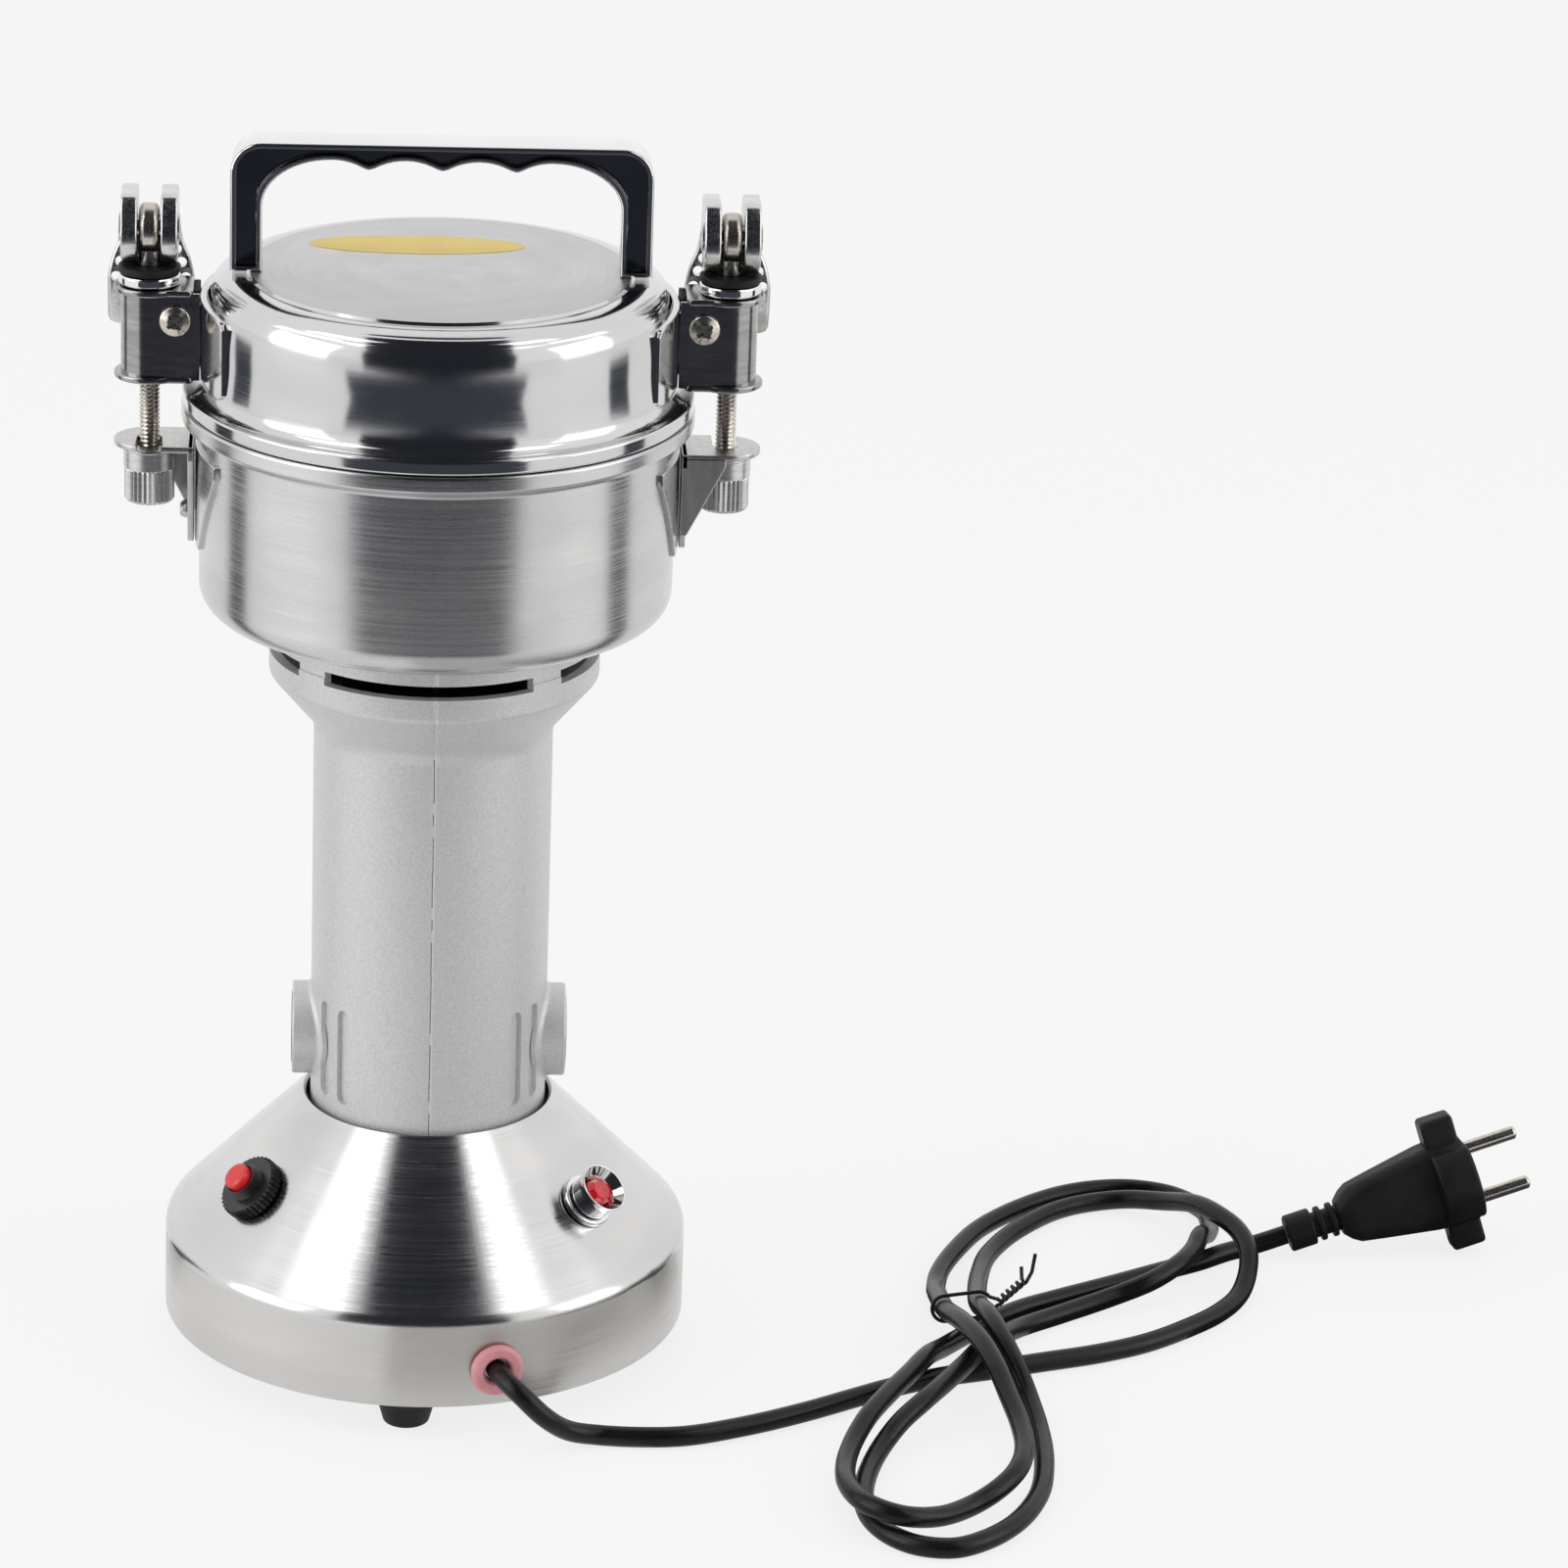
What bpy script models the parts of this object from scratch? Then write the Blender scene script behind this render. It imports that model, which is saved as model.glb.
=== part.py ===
# An electric grain and coffee mill. A motor stands in a tube on a round base. Its shaft turns blades
# in a cup, and two cam clamps hold the lid down. Metres, +Z up, with the origin on the floor under
# the shaft, -Y to the front and +X to the right.

from math import asin, atan2, cos, pi, radians, sin, sqrt, tan

import bmesh
import bpy
import numpy as np
from mathutils import Matrix, Vector

mm = 0.001

# Fits and rounding
clearance = 0.3 * mm
overrun = 2 * mm
merge_distance = 0.0005 * mm
flat_angle = radians(0.05)
small_fillet = 1.6 * mm
fillet_steps = 2
large_sides = 32
middle_sides = 20
small_sides = 12
tiny_sides = 10
grip_sides = 18
tail_hole_sides = 6
sharp_angle = radians(32)
vent_steps = 4

# Feet
foot_height = 12 * mm
foot_top_radius = 10.8 * mm
foot_bottom_radius = 7.5 * mm
foot_edge_radius = 1.5 * mm
foot_inset = 15.5 * mm
foot_stud_radius = 4 * mm
foot_barb_radius = 5.5 * mm
foot_barb_height = 2.4 * mm
foot_azimuth = radians(-5)

# Base shell and the plate that closes it
base_radius = 87.5 * mm
base_wall_height = 30 * mm
base_shoulder_radius = 6 * mm
base_sheet = 1.2 * mm
cone_top_radius = 41.6 * mm
cone_height = 46.6 * mm
plate_thickness = 1.5 * mm

# Motor housing
tube_radius = 39.3 * mm
tube_wall = 3 * mm
tube_length = 206.5 * mm
flare_radius = 54.1 * mm
flare_height = 17.4 * mm
flare_foot_radius = 9 * mm
flare_top_edge_radius = 3 * mm
band_height = 7.5 * mm
slot_height = 4.6 * mm
slot_count = 4
slot_span = radians(77)
slot_azimuth = radians(-3)
crown_height = 9.6 * mm
crown_step = 0.4 * mm
deck_thickness = 3 * mm
boss_radius = 15.5 * mm
boss_reach = 45.5 * mm
boss_recess_radius = 12.6 * mm
boss_recess_depth = 1.6 * mm
side_slot_width = 5.5 * mm
side_slot_length = 33.3 * mm
side_slot_depth = 1.2 * mm
side_slot_azimuths = (radians(28.5), radians(43.5))

# Bearings, their seats and the shaft
shaft_radius = 4 * mm
bearing_radius = 11 * mm
bearing_width = 7 * mm
bearing_groove_depth = 0.6 * mm
bearing_inner_ring = 2.2 * mm
bearing_outer_ring = 2.2 * mm
seat_wall = 4.7 * mm
roof_thickness = 4.9 * mm
bracket_height = 60.6 * mm
bracket_web = 3 * mm
bracket_rim_height = 15 * mm
bracket_rim_wall = 3 * mm
bracket_window_radius = 7 * mm
bracket_window_circle = 24.5 * mm
bracket_window_count = 4
shaft_foot_inset = 1.3 * mm
collar_radius = 8 * mm
collar_height = 10.2 * mm
shaft_tip_height = 2 * mm

# Motor
brush_height = 96 * mm
brush_width = 5.5 * mm
brush_depth = 8 * mm
brush_length = 18 * mm
brush_sleeve_radius = 8.2 * mm
brush_sleeve_start = 14.5 * mm
brush_head_thickness = 1.5 * mm
commutator_radius = 11 * mm
commutator_below = 7 * mm
commutator_above = 12 * mm
commutator_bars = 12
bar_gap_depth = 0.8 * mm
bar_gap_share = 0.16
riser_radius = 12.6 * mm
riser_height = 4 * mm
core_length = 47 * mm
winding_head_height = 11.2 * mm
armature_radius = 22 * mm
armature_slots = 12
slot_root_radius = 12 * mm
tooth_share = 0.5
stator_bore_radius = 22.6 * mm
stator_pocket_radius = 32 * mm
stator_pocket_half_span = radians(41)
stator_steps = 4
coil_half_span = radians(62)
coil_width = 7.5 * mm
coil_thickness = 7 * mm
coil_corner_radius = 6 * mm
coil_turn_step = radians(25)

# Cooling fan
fan_radius = 42 * mm
fan_disc_thickness = 2 * mm
fan_hub_radius = 8 * mm
fan_hub_drop = 10 * mm
fan_vane_height = 7 * mm
fan_vane_width = 1.5 * mm
fan_vane_count = 8

# Grinding cup and its two welded seats
cup_radius = 77 * mm
cup_height = 69.3 * mm
cup_sheet = 1.5 * mm
cup_corner_radius = 8.5 * mm
cup_hole_radius = 9 * mm
rim_radius = 82.8 * mm
rim_height = 5.1 * mm
rim_edge_radius = 1 * mm
rim_slope = 3 * mm
weld_sheet = 1.3 * mm
seat_top_span = radians(24)
seat_bottom_span = radians(10)

# Blades
blade_tip_radius = 66 * mm
upper_blade_tip_radius = 54 * mm
blade_thickness = 2.4 * mm
blade_root_width = 21 * mm
blade_tip_width = 13 * mm
blade_edge_width = 4 * mm
blade_lift = 9 * mm
upper_blade_lift = 15 * mm
blade_bend_share = 0.42
spacer_height = 12 * mm
nut_height = 6.5 * mm
nut_across_flats = 13 * mm

# Lid and gasket
lid_height = 43.7 * mm
lid_radius = 75.5 * mm
lid_sheet = 1.5 * mm
lid_edge_radius = 6 * mm
lid_disc_radius = 62.2 * mm
lid_disc_step = 1 * mm
lid_bead_radius = 82.5 * mm
lid_bead_height = 4.9 * mm
lid_bead_width = 2.5 * mm
lid_flare_radius = 4.5 * mm
gasket_width = 3.8 * mm
gasket_height = 3.2 * mm
lug_sheet = 1.5 * mm
lug_half_span = radians(26)
lug_bottom_height = 7.4 * mm
lug_top_height = 34.4 * mm
lug_corner_share = 0.8
tongue_inset = 4.5 * mm
tongue_margin = 3 * mm

# Handle
handle_half_length = 67.3 * mm
handle_height = 41.9 * mm
handle_depth = 16 * mm
handle_corner_radius = 10 * mm
handle_leg_width = 10.1 * mm
handle_bar_thickness = 5 * mm
handle_cusp_drop = 3.8 * mm
handle_arch_pitch = 23.4 * mm
handle_shoulder_height = 15.5 * mm
handle_rim = 1.6 * mm
handle_channel_depth = 3 * mm

# Clamps, each about its bolt's axis
bolt_axis_reach = 17.5 * mm
bolt_radius = 3.4 * mm
bolt_hole_gap = 0.4 * mm
box_half_depth = 9.2 * mm
box_sheet = 1.6 * mm
box_bottom_height = 6.7 * mm
box_height = 30.7 * mm
box_plate_thickness = 2 * mm
box_plate_radius = 11.4 * mm
box_plate_corner_radius = 2 * mm
box_plate_margin = 0.5 * mm
box_plate_inset = 1.9 * mm
screw_radius = 2.5 * mm
screw_head_radius = 5 * mm
screw_head_height = 2.4 * mm
screw_inset = 8.4 * mm
screw_height = 20.9 * mm
washer_radius = 10 * mm
chrome_washer_height = 3.4 * mm
rubber_washer_height = 2.3 * mm
cam_radius = 11.8 * mm
cam_fall = 3.2 * mm
cam_fall_span = radians(120)
cheek_thickness = 4.1 * mm
cheek_gap = 7.5 * mm
eye_radius = 8 * mm
eye_width = 6.4 * mm
eye_edge_radius = 1.4 * mm
pin_radius = 3.5 * mm
pin_head_radius = 5.5 * mm
pin_head_height = 1.5 * mm
tail_gap = 2.1 * mm
tail_root_inset = 0.4 * mm
tail_thickness = 3.4 * mm
tail_length = 36.4 * mm
tail_half_width = 14 * mm
tail_curl = 4 * mm
tail_hole_radius = 1.7 * mm
bolt_tip_gap = 0.5 * mm

# Brackets on the cup and the nuts below them
bracket_drop = 13.8 * mm
bracket_sheet = 2 * mm
bracket_slot_gap = 0.6 * mm
bracket_leg_length = 34 * mm
bracket_leg_foot_half_width = 5 * mm
bracket_shoulder_length = 4.5 * mm
gusset_sheet = 1.5 * mm
gusset_foot_height = 6.5 * mm
gusset_tip_inset = 0.2 * mm
rivet_radius = 3 * mm
rivet_height = 2.6 * mm
rivet_place = 9.9 * mm
thumb_nut_height = 18.7 * mm
thumb_nut_rim_radius = 8.85 * mm
thumb_nut_rim_height = 1.3 * mm
thumb_nut_collar_radius = 8.4 * mm
thumb_nut_collar_height = 7.4 * mm
thumb_nut_grip_radius = 8.05 * mm
thumb_nut_groove_depth = 0.45 * mm
thumb_nut_floor = 2 * mm
thumb_nut_edge = 0.6 * mm

# Fittings on the cone: overload button, lamp and rocker switch
fitting_inset = 21.9 * mm
fuse_azimuth = radians(-60)
lamp_azimuth = radians(52.5)
switch_azimuth = radians(180)
fuse_neck_radius = 6.35 * mm
fuse_neck_height = 8.6 * mm
fuse_nut_radius = 11.25 * mm
fuse_nut_height = 4.5 * mm
fuse_nut_groove_depth = 0.5 * mm
fuse_body_radius = 9.5 * mm
fuse_body_depth = 22 * mm
fitting_body_gap = 1.2 * mm
button_radius = 4.6 * mm
button_height = 11.4 * mm
button_travel = 2.5 * mm
button_root = 4 * mm
lamp_flange_radius = 9.2 * mm
lamp_flange_height = 2.2 * mm
lamp_neck_radius = 7.6 * mm
lamp_joint_depth = 0.9 * mm
lamp_joint_height = 0.7 * mm
lamp_rim_radius = 8.6 * mm
lamp_height = 11.2 * mm
lamp_rim_width = 0.5 * mm
lamp_cone_depth = 4.4 * mm
lamp_tail_radius = 5.9 * mm
lamp_tail_depth = 12 * mm
lens_radius = 4.7 * mm
lens_top_radius = 3.3 * mm
lens_below_rim = 1.4 * mm
lens_facet_height = 1.6 * mm
lens_root = 3 * mm
switch_half_width = 7.5 * mm
switch_half_length = 10.5 * mm
switch_flange_height = 2 * mm
switch_flange_overlap = 1 * mm
switch_corner_radius = 1.5 * mm
switch_wall = 1.3 * mm
switch_depth = 12 * mm
switch_floor = 2 * mm
rocker_radius = 7.9 * mm
rocker_tilt = radians(9)
rocker_half_thickness = 4.2 * mm
rocker_pivot_depth = 0.5 * mm

# Cord, with its grommet and its tie
cord_radius = 3.4 * mm
cord_points = 80
cord_sides_resolution = 2
bend_closeness = 20 * mm
end_stretch = 12 * mm
end_closeness = 2.5
curve_step = 1 * mm
grommet_azimuth = radians(15)
grommet_height = 12.9 * mm
grommet_bore_gap = 0.8 * mm
grommet_neck_wall = 1.5 * mm
grommet_flange_radius = 9 * mm
grommet_flange_height = 3 * mm
grommet_inner_flange_radius = 8 * mm
grommet_inner_flange_height = 2 * mm
grommet_edge_radius = 1 * mm
tie_radius = 0.65 * mm
tie_gap = 0.35 * mm
tie_twist_radius = 1.05 * mm
tie_twist_turns = 2.75
tie_turn_points = 6
tie_bend_step = radians(30)

# The cord's route from the grommet to the plug, over the floor
cord_route = (
    (0.0218, -0.0814, 0.0249), (0.0234, -0.0873, 0.0249), (0.0260, -0.0940, 0.0247),
    (0.0310, -0.0990, 0.0218), (0.0385, -0.0985, 0.0140), (0.0465, -0.0940, 0.0070),
    (0.0565, -0.0905, 0.0037), (0.0690, -0.0915, 0.0035), (0.0850, -0.0905, 0.0035),
    (0.1050, -0.0830, 0.0035), (0.1250, -0.0725, 0.0035), (0.1425, -0.0615, 0.0035),
    (0.1555, -0.0535, 0.0035), (0.1730, -0.0450, 0.0035), (0.1900, -0.0395, 0.0035),
    (0.2070, -0.0335, 0.0035), (0.2285, -0.0260, 0.0035), (0.2455, -0.0175, 0.0035),
    (0.2610, -0.0055, 0.0035), (0.2735, 0.0070, 0.0035), (0.2820, 0.0195, 0.0045),
    (0.2860, 0.0295, 0.0085), (0.2870, 0.0390, 0.0128), (0.2845, 0.0500, 0.0154),
    (0.2785, 0.0625, 0.0160), (0.2725, 0.0745, 0.0142), (0.2630, 0.0905, 0.0080),
    (0.2505, 0.0995, 0.0045), (0.2365, 0.0980, 0.0035), (0.2260, 0.0920, 0.0035),
    (0.2175, 0.0840, 0.0035), (0.2065, 0.0700, 0.0035), (0.1975, 0.0530, 0.0035),
    (0.1930, 0.0345, 0.0050), (0.1900, 0.0125, 0.0090), (0.1885, -0.0095, 0.0140),
    (0.1900, -0.0290, 0.0192), (0.1925, -0.0430, 0.0187), (0.1970, -0.0570, 0.0134),
    (0.2005, -0.0685, 0.0070), (0.2025, -0.0865, 0.0035), (0.2015, -0.1120, 0.0035),
    (0.1975, -0.1330, 0.0035), (0.1885, -0.1520, 0.0035), (0.1775, -0.1640, 0.0035),
    (0.1670, -0.1695, 0.0035), (0.1555, -0.1675, 0.0035), (0.1465, -0.1590, 0.0035),
    (0.1415, -0.1465, 0.0035), (0.1410, -0.1310, 0.0035), (0.1445, -0.1125, 0.0035),
    (0.1495, -0.1000, 0.0055), (0.1560, -0.0910, 0.0095), (0.1640, -0.0810, 0.0120),
    (0.1725, -0.0665, 0.0120), (0.1810, -0.0510, 0.0118), (0.1875, -0.0380, 0.0117),
    (0.1935, -0.0250, 0.0084), (0.2035, -0.0075, 0.0045), (0.2175, 0.0045, 0.0035),
    (0.2375, 0.0155, 0.0055), (0.2510, 0.0195, 0.0095), (0.2610, 0.0280, 0.0118),
    (0.2680, 0.0400, 0.0121), (0.2715, 0.0500, 0.0128), (0.2745, 0.0600, 0.0091),
    (0.2770, 0.0695, 0.0050), (0.2790, 0.0800, 0.0035), (0.2785, 0.0915, 0.0035),
    (0.2715, 0.1030, 0.0035), (0.2640, 0.1085, 0.0035), (0.2525, 0.1115, 0.0035),
    (0.2400, 0.1100, 0.0035), (0.2270, 0.1045, 0.0035), (0.2110, 0.0920, 0.0035),
    (0.1965, 0.0755, 0.0035), (0.1865, 0.0570, 0.0035), (0.1795, 0.0390, 0.0035),
    (0.1770, 0.0250, 0.0040), (0.1765, 0.0085, 0.0080), (0.1770, -0.0120, 0.0130),
    (0.1805, -0.0320, 0.0183), (0.1850, -0.0510, 0.0206), (0.1890, -0.0680, 0.0188),
    (0.1920, -0.0820, 0.0150), (0.1945, -0.0970, 0.0120), (0.1945, -0.1140, 0.0110),
    (0.1905, -0.1290, 0.0105), (0.1835, -0.1385, 0.0085), (0.1745, -0.1450, 0.0060),
    (0.1630, -0.1555, 0.0075), (0.1510, -0.1615, 0.0108), (0.1405, -0.1560, 0.0120),
    (0.1355, -0.1410, 0.0105), (0.1355, -0.1225, 0.0085), (0.1390, -0.1060, 0.0090),
    (0.1450, -0.0915, 0.0115), (0.1535, -0.0750, 0.0125), (0.1615, -0.0595, 0.0122),
    (0.1680, -0.0460, 0.0118), (0.1745, -0.0320, 0.0082), (0.1840, -0.0140, 0.0045),
    (0.1935, -0.0015, 0.0035), (0.2050, 0.0090, 0.0035), (0.2185, 0.0175, 0.0035),
    (0.2390, 0.0295, 0.0035), (0.2595, 0.0420, 0.0035), (0.2720, 0.0495, 0.0035),
    (0.2820, 0.0570, 0.0035), (0.2900, 0.0615, 0.0036), (0.2963, 0.0630, 0.0050),
    (0.30383, 0.06391, 0.00737),
)
tie_depth = -10.6 * mm
tie_twist_end = Vector((0.2055, 0.0060, 0.0160))
tie_bend = Vector((0.2082, 0.0088, 0.0176))
tie_tip = Vector((0.2092, 0.0098, 0.0240))
tie_spur = Vector((0.2044, 0.0080, 0.0200))

# Plug, about the middle of its face, with its pins along +X and in line along Z
plug_place = Vector((0.3699, 0.0719, 0.0281))
plug_yaw = radians(6.9)
plug_pitch = radians(17.3)
plug_roll = radians(9.2)
pin_spacing = 19 * mm
plug_pin_radius = 2.4 * mm
plug_pin_length = 19 * mm
plug_pin_root = 8 * mm
plug_length = 69.1 * mm
plug_collar_radius = 6.6 * mm
plug_collar_length = 9.5 * mm
plug_core_radius = 4.6 * mm
plug_rib_radius = 6.2 * mm
plug_rib_width = 1.9 * mm
plug_rib_count = 3
plug_rib_pitch = 4.4 * mm
plug_shoulder_length = 44.5 * mm
plug_shoulder_half_height = 10.5 * mm
plug_shoulder_half_thickness = 7 * mm
plug_neck_half_height = 15.5 * mm
plug_neck_half_thickness = 8.5 * mm
plug_head_depth = 14 * mm
plug_head_radius = 16.5 * mm
plug_head_steps = 7
plug_lobe_half_width = 13 * mm
plug_ear_reach = 24.5 * mm
plug_ear_half_thickness = 5.5 * mm
plug_ear_front = 2 * mm
plug_edge_radius = 1.5 * mm

# Shares down the lever's tail: of its length, of its widening and of its curl, then of its holes
tail_shares = (
    (0.20, 0.22, 0.0),
    (0.40, 0.75, 0.0),
    (0.58, 1.0, 0.05),
    (0.80, 1.0, 0.35),
    (0.95, 1.0, 0.85),
    (1.0, 0.86, 1.0),
)
tail_hole_shares = ((0.585, 0.30), (0.70, 0.42), (0.80, 0.56))

# Heights that follow from the sizes
base_bottom = foot_height
plate_bottom = base_bottom + clearance
plate_top = plate_bottom + plate_thickness
wall_top = base_bottom + base_wall_height
cone_top = wall_top + cone_height
tube_bottom = plate_top + clearance
flare_bottom = tube_bottom + tube_length
flare_top = flare_bottom + flare_height
slot_bottom = flare_top + band_height
slot_top = slot_bottom + slot_height
housing_top = slot_top + crown_height
cup_bottom = housing_top + clearance
rim_top = cup_bottom + cup_height
lid_bottom = rim_top + clearance
lid_top = lid_bottom + lid_height
handle_bottom = lid_top + clearance
handle_top = handle_bottom + handle_height
brush_centre = tube_bottom + brush_height
commutator_bottom = brush_centre - commutator_below
commutator_top = brush_centre + commutator_above
core_bottom = commutator_top + winding_head_height + 2 * clearance
core_top = core_bottom + core_length
bracket_bottom = tube_bottom + bracket_height
lower_bearing_bottom = bracket_bottom + bracket_web + clearance
upper_bearing_top = housing_top - roof_thickness - clearance
upper_bearing_bottom = upper_bearing_top - bearing_width
fan_top = slot_bottom - clearance
fan_disc_top = fan_top - fan_vane_height
collar_bottom = upper_bearing_top + clearance
collar_top = collar_bottom + collar_height
blade_bottom = collar_top + clearance
spacer_bottom = blade_bottom + blade_thickness + clearance
spacer_top = spacer_bottom + spacer_height
upper_blade_bottom = spacer_top + clearance
nut_bottom = upper_blade_bottom + blade_thickness + clearance
nut_top = nut_bottom + nut_height
shaft_top = nut_top + shaft_tip_height
box_bottom = lid_bottom + box_bottom_height
box_top = box_bottom + box_height
chrome_washer_bottom = box_top + clearance
rubber_washer_bottom = chrome_washer_bottom + chrome_washer_height + clearance
pivot_height = rubber_washer_bottom + rubber_washer_height + clearance + cam_radius
bracket_top = rim_top - bracket_drop
thumb_nut_top = bracket_top - bracket_sheet - clearance
thumb_nut_bottom = thumb_nut_top - thumb_nut_height

# Radii that follow from the sizes
foot_circle_radius = base_radius - foot_inset
fitting_circle_radius = base_radius - fitting_inset
bolt_axis_radius = lid_radius + bolt_axis_reach
tube_bore = tube_radius - tube_wall
shaft_bore = shaft_radius + clearance
bearing_seat = bearing_radius + clearance
cup_bore = cup_radius - cup_sheet
weld_radius = cup_radius + weld_sheet
lug_radius = lid_radius + lug_sheet
pocket_reach = stator_pocket_radius * cos(stator_pocket_half_span / stator_steps)
coil_inner_radius = pocket_reach - clearance - coil_thickness
cheek_outside = cheek_gap / 2 + cheek_thickness
bolt_bore = bolt_radius + bolt_hole_gap
cone_slope = atan2(cone_height, base_radius - cone_top_radius)

stainless = (0.62, 0.61, 0.60), 0.22, 1.0
chrome = (0.80, 0.80, 0.80), 0.08, 1.0
cast_alloy = (0.48, 0.48, 0.48), 0.5, 1.0
steel = (0.45, 0.44, 0.43), 0.35, 1.0
copper = (0.60, 0.27, 0.12), 0.35, 1.0
carbon = (0.03, 0.03, 0.03), 0.6, 0.0
black_plastic = (0.02, 0.02, 0.02), 0.4, 0.0
black_rubber = (0.015, 0.015, 0.015), 0.65, 0.0
black_vinyl = (0.02, 0.02, 0.02), 0.35, 0.0
red_plastic = (0.70, 0.02, 0.03), 0.3, 0.0
pink_rubber = (0.72, 0.38, 0.36), 0.55, 0.0
grey_rubber = (0.55, 0.55, 0.55), 0.6, 0.0


# Outlines in a plane

def filleted(corners, closed=True):
    """The points of an outline whose corners (x, y, radius) are rounded."""
    points = []
    for index, corner in enumerate(corners):
        here = Vector(corner[:2])
        radius = corner[2] if len(corner) > 2 else 0
        at_end = not closed and index in (0, len(corners) - 1)
        if radius == 0 or at_end:
            points.append(here)
            continue
        before = Vector(corners[index - 1][:2]) - here
        after = Vector(corners[(index + 1) % len(corners)][:2]) - here
        half = before.angle(after) / 2
        reach = min(radius / tan(half), before.length / 2, after.length / 2)
        radius = reach * tan(half)
        centre = here + (before.normalized() + after.normalized()).normalized() * radius / sin(half)
        arm = here + before.normalized() * reach - centre
        last = here + after.normalized() * reach - centre
        swing = atan2(arm.cross(last), arm.dot(last))
        steps = fillet_steps if radius > small_fillet else 1
        for step in range(steps + 1):
            points.append(centre + Matrix.Rotation(swing * step / steps, 2) @ arm)
    return points


def arc(centre, radius, start, end, steps):
    """Points on a circle from one angle to another."""
    angles = [start + (end - start) * step / steps for step in range(steps + 1)]
    return [Vector((centre[0] + radius * cos(angle), centre[1] + radius * sin(angle))) for angle in angles]


def sheet(path, thickness):
    """A closed outline of one thickness, from an open path and its offset to the left."""
    offset = []
    for index, here in enumerate(path):
        before = here - path[index - 1] if index else path[1] - here
        after = path[index + 1] - here if index < len(path) - 1 else before
        first = Vector((-before.y, before.x)).normalized()
        second = Vector((-after.y, after.x)).normalized()
        middle = (first + second).normalized()
        offset.append(here + middle * thickness / middle.dot(first))
    return path + offset[::-1]


def capsule(half_width, half_length, steps=3):
    """A slot's outline, along Y, with round ends."""
    straight = half_length - half_width
    return arc((0, straight), half_width, 0, pi, steps) + arc((0, -straight), half_width, pi, 2 * pi, steps)


# Meshes

placings = {
    "xy": lambda a, b, height: (a, b, height),
    "xz": lambda a, b, height: (a, height, b),
    "yz": lambda a, b, height: (height, a, b),
}


def facing_out(mesh):
    bmesh.ops.recalc_face_normals(mesh, faces=mesh.faces)
    return mesh


def turned(outline, sides, plane="xy"):
    """A solid of revolution from (radius, height) or (radius, height, depth of grooves) points."""
    mesh = bmesh.new()
    rings = []
    for radius, height, *groove in outline:
        ring = []
        for side in range(sides if radius > 0 else 1):
            reach = radius - (groove[0] if groove and side % 2 else 0)
            angle = 2 * pi * (side + 0.5) / sides
            ring.append(mesh.verts.new(placings[plane](reach * cos(angle), reach * sin(angle), height)))
        rings.append(ring)
    for near, far in zip(rings, rings[1:] + rings[:1]):
        if len(near) == len(far) == 1:
            continue
        for side in range(sides):
            after = side + 1
            corners = (near[side % len(near)], near[after % len(near)],
                       far[after % len(far)], far[side % len(far)])
            mesh.faces.new(list(dict.fromkeys(corners)))
    return facing_out(mesh)


def prism(outline, low, high, plane="xy"):
    """An outline carried straight from one height to another."""
    mesh = bmesh.new()
    place = placings[plane]
    floor = [mesh.verts.new(place(a, b, low)) for a, b in outline]
    roof = [mesh.verts.new(place(a, b, high)) for a, b in outline]
    mesh.faces.new(floor)
    mesh.faces.new(roof)
    for side in range(len(floor)):
        after = (side + 1) % len(floor)
        mesh.faces.new((floor[side], floor[after], roof[after], roof[side]))
    return facing_out(mesh)


def lofted(sections):
    """A solid through sections with equal numbers of points, flat at both ends."""
    mesh = bmesh.new()
    rings = [[mesh.verts.new(point) for point in section] for section in sections]
    mesh.faces.new(rings[0])
    mesh.faces.new(rings[-1])
    for near, far in zip(rings, rings[1:]):
        for side in range(len(near)):
            after = (side + 1) % len(near)
            mesh.faces.new((near[side], near[after], far[after], far[side]))
    return facing_out(mesh)


def looped(sections):
    """A solid through sections that close on themselves."""
    mesh = bmesh.new()
    rings = [[mesh.verts.new(point) for point in section] for section in sections]
    for near, far in zip(rings, rings[1:] + rings[:1]):
        for side in range(len(near)):
            after = (side + 1) % len(near)
            mesh.faces.new((near[side], near[after], far[after], far[side]))
    return facing_out(mesh)


def curved_plate(inner, outer, columns):
    """A plate bent round Z, from (angle, low, high) columns."""
    sections = []
    for angle, low, high in columns:
        corners = ((inner, low), (outer, low), (outer, high), (inner, high))
        sections.append([(radius * cos(angle), radius * sin(angle), height) for radius, height in corners])
    return lofted(sections)


def moved(mesh, matrix):
    """The mesh in another place, in triangles, because a turned polygon is no longer quite flat."""
    mesh.transform(matrix)
    bmesh.ops.triangulate(mesh, faces=mesh.faces)
    return mesh


def together(meshes):
    """Several meshes as one, still apart from each other."""
    whole = bmesh.new()
    for mesh in meshes:
        data = bpy.data.meshes.new("joined")
        mesh.to_mesh(data)
        mesh.free()
        whole.from_mesh(data)
        bpy.data.meshes.remove(data)
    return whole


def round_about(axis_angle):
    return Matrix.Rotation(axis_angle, 4, "Z")


# Objects

def clear_scene():
    for thing in list(bpy.data.objects):
        bpy.data.objects.remove(thing, do_unlink=True)


def finish(name, look):
    colour, roughness, metallic = look
    material = bpy.data.materials.new(name)
    material.use_nodes = True
    surface = material.node_tree.nodes["Principled BSDF"]
    surface.inputs["Base Color"].default_value = (*colour, 1)
    surface.inputs["Roughness"].default_value = roughness
    surface.inputs["Metallic"].default_value = metallic
    material.diffuse_color = (*colour, 1)
    return material


waiting = []


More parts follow.
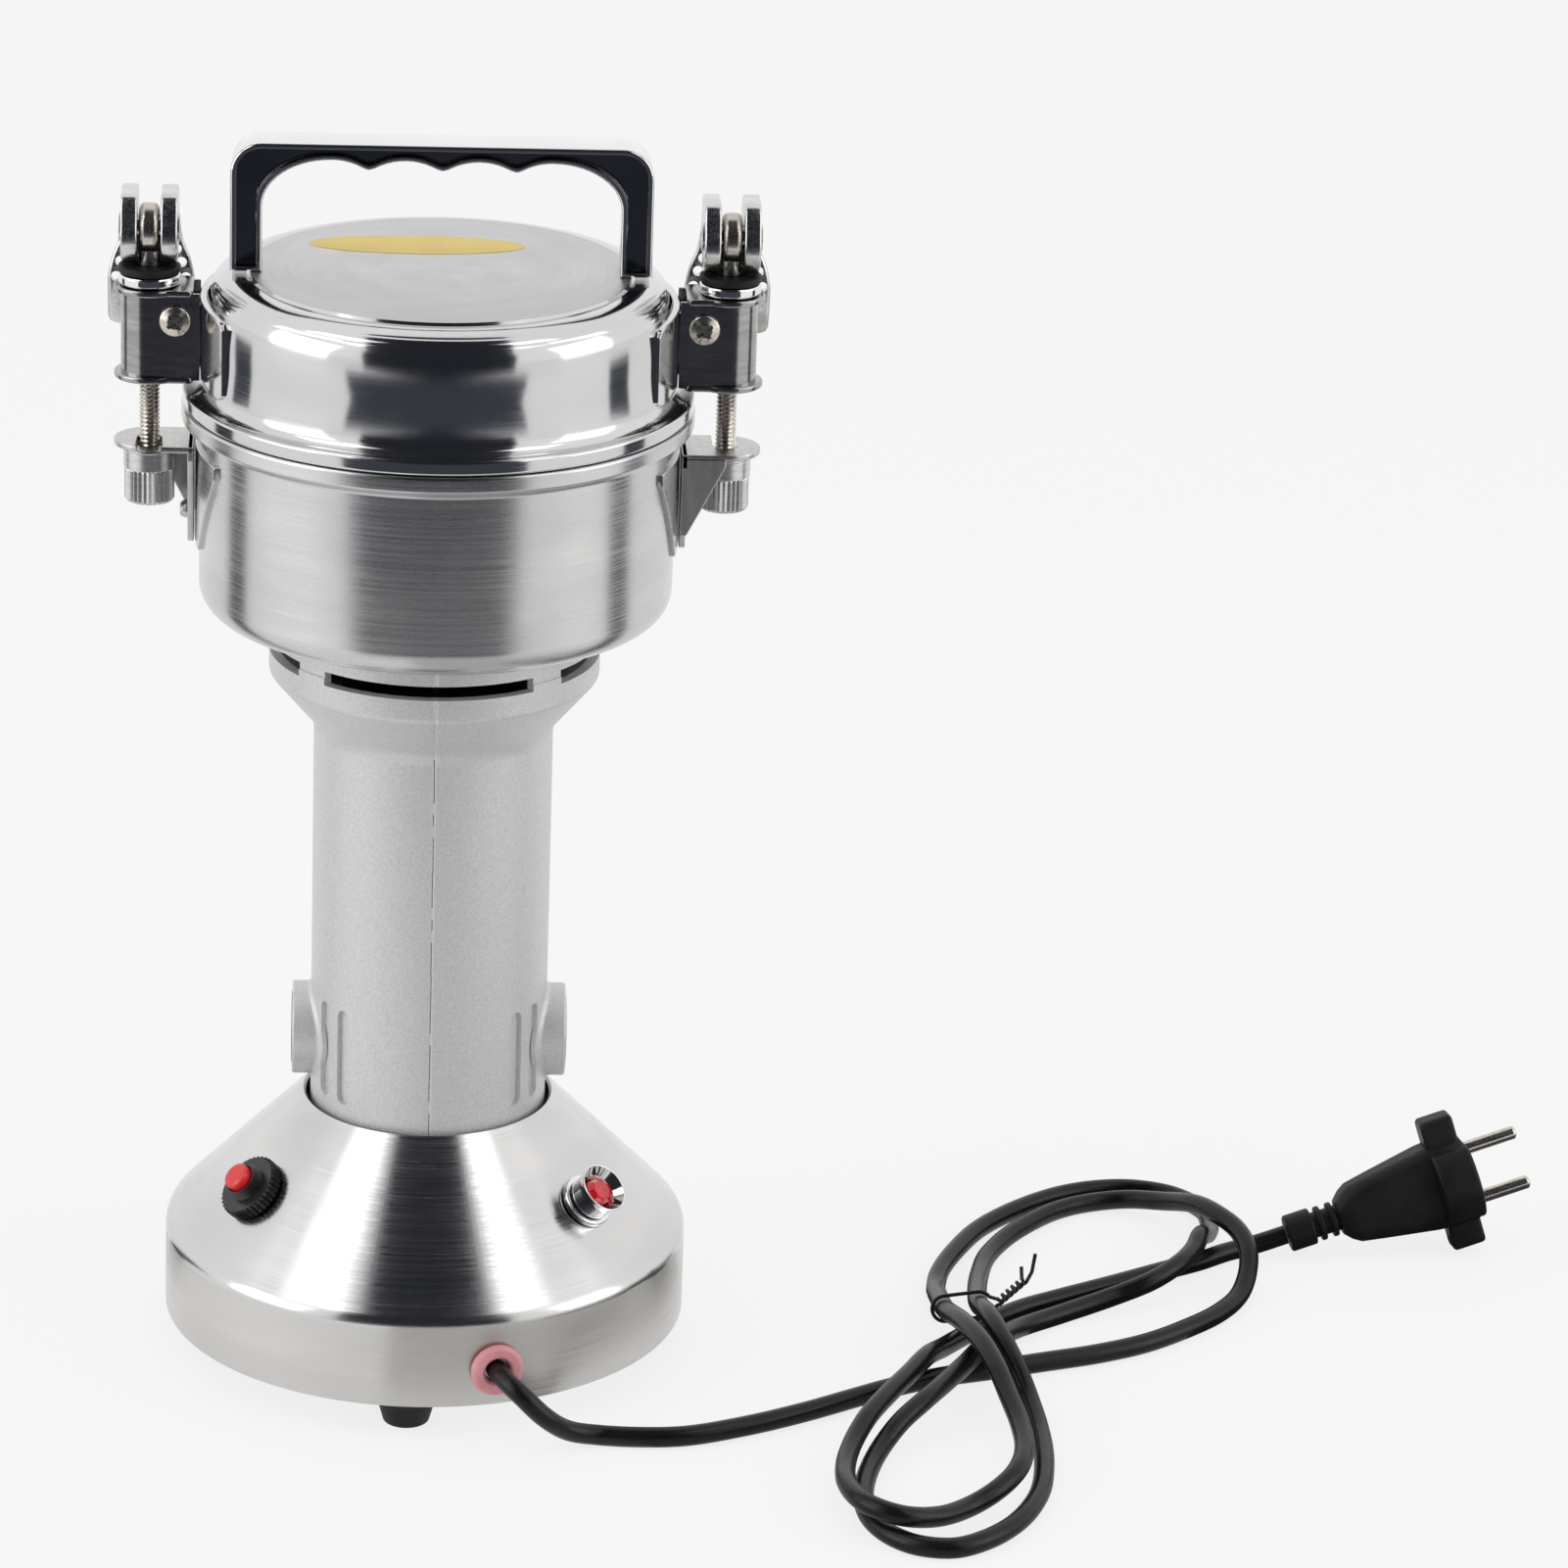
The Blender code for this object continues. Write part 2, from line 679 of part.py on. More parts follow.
def piece(name, mesh, look, parent=None, place=None):
    """A named object from a mesh, with its own material. It is put in its place after it is shaped."""
    data = bpy.data.meshes.new(name)
    mesh.to_mesh(data)
    mesh.free()
    data.materials.append(finish(name, look))
    made = bpy.data.objects.new(name, data)
    bpy.context.scene.collection.objects.link(made)
    waiting.append((made, parent, place))
    return made


def put_in_place():
    for made, parent, place in waiting:
        faces = bmesh.new()
        faces.from_mesh(made.data)
        bmesh.ops.triangulate(faces, faces=faces.faces)
        faces.to_mesh(made.data)
        faces.free()
        made.data.shade_smooth()
        made.data.set_sharp_from_angle(angle=sharp_angle)
        made.parent = parent
        if place is not None:
            made.matrix_local = place


def shape_change(target, mesh, operation):
    """A Boolean of the target with one more mesh, worked out where both were drawn."""
    data = bpy.data.meshes.new("tool")
    mesh.to_mesh(data)
    mesh.free()
    tool = bpy.data.objects.new("tool", data)
    bpy.context.scene.collection.objects.link(tool)
    modifier = target.modifiers.new(operation.lower(), "BOOLEAN")
    modifier.operation = operation
    modifier.object = tool
    graph = bpy.context.evaluated_depsgraph_get()
    before = target.data
    after = bpy.data.meshes.new_from_object(target.evaluated_get(graph))
    target.modifiers.clear()
    tidied = bmesh.new()
    tidied.from_mesh(after)
    bmesh.ops.remove_doubles(tidied, verts=tidied.verts, dist=merge_distance)
    bmesh.ops.dissolve_limit(tidied, angle_limit=flat_angle, verts=tidied.verts, edges=tidied.edges)
    tidied.to_mesh(after)
    tidied.free()
    target.data = after
    after.name = target.name
    bpy.data.objects.remove(tool)
    for old in (before, data):
        bpy.data.meshes.remove(old)


def cut(target, mesh):
    shape_change(target, mesh, "DIFFERENCE")


def weld(target, mesh):
    shape_change(target, mesh, "UNION")


def axis_empty(name, place, parent=None):
    made = bpy.data.objects.new(name, None)
    bpy.context.scene.collection.objects.link(made)
    made.empty_display_size = cup_radius
    made.parent = parent
    made.matrix_local = place
    return made


# Places on the base

def front_azimuth(azimuth):
    """The angle from +X of an azimuth that is counted from the front towards the right."""
    return azimuth - pi / 2


def outward(azimuth, radius, height, tilt):
    """A frame on the base: Z out of the surface, X round it and Y up it."""
    angle = front_azimuth(azimuth)
    out = Matrix.Rotation(pi / 2 - tilt, 4, "X")
    spin = round_about(angle + pi / 2)
    return Matrix.Translation((radius * cos(angle), radius * sin(angle), height)) @ spin @ out


def on_cone(azimuth):
    height = wall_top + (base_radius - fitting_circle_radius) * tan(cone_slope)
    return outward(azimuth, fitting_circle_radius, height, pi / 2 - cone_slope)


def on_wall(azimuth):
    return outward(azimuth, base_radius, base_bottom + grommet_height, 0)


def surface_drop(half_width, radius):
    """How far a round surface falls away from its tangent plane at a half width."""
    return radius - sqrt(radius ** 2 - half_width ** 2)


# Base

def base_profile():
    path = filleted((
        (base_radius, base_bottom),
        (base_radius, wall_top, base_shoulder_radius),
        (cone_top_radius, cone_top),
    ), closed=False)
    return sheet(path, base_sheet)


def switch_cavity(margin, low, high):
    half_width = switch_half_width - switch_flange_overlap + margin
    half_length = switch_half_length - switch_flange_overlap + margin
    return prism(rectangle(half_width, half_length), low, high)


def rectangle(half_width, half_length, corner_radius=0):
    corners = ((-1, -1), (1, -1), (1, 1), (-1, 1))
    return filleted([(x * half_width, y * half_length, corner_radius) for x, y in corners])


def make_base():
    shell = piece("base_shell", turned(base_profile(), large_sides), stainless)
    low, high = -base_sheet - overrun, overrun
    hole = turned(disc(fuse_neck_radius + clearance, low, high), small_sides)
    cut(shell, moved(hole, on_cone(fuse_azimuth)))
    hole = turned(disc(lamp_tail_radius + clearance, low, high), small_sides)
    cut(shell, moved(hole, on_cone(lamp_azimuth)))
    cut(shell, moved(switch_cavity(clearance, low, high), on_cone(switch_azimuth)))
    hole = turned(disc(grommet_neck_radius() + clearance, low, high), small_sides)
    cut(shell, moved(hole, on_wall(grommet_azimuth)))

    plate_radius = base_radius - base_sheet - clearance
    plate = piece("bottom_plate", turned(disc(plate_radius, plate_bottom, plate_top), large_sides), steel)
    stud_hole = disc(foot_stud_radius + clearance, plate_bottom - overrun, plate_top + overrun)
    cut(plate, together([moved(turned(stud_hole, tiny_sides), place) for place in foot_places()]))


def disc(radius, low, high):
    return ((0, low), (radius, low), (radius, high), (0, high))


def ring(inner, outer, low, high):
    return ((inner, low), (outer, low), (outer, high), (inner, high))


def foot_places():
    places = []
    for quarter in range(4):
        angle = front_azimuth(foot_azimuth) + quarter * pi / 2
        centre = (foot_circle_radius * cos(angle), foot_circle_radius * sin(angle), 0)
        places.append(Matrix.Translation(centre))
    return places


def make_feet():
    barb_bottom = plate_top + clearance
    outline = filleted((
        (0, 0),
        (foot_bottom_radius, 0, foot_edge_radius),
        (foot_top_radius, foot_height),
        (foot_stud_radius, foot_height),
        (foot_stud_radius, barb_bottom),
        (foot_barb_radius, barb_bottom),
        (foot_stud_radius, barb_bottom + foot_barb_height),
        (0, barb_bottom + foot_barb_height),
    ))
    names = ("foot_front", "foot_right", "foot_back", "foot_left")
    for name, place in zip(names, foot_places()):
        piece(name, turned(outline, small_sides), black_rubber, place=place)


# Motor housing

def housing_profile():
    flare_inner = flare_radius - tube_wall
    chamber_top = housing_top - deck_thickness
    crown_radius = flare_radius - crown_step
    step_height = (slot_bottom + slot_top) / 2
    collar_hole = collar_radius + clearance
    seat_outside = bearing_seat + seat_wall
    seat_bottom = upper_bearing_bottom - clearance
    roof = upper_bearing_top + clearance
    return filleted((
        (tube_bore, tube_bottom),
        (tube_radius, tube_bottom),
        (tube_radius, flare_bottom, flare_foot_radius),
        (flare_radius, flare_top, flare_top_edge_radius),
        (flare_radius, step_height),
        (crown_radius, step_height),
        (crown_radius, housing_top),
        (collar_hole, housing_top),
        (collar_hole, roof),
        (bearing_seat, roof),
        (bearing_seat, seat_bottom),
        (seat_outside, seat_bottom),
        (seat_outside, chamber_top),
        (crown_radius - tube_wall, chamber_top),
        (crown_radius - tube_wall, flare_top),
        (flare_inner - crown_step, flare_top - crown_step),
        (tube_bore, flare_bottom + crown_step, flare_foot_radius),
    ))


def vent_cutters():
    half = slot_span / 2
    inner = flare_radius - tube_wall - overrun
    outer = flare_radius + overrun
    cutters = []
    for number in range(slot_count):
        middle = front_azimuth(slot_azimuth) + 2 * pi * number / slot_count
        outline = arc((0, 0), outer, middle - half, middle + half, vent_steps)
        outline += arc((0, 0), inner, middle + half, middle - half, vent_steps)
        cutters.append(prism(outline, slot_bottom, slot_top))
    return cutters


def side_slot_cutters():
    cutters = []
    for boss_angle in (0, pi):
        for azimuth in side_slot_azimuths:
            for side in (-1, 1):
                outline = [(y, x) for x, y in capsule(side_slot_width / 2, side_slot_length / 2)]
                slot = prism(outline, tube_radius - side_slot_depth, tube_radius + overrun)
                upright = Matrix.Translation((0, 0, brush_centre)) @ Matrix.Rotation(pi / 2, 4, "Y")
                cutters.append(moved(slot, round_about(boss_angle + side * azimuth) @ upright))
    return cutters


def make_housing():
    housing = piece("motor_housing", turned(housing_profile(), large_sides), cast_alloy)
    wall_middle = tube_radius - tube_wall / 2
    boss_root = sqrt(wall_middle ** 2 - boss_radius ** 2)
    recess_floor = boss_reach - boss_recess_depth
    lift = Matrix.Translation((0, 0, brush_centre))
    bosses = []
    for side in (-1, 1):
        bosses.append(moved(turned((
            (0, side * boss_root),
            (boss_radius, side * boss_root),
            (boss_radius, side * boss_reach),
            (boss_recess_radius, side * boss_reach),
            (boss_recess_radius, side * recess_floor),
            (0, side * recess_floor),
        ), middle_sides, "yz"), lift))
    weld(housing, together(bosses))
    bore = disc(brush_sleeve_radius + clearance, -boss_reach - overrun, boss_reach + overrun)
    cut(housing, moved(turned(bore, small_sides, "yz"), lift))
    cut(housing, together(side_slot_cutters()))
    cut(housing, together(vent_cutters()))


# Motor

def make_end_bracket():
    outside = tube_bore - clearance
    seat_top = lower_bearing_bottom + bearing_width
    web_top = bracket_bottom + bracket_web
    hole = shaft_bore + clearance
    bracket = piece("end_bracket", turned((
        (hole, bracket_bottom),
        (outside, bracket_bottom),
        (outside, bracket_bottom + bracket_rim_height),
        (outside - bracket_rim_wall, bracket_bottom + bracket_rim_height),
        (outside - bracket_rim_wall, web_top),
        (bearing_seat + seat_wall, web_top),
        (bearing_seat + seat_wall, seat_top),
        (bearing_seat, seat_top),
        (bearing_seat, web_top),
        (hole, web_top),
    ), middle_sides), cast_alloy)
    windows = []
    for number in range(bracket_window_count):
        window = turned(disc(bracket_window_radius, bracket_bottom - overrun, web_top + overrun), tiny_sides)
        turn = round_about(2 * pi * number / bracket_window_count)
        windows.append(moved(window, turn @ Matrix.Translation((bracket_window_circle, 0, 0))))
    cut(bracket, together(windows))


def bearing(name, bottom):
    """Two rings and the shield between them, sunk a little at both ends."""
    top = bottom + bearing_width
    inner_edge = shaft_bore + bearing_inner_ring
    outer_edge = bearing_radius - bearing_outer_ring
    piece(name, turned((
        (shaft_bore, bottom),
        (inner_edge, bottom),
        (inner_edge, bottom + bearing_groove_depth),
        (outer_edge, bottom + bearing_groove_depth),
        (outer_edge, bottom),
        (bearing_radius, bottom),
        (bearing_radius, top),
        (outer_edge, top),
        (outer_edge, top - bearing_groove_depth),
        (inner_edge, top - bearing_groove_depth),
        (inner_edge, top),
        (shaft_bore, top),
    ), tiny_sides), steel)


def make_stator():
    """A pack of sheets with two pole faces and a pocket at each side for the coils."""
    inner_points = []
    outer_points = []
    edge = radians(1)
    pocket = stator_pocket_half_span - edge
    pole = pi - 2 * stator_pocket_half_span
    for half_turn in (0, pi):
        for step in range(stator_steps + 1):
            inner_points.append((stator_pocket_radius, half_turn + pocket * (2 * step / stator_steps - 1)))
        for step in range(stator_steps + 1):
            angle = half_turn + stator_pocket_half_span + pole * step / stator_steps
            inner_points.append((stator_bore_radius, angle))
    outer_radius = tube_bore - clearance
    for radius, angle in inner_points:
        outer_points.append((outer_radius, angle))
    sections = []
    for (inner, angle), (outer, _) in zip(inner_points, outer_points):
        corners = ((inner, core_bottom), (outer, core_bottom), (outer, core_top), (inner, core_top))
        sections.append([(radius * cos(angle), radius * sin(angle), height) for radius, height in corners])
    piece("stator_core", looped(sections), steel)


def make_field_coils():
    """Each coil is a rounded loop laid round the rotor, with its legs in the two pockets."""
    middle_radius = coil_inner_radius + coil_thickness / 2
    half_width = coil_half_span * middle_radius
    half_height = core_length / 2 + clearance + coil_width / 2
    path = filleted([
        (side * half_width, up * half_height, coil_corner_radius)
        for side, up in ((-1, -1), (1, -1), (1, 1), (-1, 1))
    ])
    path = with_extra_points(path, middle_radius * coil_turn_step)
    centre = (core_bottom + core_top) / 2
    for name, pole in (("field_coil_front", -pi / 2), ("field_coil_back", pi / 2)):
        sections = []
        for index, here in enumerate(path):
            along = (path[(index + 1) % len(path)] - path[index - 1]).normalized()
            side = Vector((along.y, -along.x)) * coil_width / 2
            near, far = here - side, here + side
            corners = []
            for point, radius in ((near, 0), (far, 0), (far, coil_thickness), (near, coil_thickness)):
                angle = pole + point.x / middle_radius
                reach = coil_inner_radius + radius
                corners.append((reach * cos(angle), reach * sin(angle), centre + point.y))
            sections.append(corners)
        piece(name, looped(sections), copper)


def with_extra_points(path, step):
    """A closed path with points added so that no run is longer than a step."""
    points = []
    for index, here in enumerate(path):
        after = path[(index + 1) % len(path)]
        count = max(1, round((after - here).length / step))
        points += [here.lerp(after, part / count) for part in range(count)]
    return points


def make_brushes():
    lift = Matrix.Translation((0, 0, brush_centre))
    start = commutator_radius + clearance
    head_inner = boss_reach - boss_recess_depth + clearance
    head_outer = head_inner + brush_head_thickness
    head_radius = boss_recess_radius - clearance
    for name, side in (("left", -1), ("right", 1)):
        outline = rectangle(brush_width / 2, brush_depth / 2)
        brush = prism(outline, side * start, side * (start + brush_length), "yz")
        piece("carbon_brush_" + name, moved(brush, lift), carbon)
        cap = piece("brush_cap_" + name, moved(turned((
            (0, side * brush_sleeve_start),
            (brush_sleeve_radius, side * brush_sleeve_start),
            (brush_sleeve_radius, side * head_inner),
            (head_radius, side * head_inner),
            (head_radius, side * head_outer),
            (0, side * head_outer),
        ), small_sides, "yz"), lift), black_plastic)
        outline = rectangle(brush_width / 2 + clearance, brush_depth / 2 + clearance)
        bore_end = start + brush_length + overrun
        bore = prism(outline, side * (brush_sleeve_start - overrun), side * bore_end, "yz")
        cut(cap, moved(bore, lift))


# Rotor

def make_shaft(rotor):
    foot = bracket_bottom + shaft_foot_inset
    piece("motor_shaft", turned((
        (0, foot),
        (shaft_radius, foot),
        (shaft_radius, collar_bottom),
        (collar_radius, collar_bottom),
        (collar_radius, collar_top),
        (shaft_radius, collar_top),
        (shaft_radius, shaft_top),
        (0, shaft_top),
    ), small_sides), steel, rotor)


def toothed(outer, root, count, share):
    """A gear-like outline whose teeth take a share of the pitch."""
    points = []
    pitch = 2 * pi / count
    for number in range(count):
        middle = number * pitch
        half = pitch * share / 2
        for radius, angle in ((root, -half), (outer, -half), (outer, 0), (outer, half), (root, half)):
            points.append((radius * cos(middle + angle), radius * sin(middle + angle)))
    return points


def make_rotor_core(rotor):
    outline = toothed(armature_radius, slot_root_radius, armature_slots, tooth_share)
    core = piece("armature_core", prism(outline, core_bottom, core_top), steel, rotor)
    cut(core, turned(disc(shaft_bore, core_bottom - overrun, core_top + overrun), tiny_sides))

    head_radius = armature_radius - clearance
    lower = commutator_top + clearance
    upper = core_top + clearance
    heads = []
    for bottom in (lower, upper):
        top = bottom + winding_head_height
        edge = winding_head_height / 3
        heads.append(turned((
            (shaft_bore, bottom),
            (head_radius, bottom),
            (head_radius, top - edge),
            (head_radius - edge, top),
            (shaft_bore, top),
        ), armature_slots))
    winding = piece("armature_winding", heads[0], copper, rotor)
    weld(winding, heads[1])
    pitch = 2 * pi / armature_slots
    inner = slot_root_radius + clearance
    outer = head_radius * cos(pitch / 2) - clearance
    half_angle = pitch * (1 - tooth_share) / 2 - clearance / inner
    bars = []
    for number in range(armature_slots):
        middle = (number + 0.5) * pitch
        corners = [(inner, -1), (outer, -1), (outer, 1), (inner, 1)]
        outline = [
            (radius * cos(middle + side * half_angle), radius * sin(middle + side * half_angle))
            for radius, side in corners
        ]
        bars.append(prism(outline, lower + winding_head_height / 2, upper + winding_head_height / 2))
    weld(winding, together(bars))


def make_commutator(rotor):
    groove_radius = commutator_radius - bar_gap_depth
    outline = toothed(commutator_radius, groove_radius, commutator_bars, 1 - bar_gap_share)
    commutator = piece("commutator", prism(outline, commutator_bottom, commutator_top), copper, rotor)
    riser = disc(riser_radius, commutator_top - riser_height, commutator_top)
    weld(commutator, turned(riser, small_sides))
    bore = disc(shaft_bore, commutator_bottom - overrun, commutator_top + overrun)
    cut(commutator, turned(bore, tiny_sides))


def make_fan(rotor):
    disc_bottom = fan_disc_top - fan_disc_thickness
    fan = piece("cooling_fan", turned((
        (shaft_bore, disc_bottom - fan_hub_drop),
        (fan_hub_radius, disc_bottom - fan_hub_drop),
        (fan_hub_radius, disc_bottom),
        (fan_radius, disc_bottom),
        (fan_radius, fan_disc_top),
        (fan_hub_radius, fan_disc_top),
        (fan_hub_radius, fan_top),
        (shaft_bore, fan_top),
    ), middle_sides), cast_alloy, rotor)
    vanes = []
    inner = (shaft_bore + fan_hub_radius) / 2
    for number in range(fan_vane_count):
        outline = ((inner, -fan_vane_width / 2), (fan_radius - clearance, -fan_vane_width / 2),
                   (fan_radius - clearance, fan_vane_width / 2), (inner, fan_vane_width / 2))
        vane = prism(outline, fan_disc_top - fan_disc_thickness / 2, fan_top - clearance)
        vanes.append(moved(vane, round_about(2 * pi * number / fan_vane_count)))
    weld(fan, together(vanes))


def blade(name, rotor, bottom, tip, lift, turn):
    """Two arms, bent up past the hub, with one bevelled edge each."""
    bend = tip * blade_bend_share
    half_root = blade_root_width / 2
    half_tip = blade_tip_width / 2
    stations = ((-tip, half_tip, lift), (-bend, half_root, 0), (bend, half_root, 0), (tip, half_tip, lift))
    sections = []
    for reach, half_width, raised in stations:
        low = bottom + raised
        high = low + blade_thickness
        bevel = half_width - blade_edge_width
        if reach > 0:
            section = ((-half_width, low), (half_width, low), (bevel, high), (-half_width, high))
        else:
            section = ((-half_width, low), (half_width, low), (half_width, high), (-bevel, high))
        sections.append([(reach, y, z) for y, z in section])
    made = piece(name, lofted(sections), stainless, rotor, round_about(turn))
    cut(made, turned(disc(shaft_bore, bottom - overrun, bottom + blade_thickness + overrun), tiny_sides))


def make_blades(rotor):
    blade("main_blade", rotor, blade_bottom, blade_tip_radius, blade_lift, 0)
    blade("upper_blade", rotor, upper_blade_bottom, upper_blade_tip_radius, upper_blade_lift, pi / 2)
    piece("blade_spacer", turned(ring(shaft_bore, collar_radius, spacer_bottom, spacer_top), small_sides),
          stainless, rotor)
    corner = nut_across_flats / 2 / cos(pi / 6)
    nut = piece("blade_nut", turned(disc(corner, nut_bottom, nut_top), 6), stainless, rotor)
    cut(nut, turned(disc(shaft_bore, nut_bottom - overrun, nut_top + overrun), tiny_sides))


# Grinding cup

def cup_profile():
    rim_bottom = rim_top - rim_height
    return filleted((
        (cup_hole_radius, cup_bottom),
        (cup_radius, cup_bottom, cup_corner_radius),
        (cup_radius, rim_bottom - rim_slope),
        (rim_radius - rim_edge_radius, rim_bottom),
        (rim_radius, rim_bottom + rim_edge_radius),
        (rim_radius, rim_top, rim_edge_radius),
        (cup_bore, rim_top),
        (cup_bore, cup_bottom + cup_sheet, cup_corner_radius - cup_sheet),
        (cup_hole_radius, cup_bottom + cup_sheet),
    ))


def seat_columns():
    """A plate that tapers from its top corners to a narrower foot."""
    top = bracket_top
    foot = bracket_top - bracket_leg_length
    shoulder = top - bracket_shoulder_length
    return (
        (-seat_top_span, shoulder, top),
        (-seat_bottom_span, foot, top),
        (0, foot, top),
        (seat_bottom_span, foot, top),
        (seat_top_span, shoulder, top),
    )


def make_cup():
    cup = piece("grinding_cup", turned(cup_profile(), large_sides), stainless)
    seats = []
    for half_turn in (0, pi):
        plate = curved_plate(cup_radius - cup_sheet / 2, weld_radius, finer(seat_columns(), 2))
        seats.append(moved(plate, round_about(half_turn)))
    weld(cup, together(seats))


def finer(columns, parts):
    """The same columns with more between them."""
    result = []
    for near, far in zip(columns, columns[1:]):
        for part in range(parts):
            share = part / parts
            result.append(tuple(a + (b - a) * share for a, b in zip(near, far)))
    return result + [columns[-1]]


# Lid

def lid_profile():
    inner = lid_radius - lid_sheet
    bead_bore = lid_bead_radius - lid_bead_width
    gasket_top = lid_bottom + gasket_height
    flare_bottom_height = lid_bottom + lid_bead_height
    flare = arc((lid_radius + lid_flare_radius, flare_bottom_height + lid_flare_radius),
                lid_flare_radius, pi, 3 * pi / 2, fillet_steps)
    top = filleted((
        (0, lid_top),
        (lid_disc_radius - lid_disc_step, lid_top),
        (lid_disc_radius, lid_top - lid_disc_step),
        (lid_radius, lid_top - lid_disc_step, lid_edge_radius),
        flare[0],
    ), closed=False)
    lower = filleted((
        (lid_bead_radius, flare_bottom_height, rim_edge_radius),
        (lid_bead_radius, lid_bottom, rim_edge_radius),
        (bead_bore, lid_bottom),
        (bead_bore, gasket_top + clearance),
        (lid_radius + clearance / 3, gasket_top + clearance),
        (lid_radius + clearance / 3, lid_bottom),
        (inner, lid_bottom),
        (inner, lid_top - lid_disc_step - lid_sheet, lid_edge_radius - lid_sheet),
        (lid_disc_radius - lid_sheet, lid_top - lid_disc_step - lid_sheet),
        (lid_disc_radius - lid_sheet - lid_disc_step, lid_top - lid_sheet),
        (0, lid_top - lid_sheet),
    ), closed=False)
    return top + flare[1:] + lower


def lug_columns():
    bottom = lid_bottom + lug_bottom_height
    top = lid_bottom + lug_top_height
    corner = lug_half_span * lug_corner_share
    inset = (top - bottom) * (1 - lug_corner_share) / 2
    ends = ((-lug_half_span, bottom + inset, top - inset), (-corner, bottom, top))
    return (*ends, (0, bottom, top), (corner, bottom, top), (lug_half_span, bottom + inset, top - inset))


def make_lid(lid):
    shell = piece("lid_shell", turned(lid_profile(), large_sides), stainless, lid)
    bottom = box_bottom + box_plate_thickness + tongue_margin
    top = box_top - box_plate_thickness - tongue_margin
    half_depth = box_half_depth - box_sheet - clearance
    tongue_end = bolt_axis_radius - tongue_inset
    lugs = []
    tongues = []
    bores = []
    for half_turn in (0, pi):
        plate = curved_plate(lid_radius - lid_sheet / 2, lug_radius, finer(lug_columns(), 2))
        lugs.append(moved(plate, round_about(half_turn)))
        outline = ((lid_radius - lid_sheet / 2, -half_depth), (tongue_end, -half_depth),
                   (tongue_end, half_depth), (lid_radius - lid_sheet / 2, half_depth))
        tongues.append(moved(prism(outline, bottom, top), round_about(half_turn)))
        bore = turned(disc(screw_radius + clearance, -box_half_depth, box_half_depth), tiny_sides, "xz")
        place = Matrix.Translation((bolt_axis_radius - screw_inset, 0, box_bottom + screw_height))
        bores.append(moved(bore, round_about(half_turn) @ place))
    weld(shell, together(lugs))
    weld(shell, together(tongues))
    cut(shell, together(bores))

    gasket_inner = lid_radius + clearance / 3 + clearance
    outline = ring(gasket_inner, gasket_inner + gasket_width, lid_bottom, lid_bottom + gasket_height)
    piece("lid_gasket", turned(outline, large_sides), grey_rubber, lid)


def handle_outline(inset):
    """The handle seen from the front, drawn in all round by an inset."""
    half = handle_half_length - inset
    top = handle_top - inset
    inner = handle_half_length - handle_leg_width + inset
    arch_top = handle_top - handle_bar_thickness + inset
    bottom = handle_bottom + inset
    sagitta = handle_cusp_drop
    radius = (handle_arch_pitch ** 2 / 4 + sagitta ** 2) / (2 * sagitta)
    half_angle = asin(handle_arch_pitch / 2 / radius)
    shoulder = handle_arch_pitch * 1.5
    width = inner - shoulder
    outer = filleted(((-half, bottom), (-half, top, handle_corner_radius), (half, top, handle_corner_radius),
                      (half, bottom), (inner, bottom)))
    right = []
    for step in range(5):
        angle = pi / 2 * step / 4
        height = arch_top - handle_shoulder_height * (1 - sin(angle))
        right.append(Vector((shoulder + width * cos(angle), height)))
    points = outer + right
    for middle in (1.5, 0.5, -0.5, -1.5):
        start = pi / 2 - half_angle if abs(middle) < 1 or middle < 0 else pi / 2
        end = pi / 2 + half_angle if abs(middle) < 1 or middle > 0 else pi / 2
        centre = (middle * handle_arch_pitch, arch_top - radius)
        points += arc(centre, radius, start, end, 4)[1:]
    points += [Vector((-point.x, point.y)) for point in right[::-1]][1:]
    return points + [Vector((-inner, bottom))]


def make_handle(lid):
    half_depth = handle_depth / 2
    handle = piece("lid_handle", prism(handle_outline(0), -half_depth, half_depth, "xz"), chrome, lid)
    channel_floor = half_depth - handle_channel_depth
    channels = []
    for side in (-1, 1):
        channel = prism(handle_outline(handle_rim), side * channel_floor, side * (half_depth + overrun), "xz")
        channels.append(channel)
    cut(handle, together(channels))


# Clamps. Each is made about its bolt's axis, with +X away from the mill.

def plate_outline(end):
    """A round plate over the bolt, with a straight neck towards the mill."""
    half = box_half_depth + box_plate_margin
    angle = pi - asin(half / box_plate_radius)
    corner = filleted(((0, half), (end, half, box_plate_corner_radius),
                       (end, -half, box_plate_corner_radius), (0, -half)), closed=False)
    return arc((0, 0), box_plate_radius, -angle, angle, 10) + corner[1:-1]


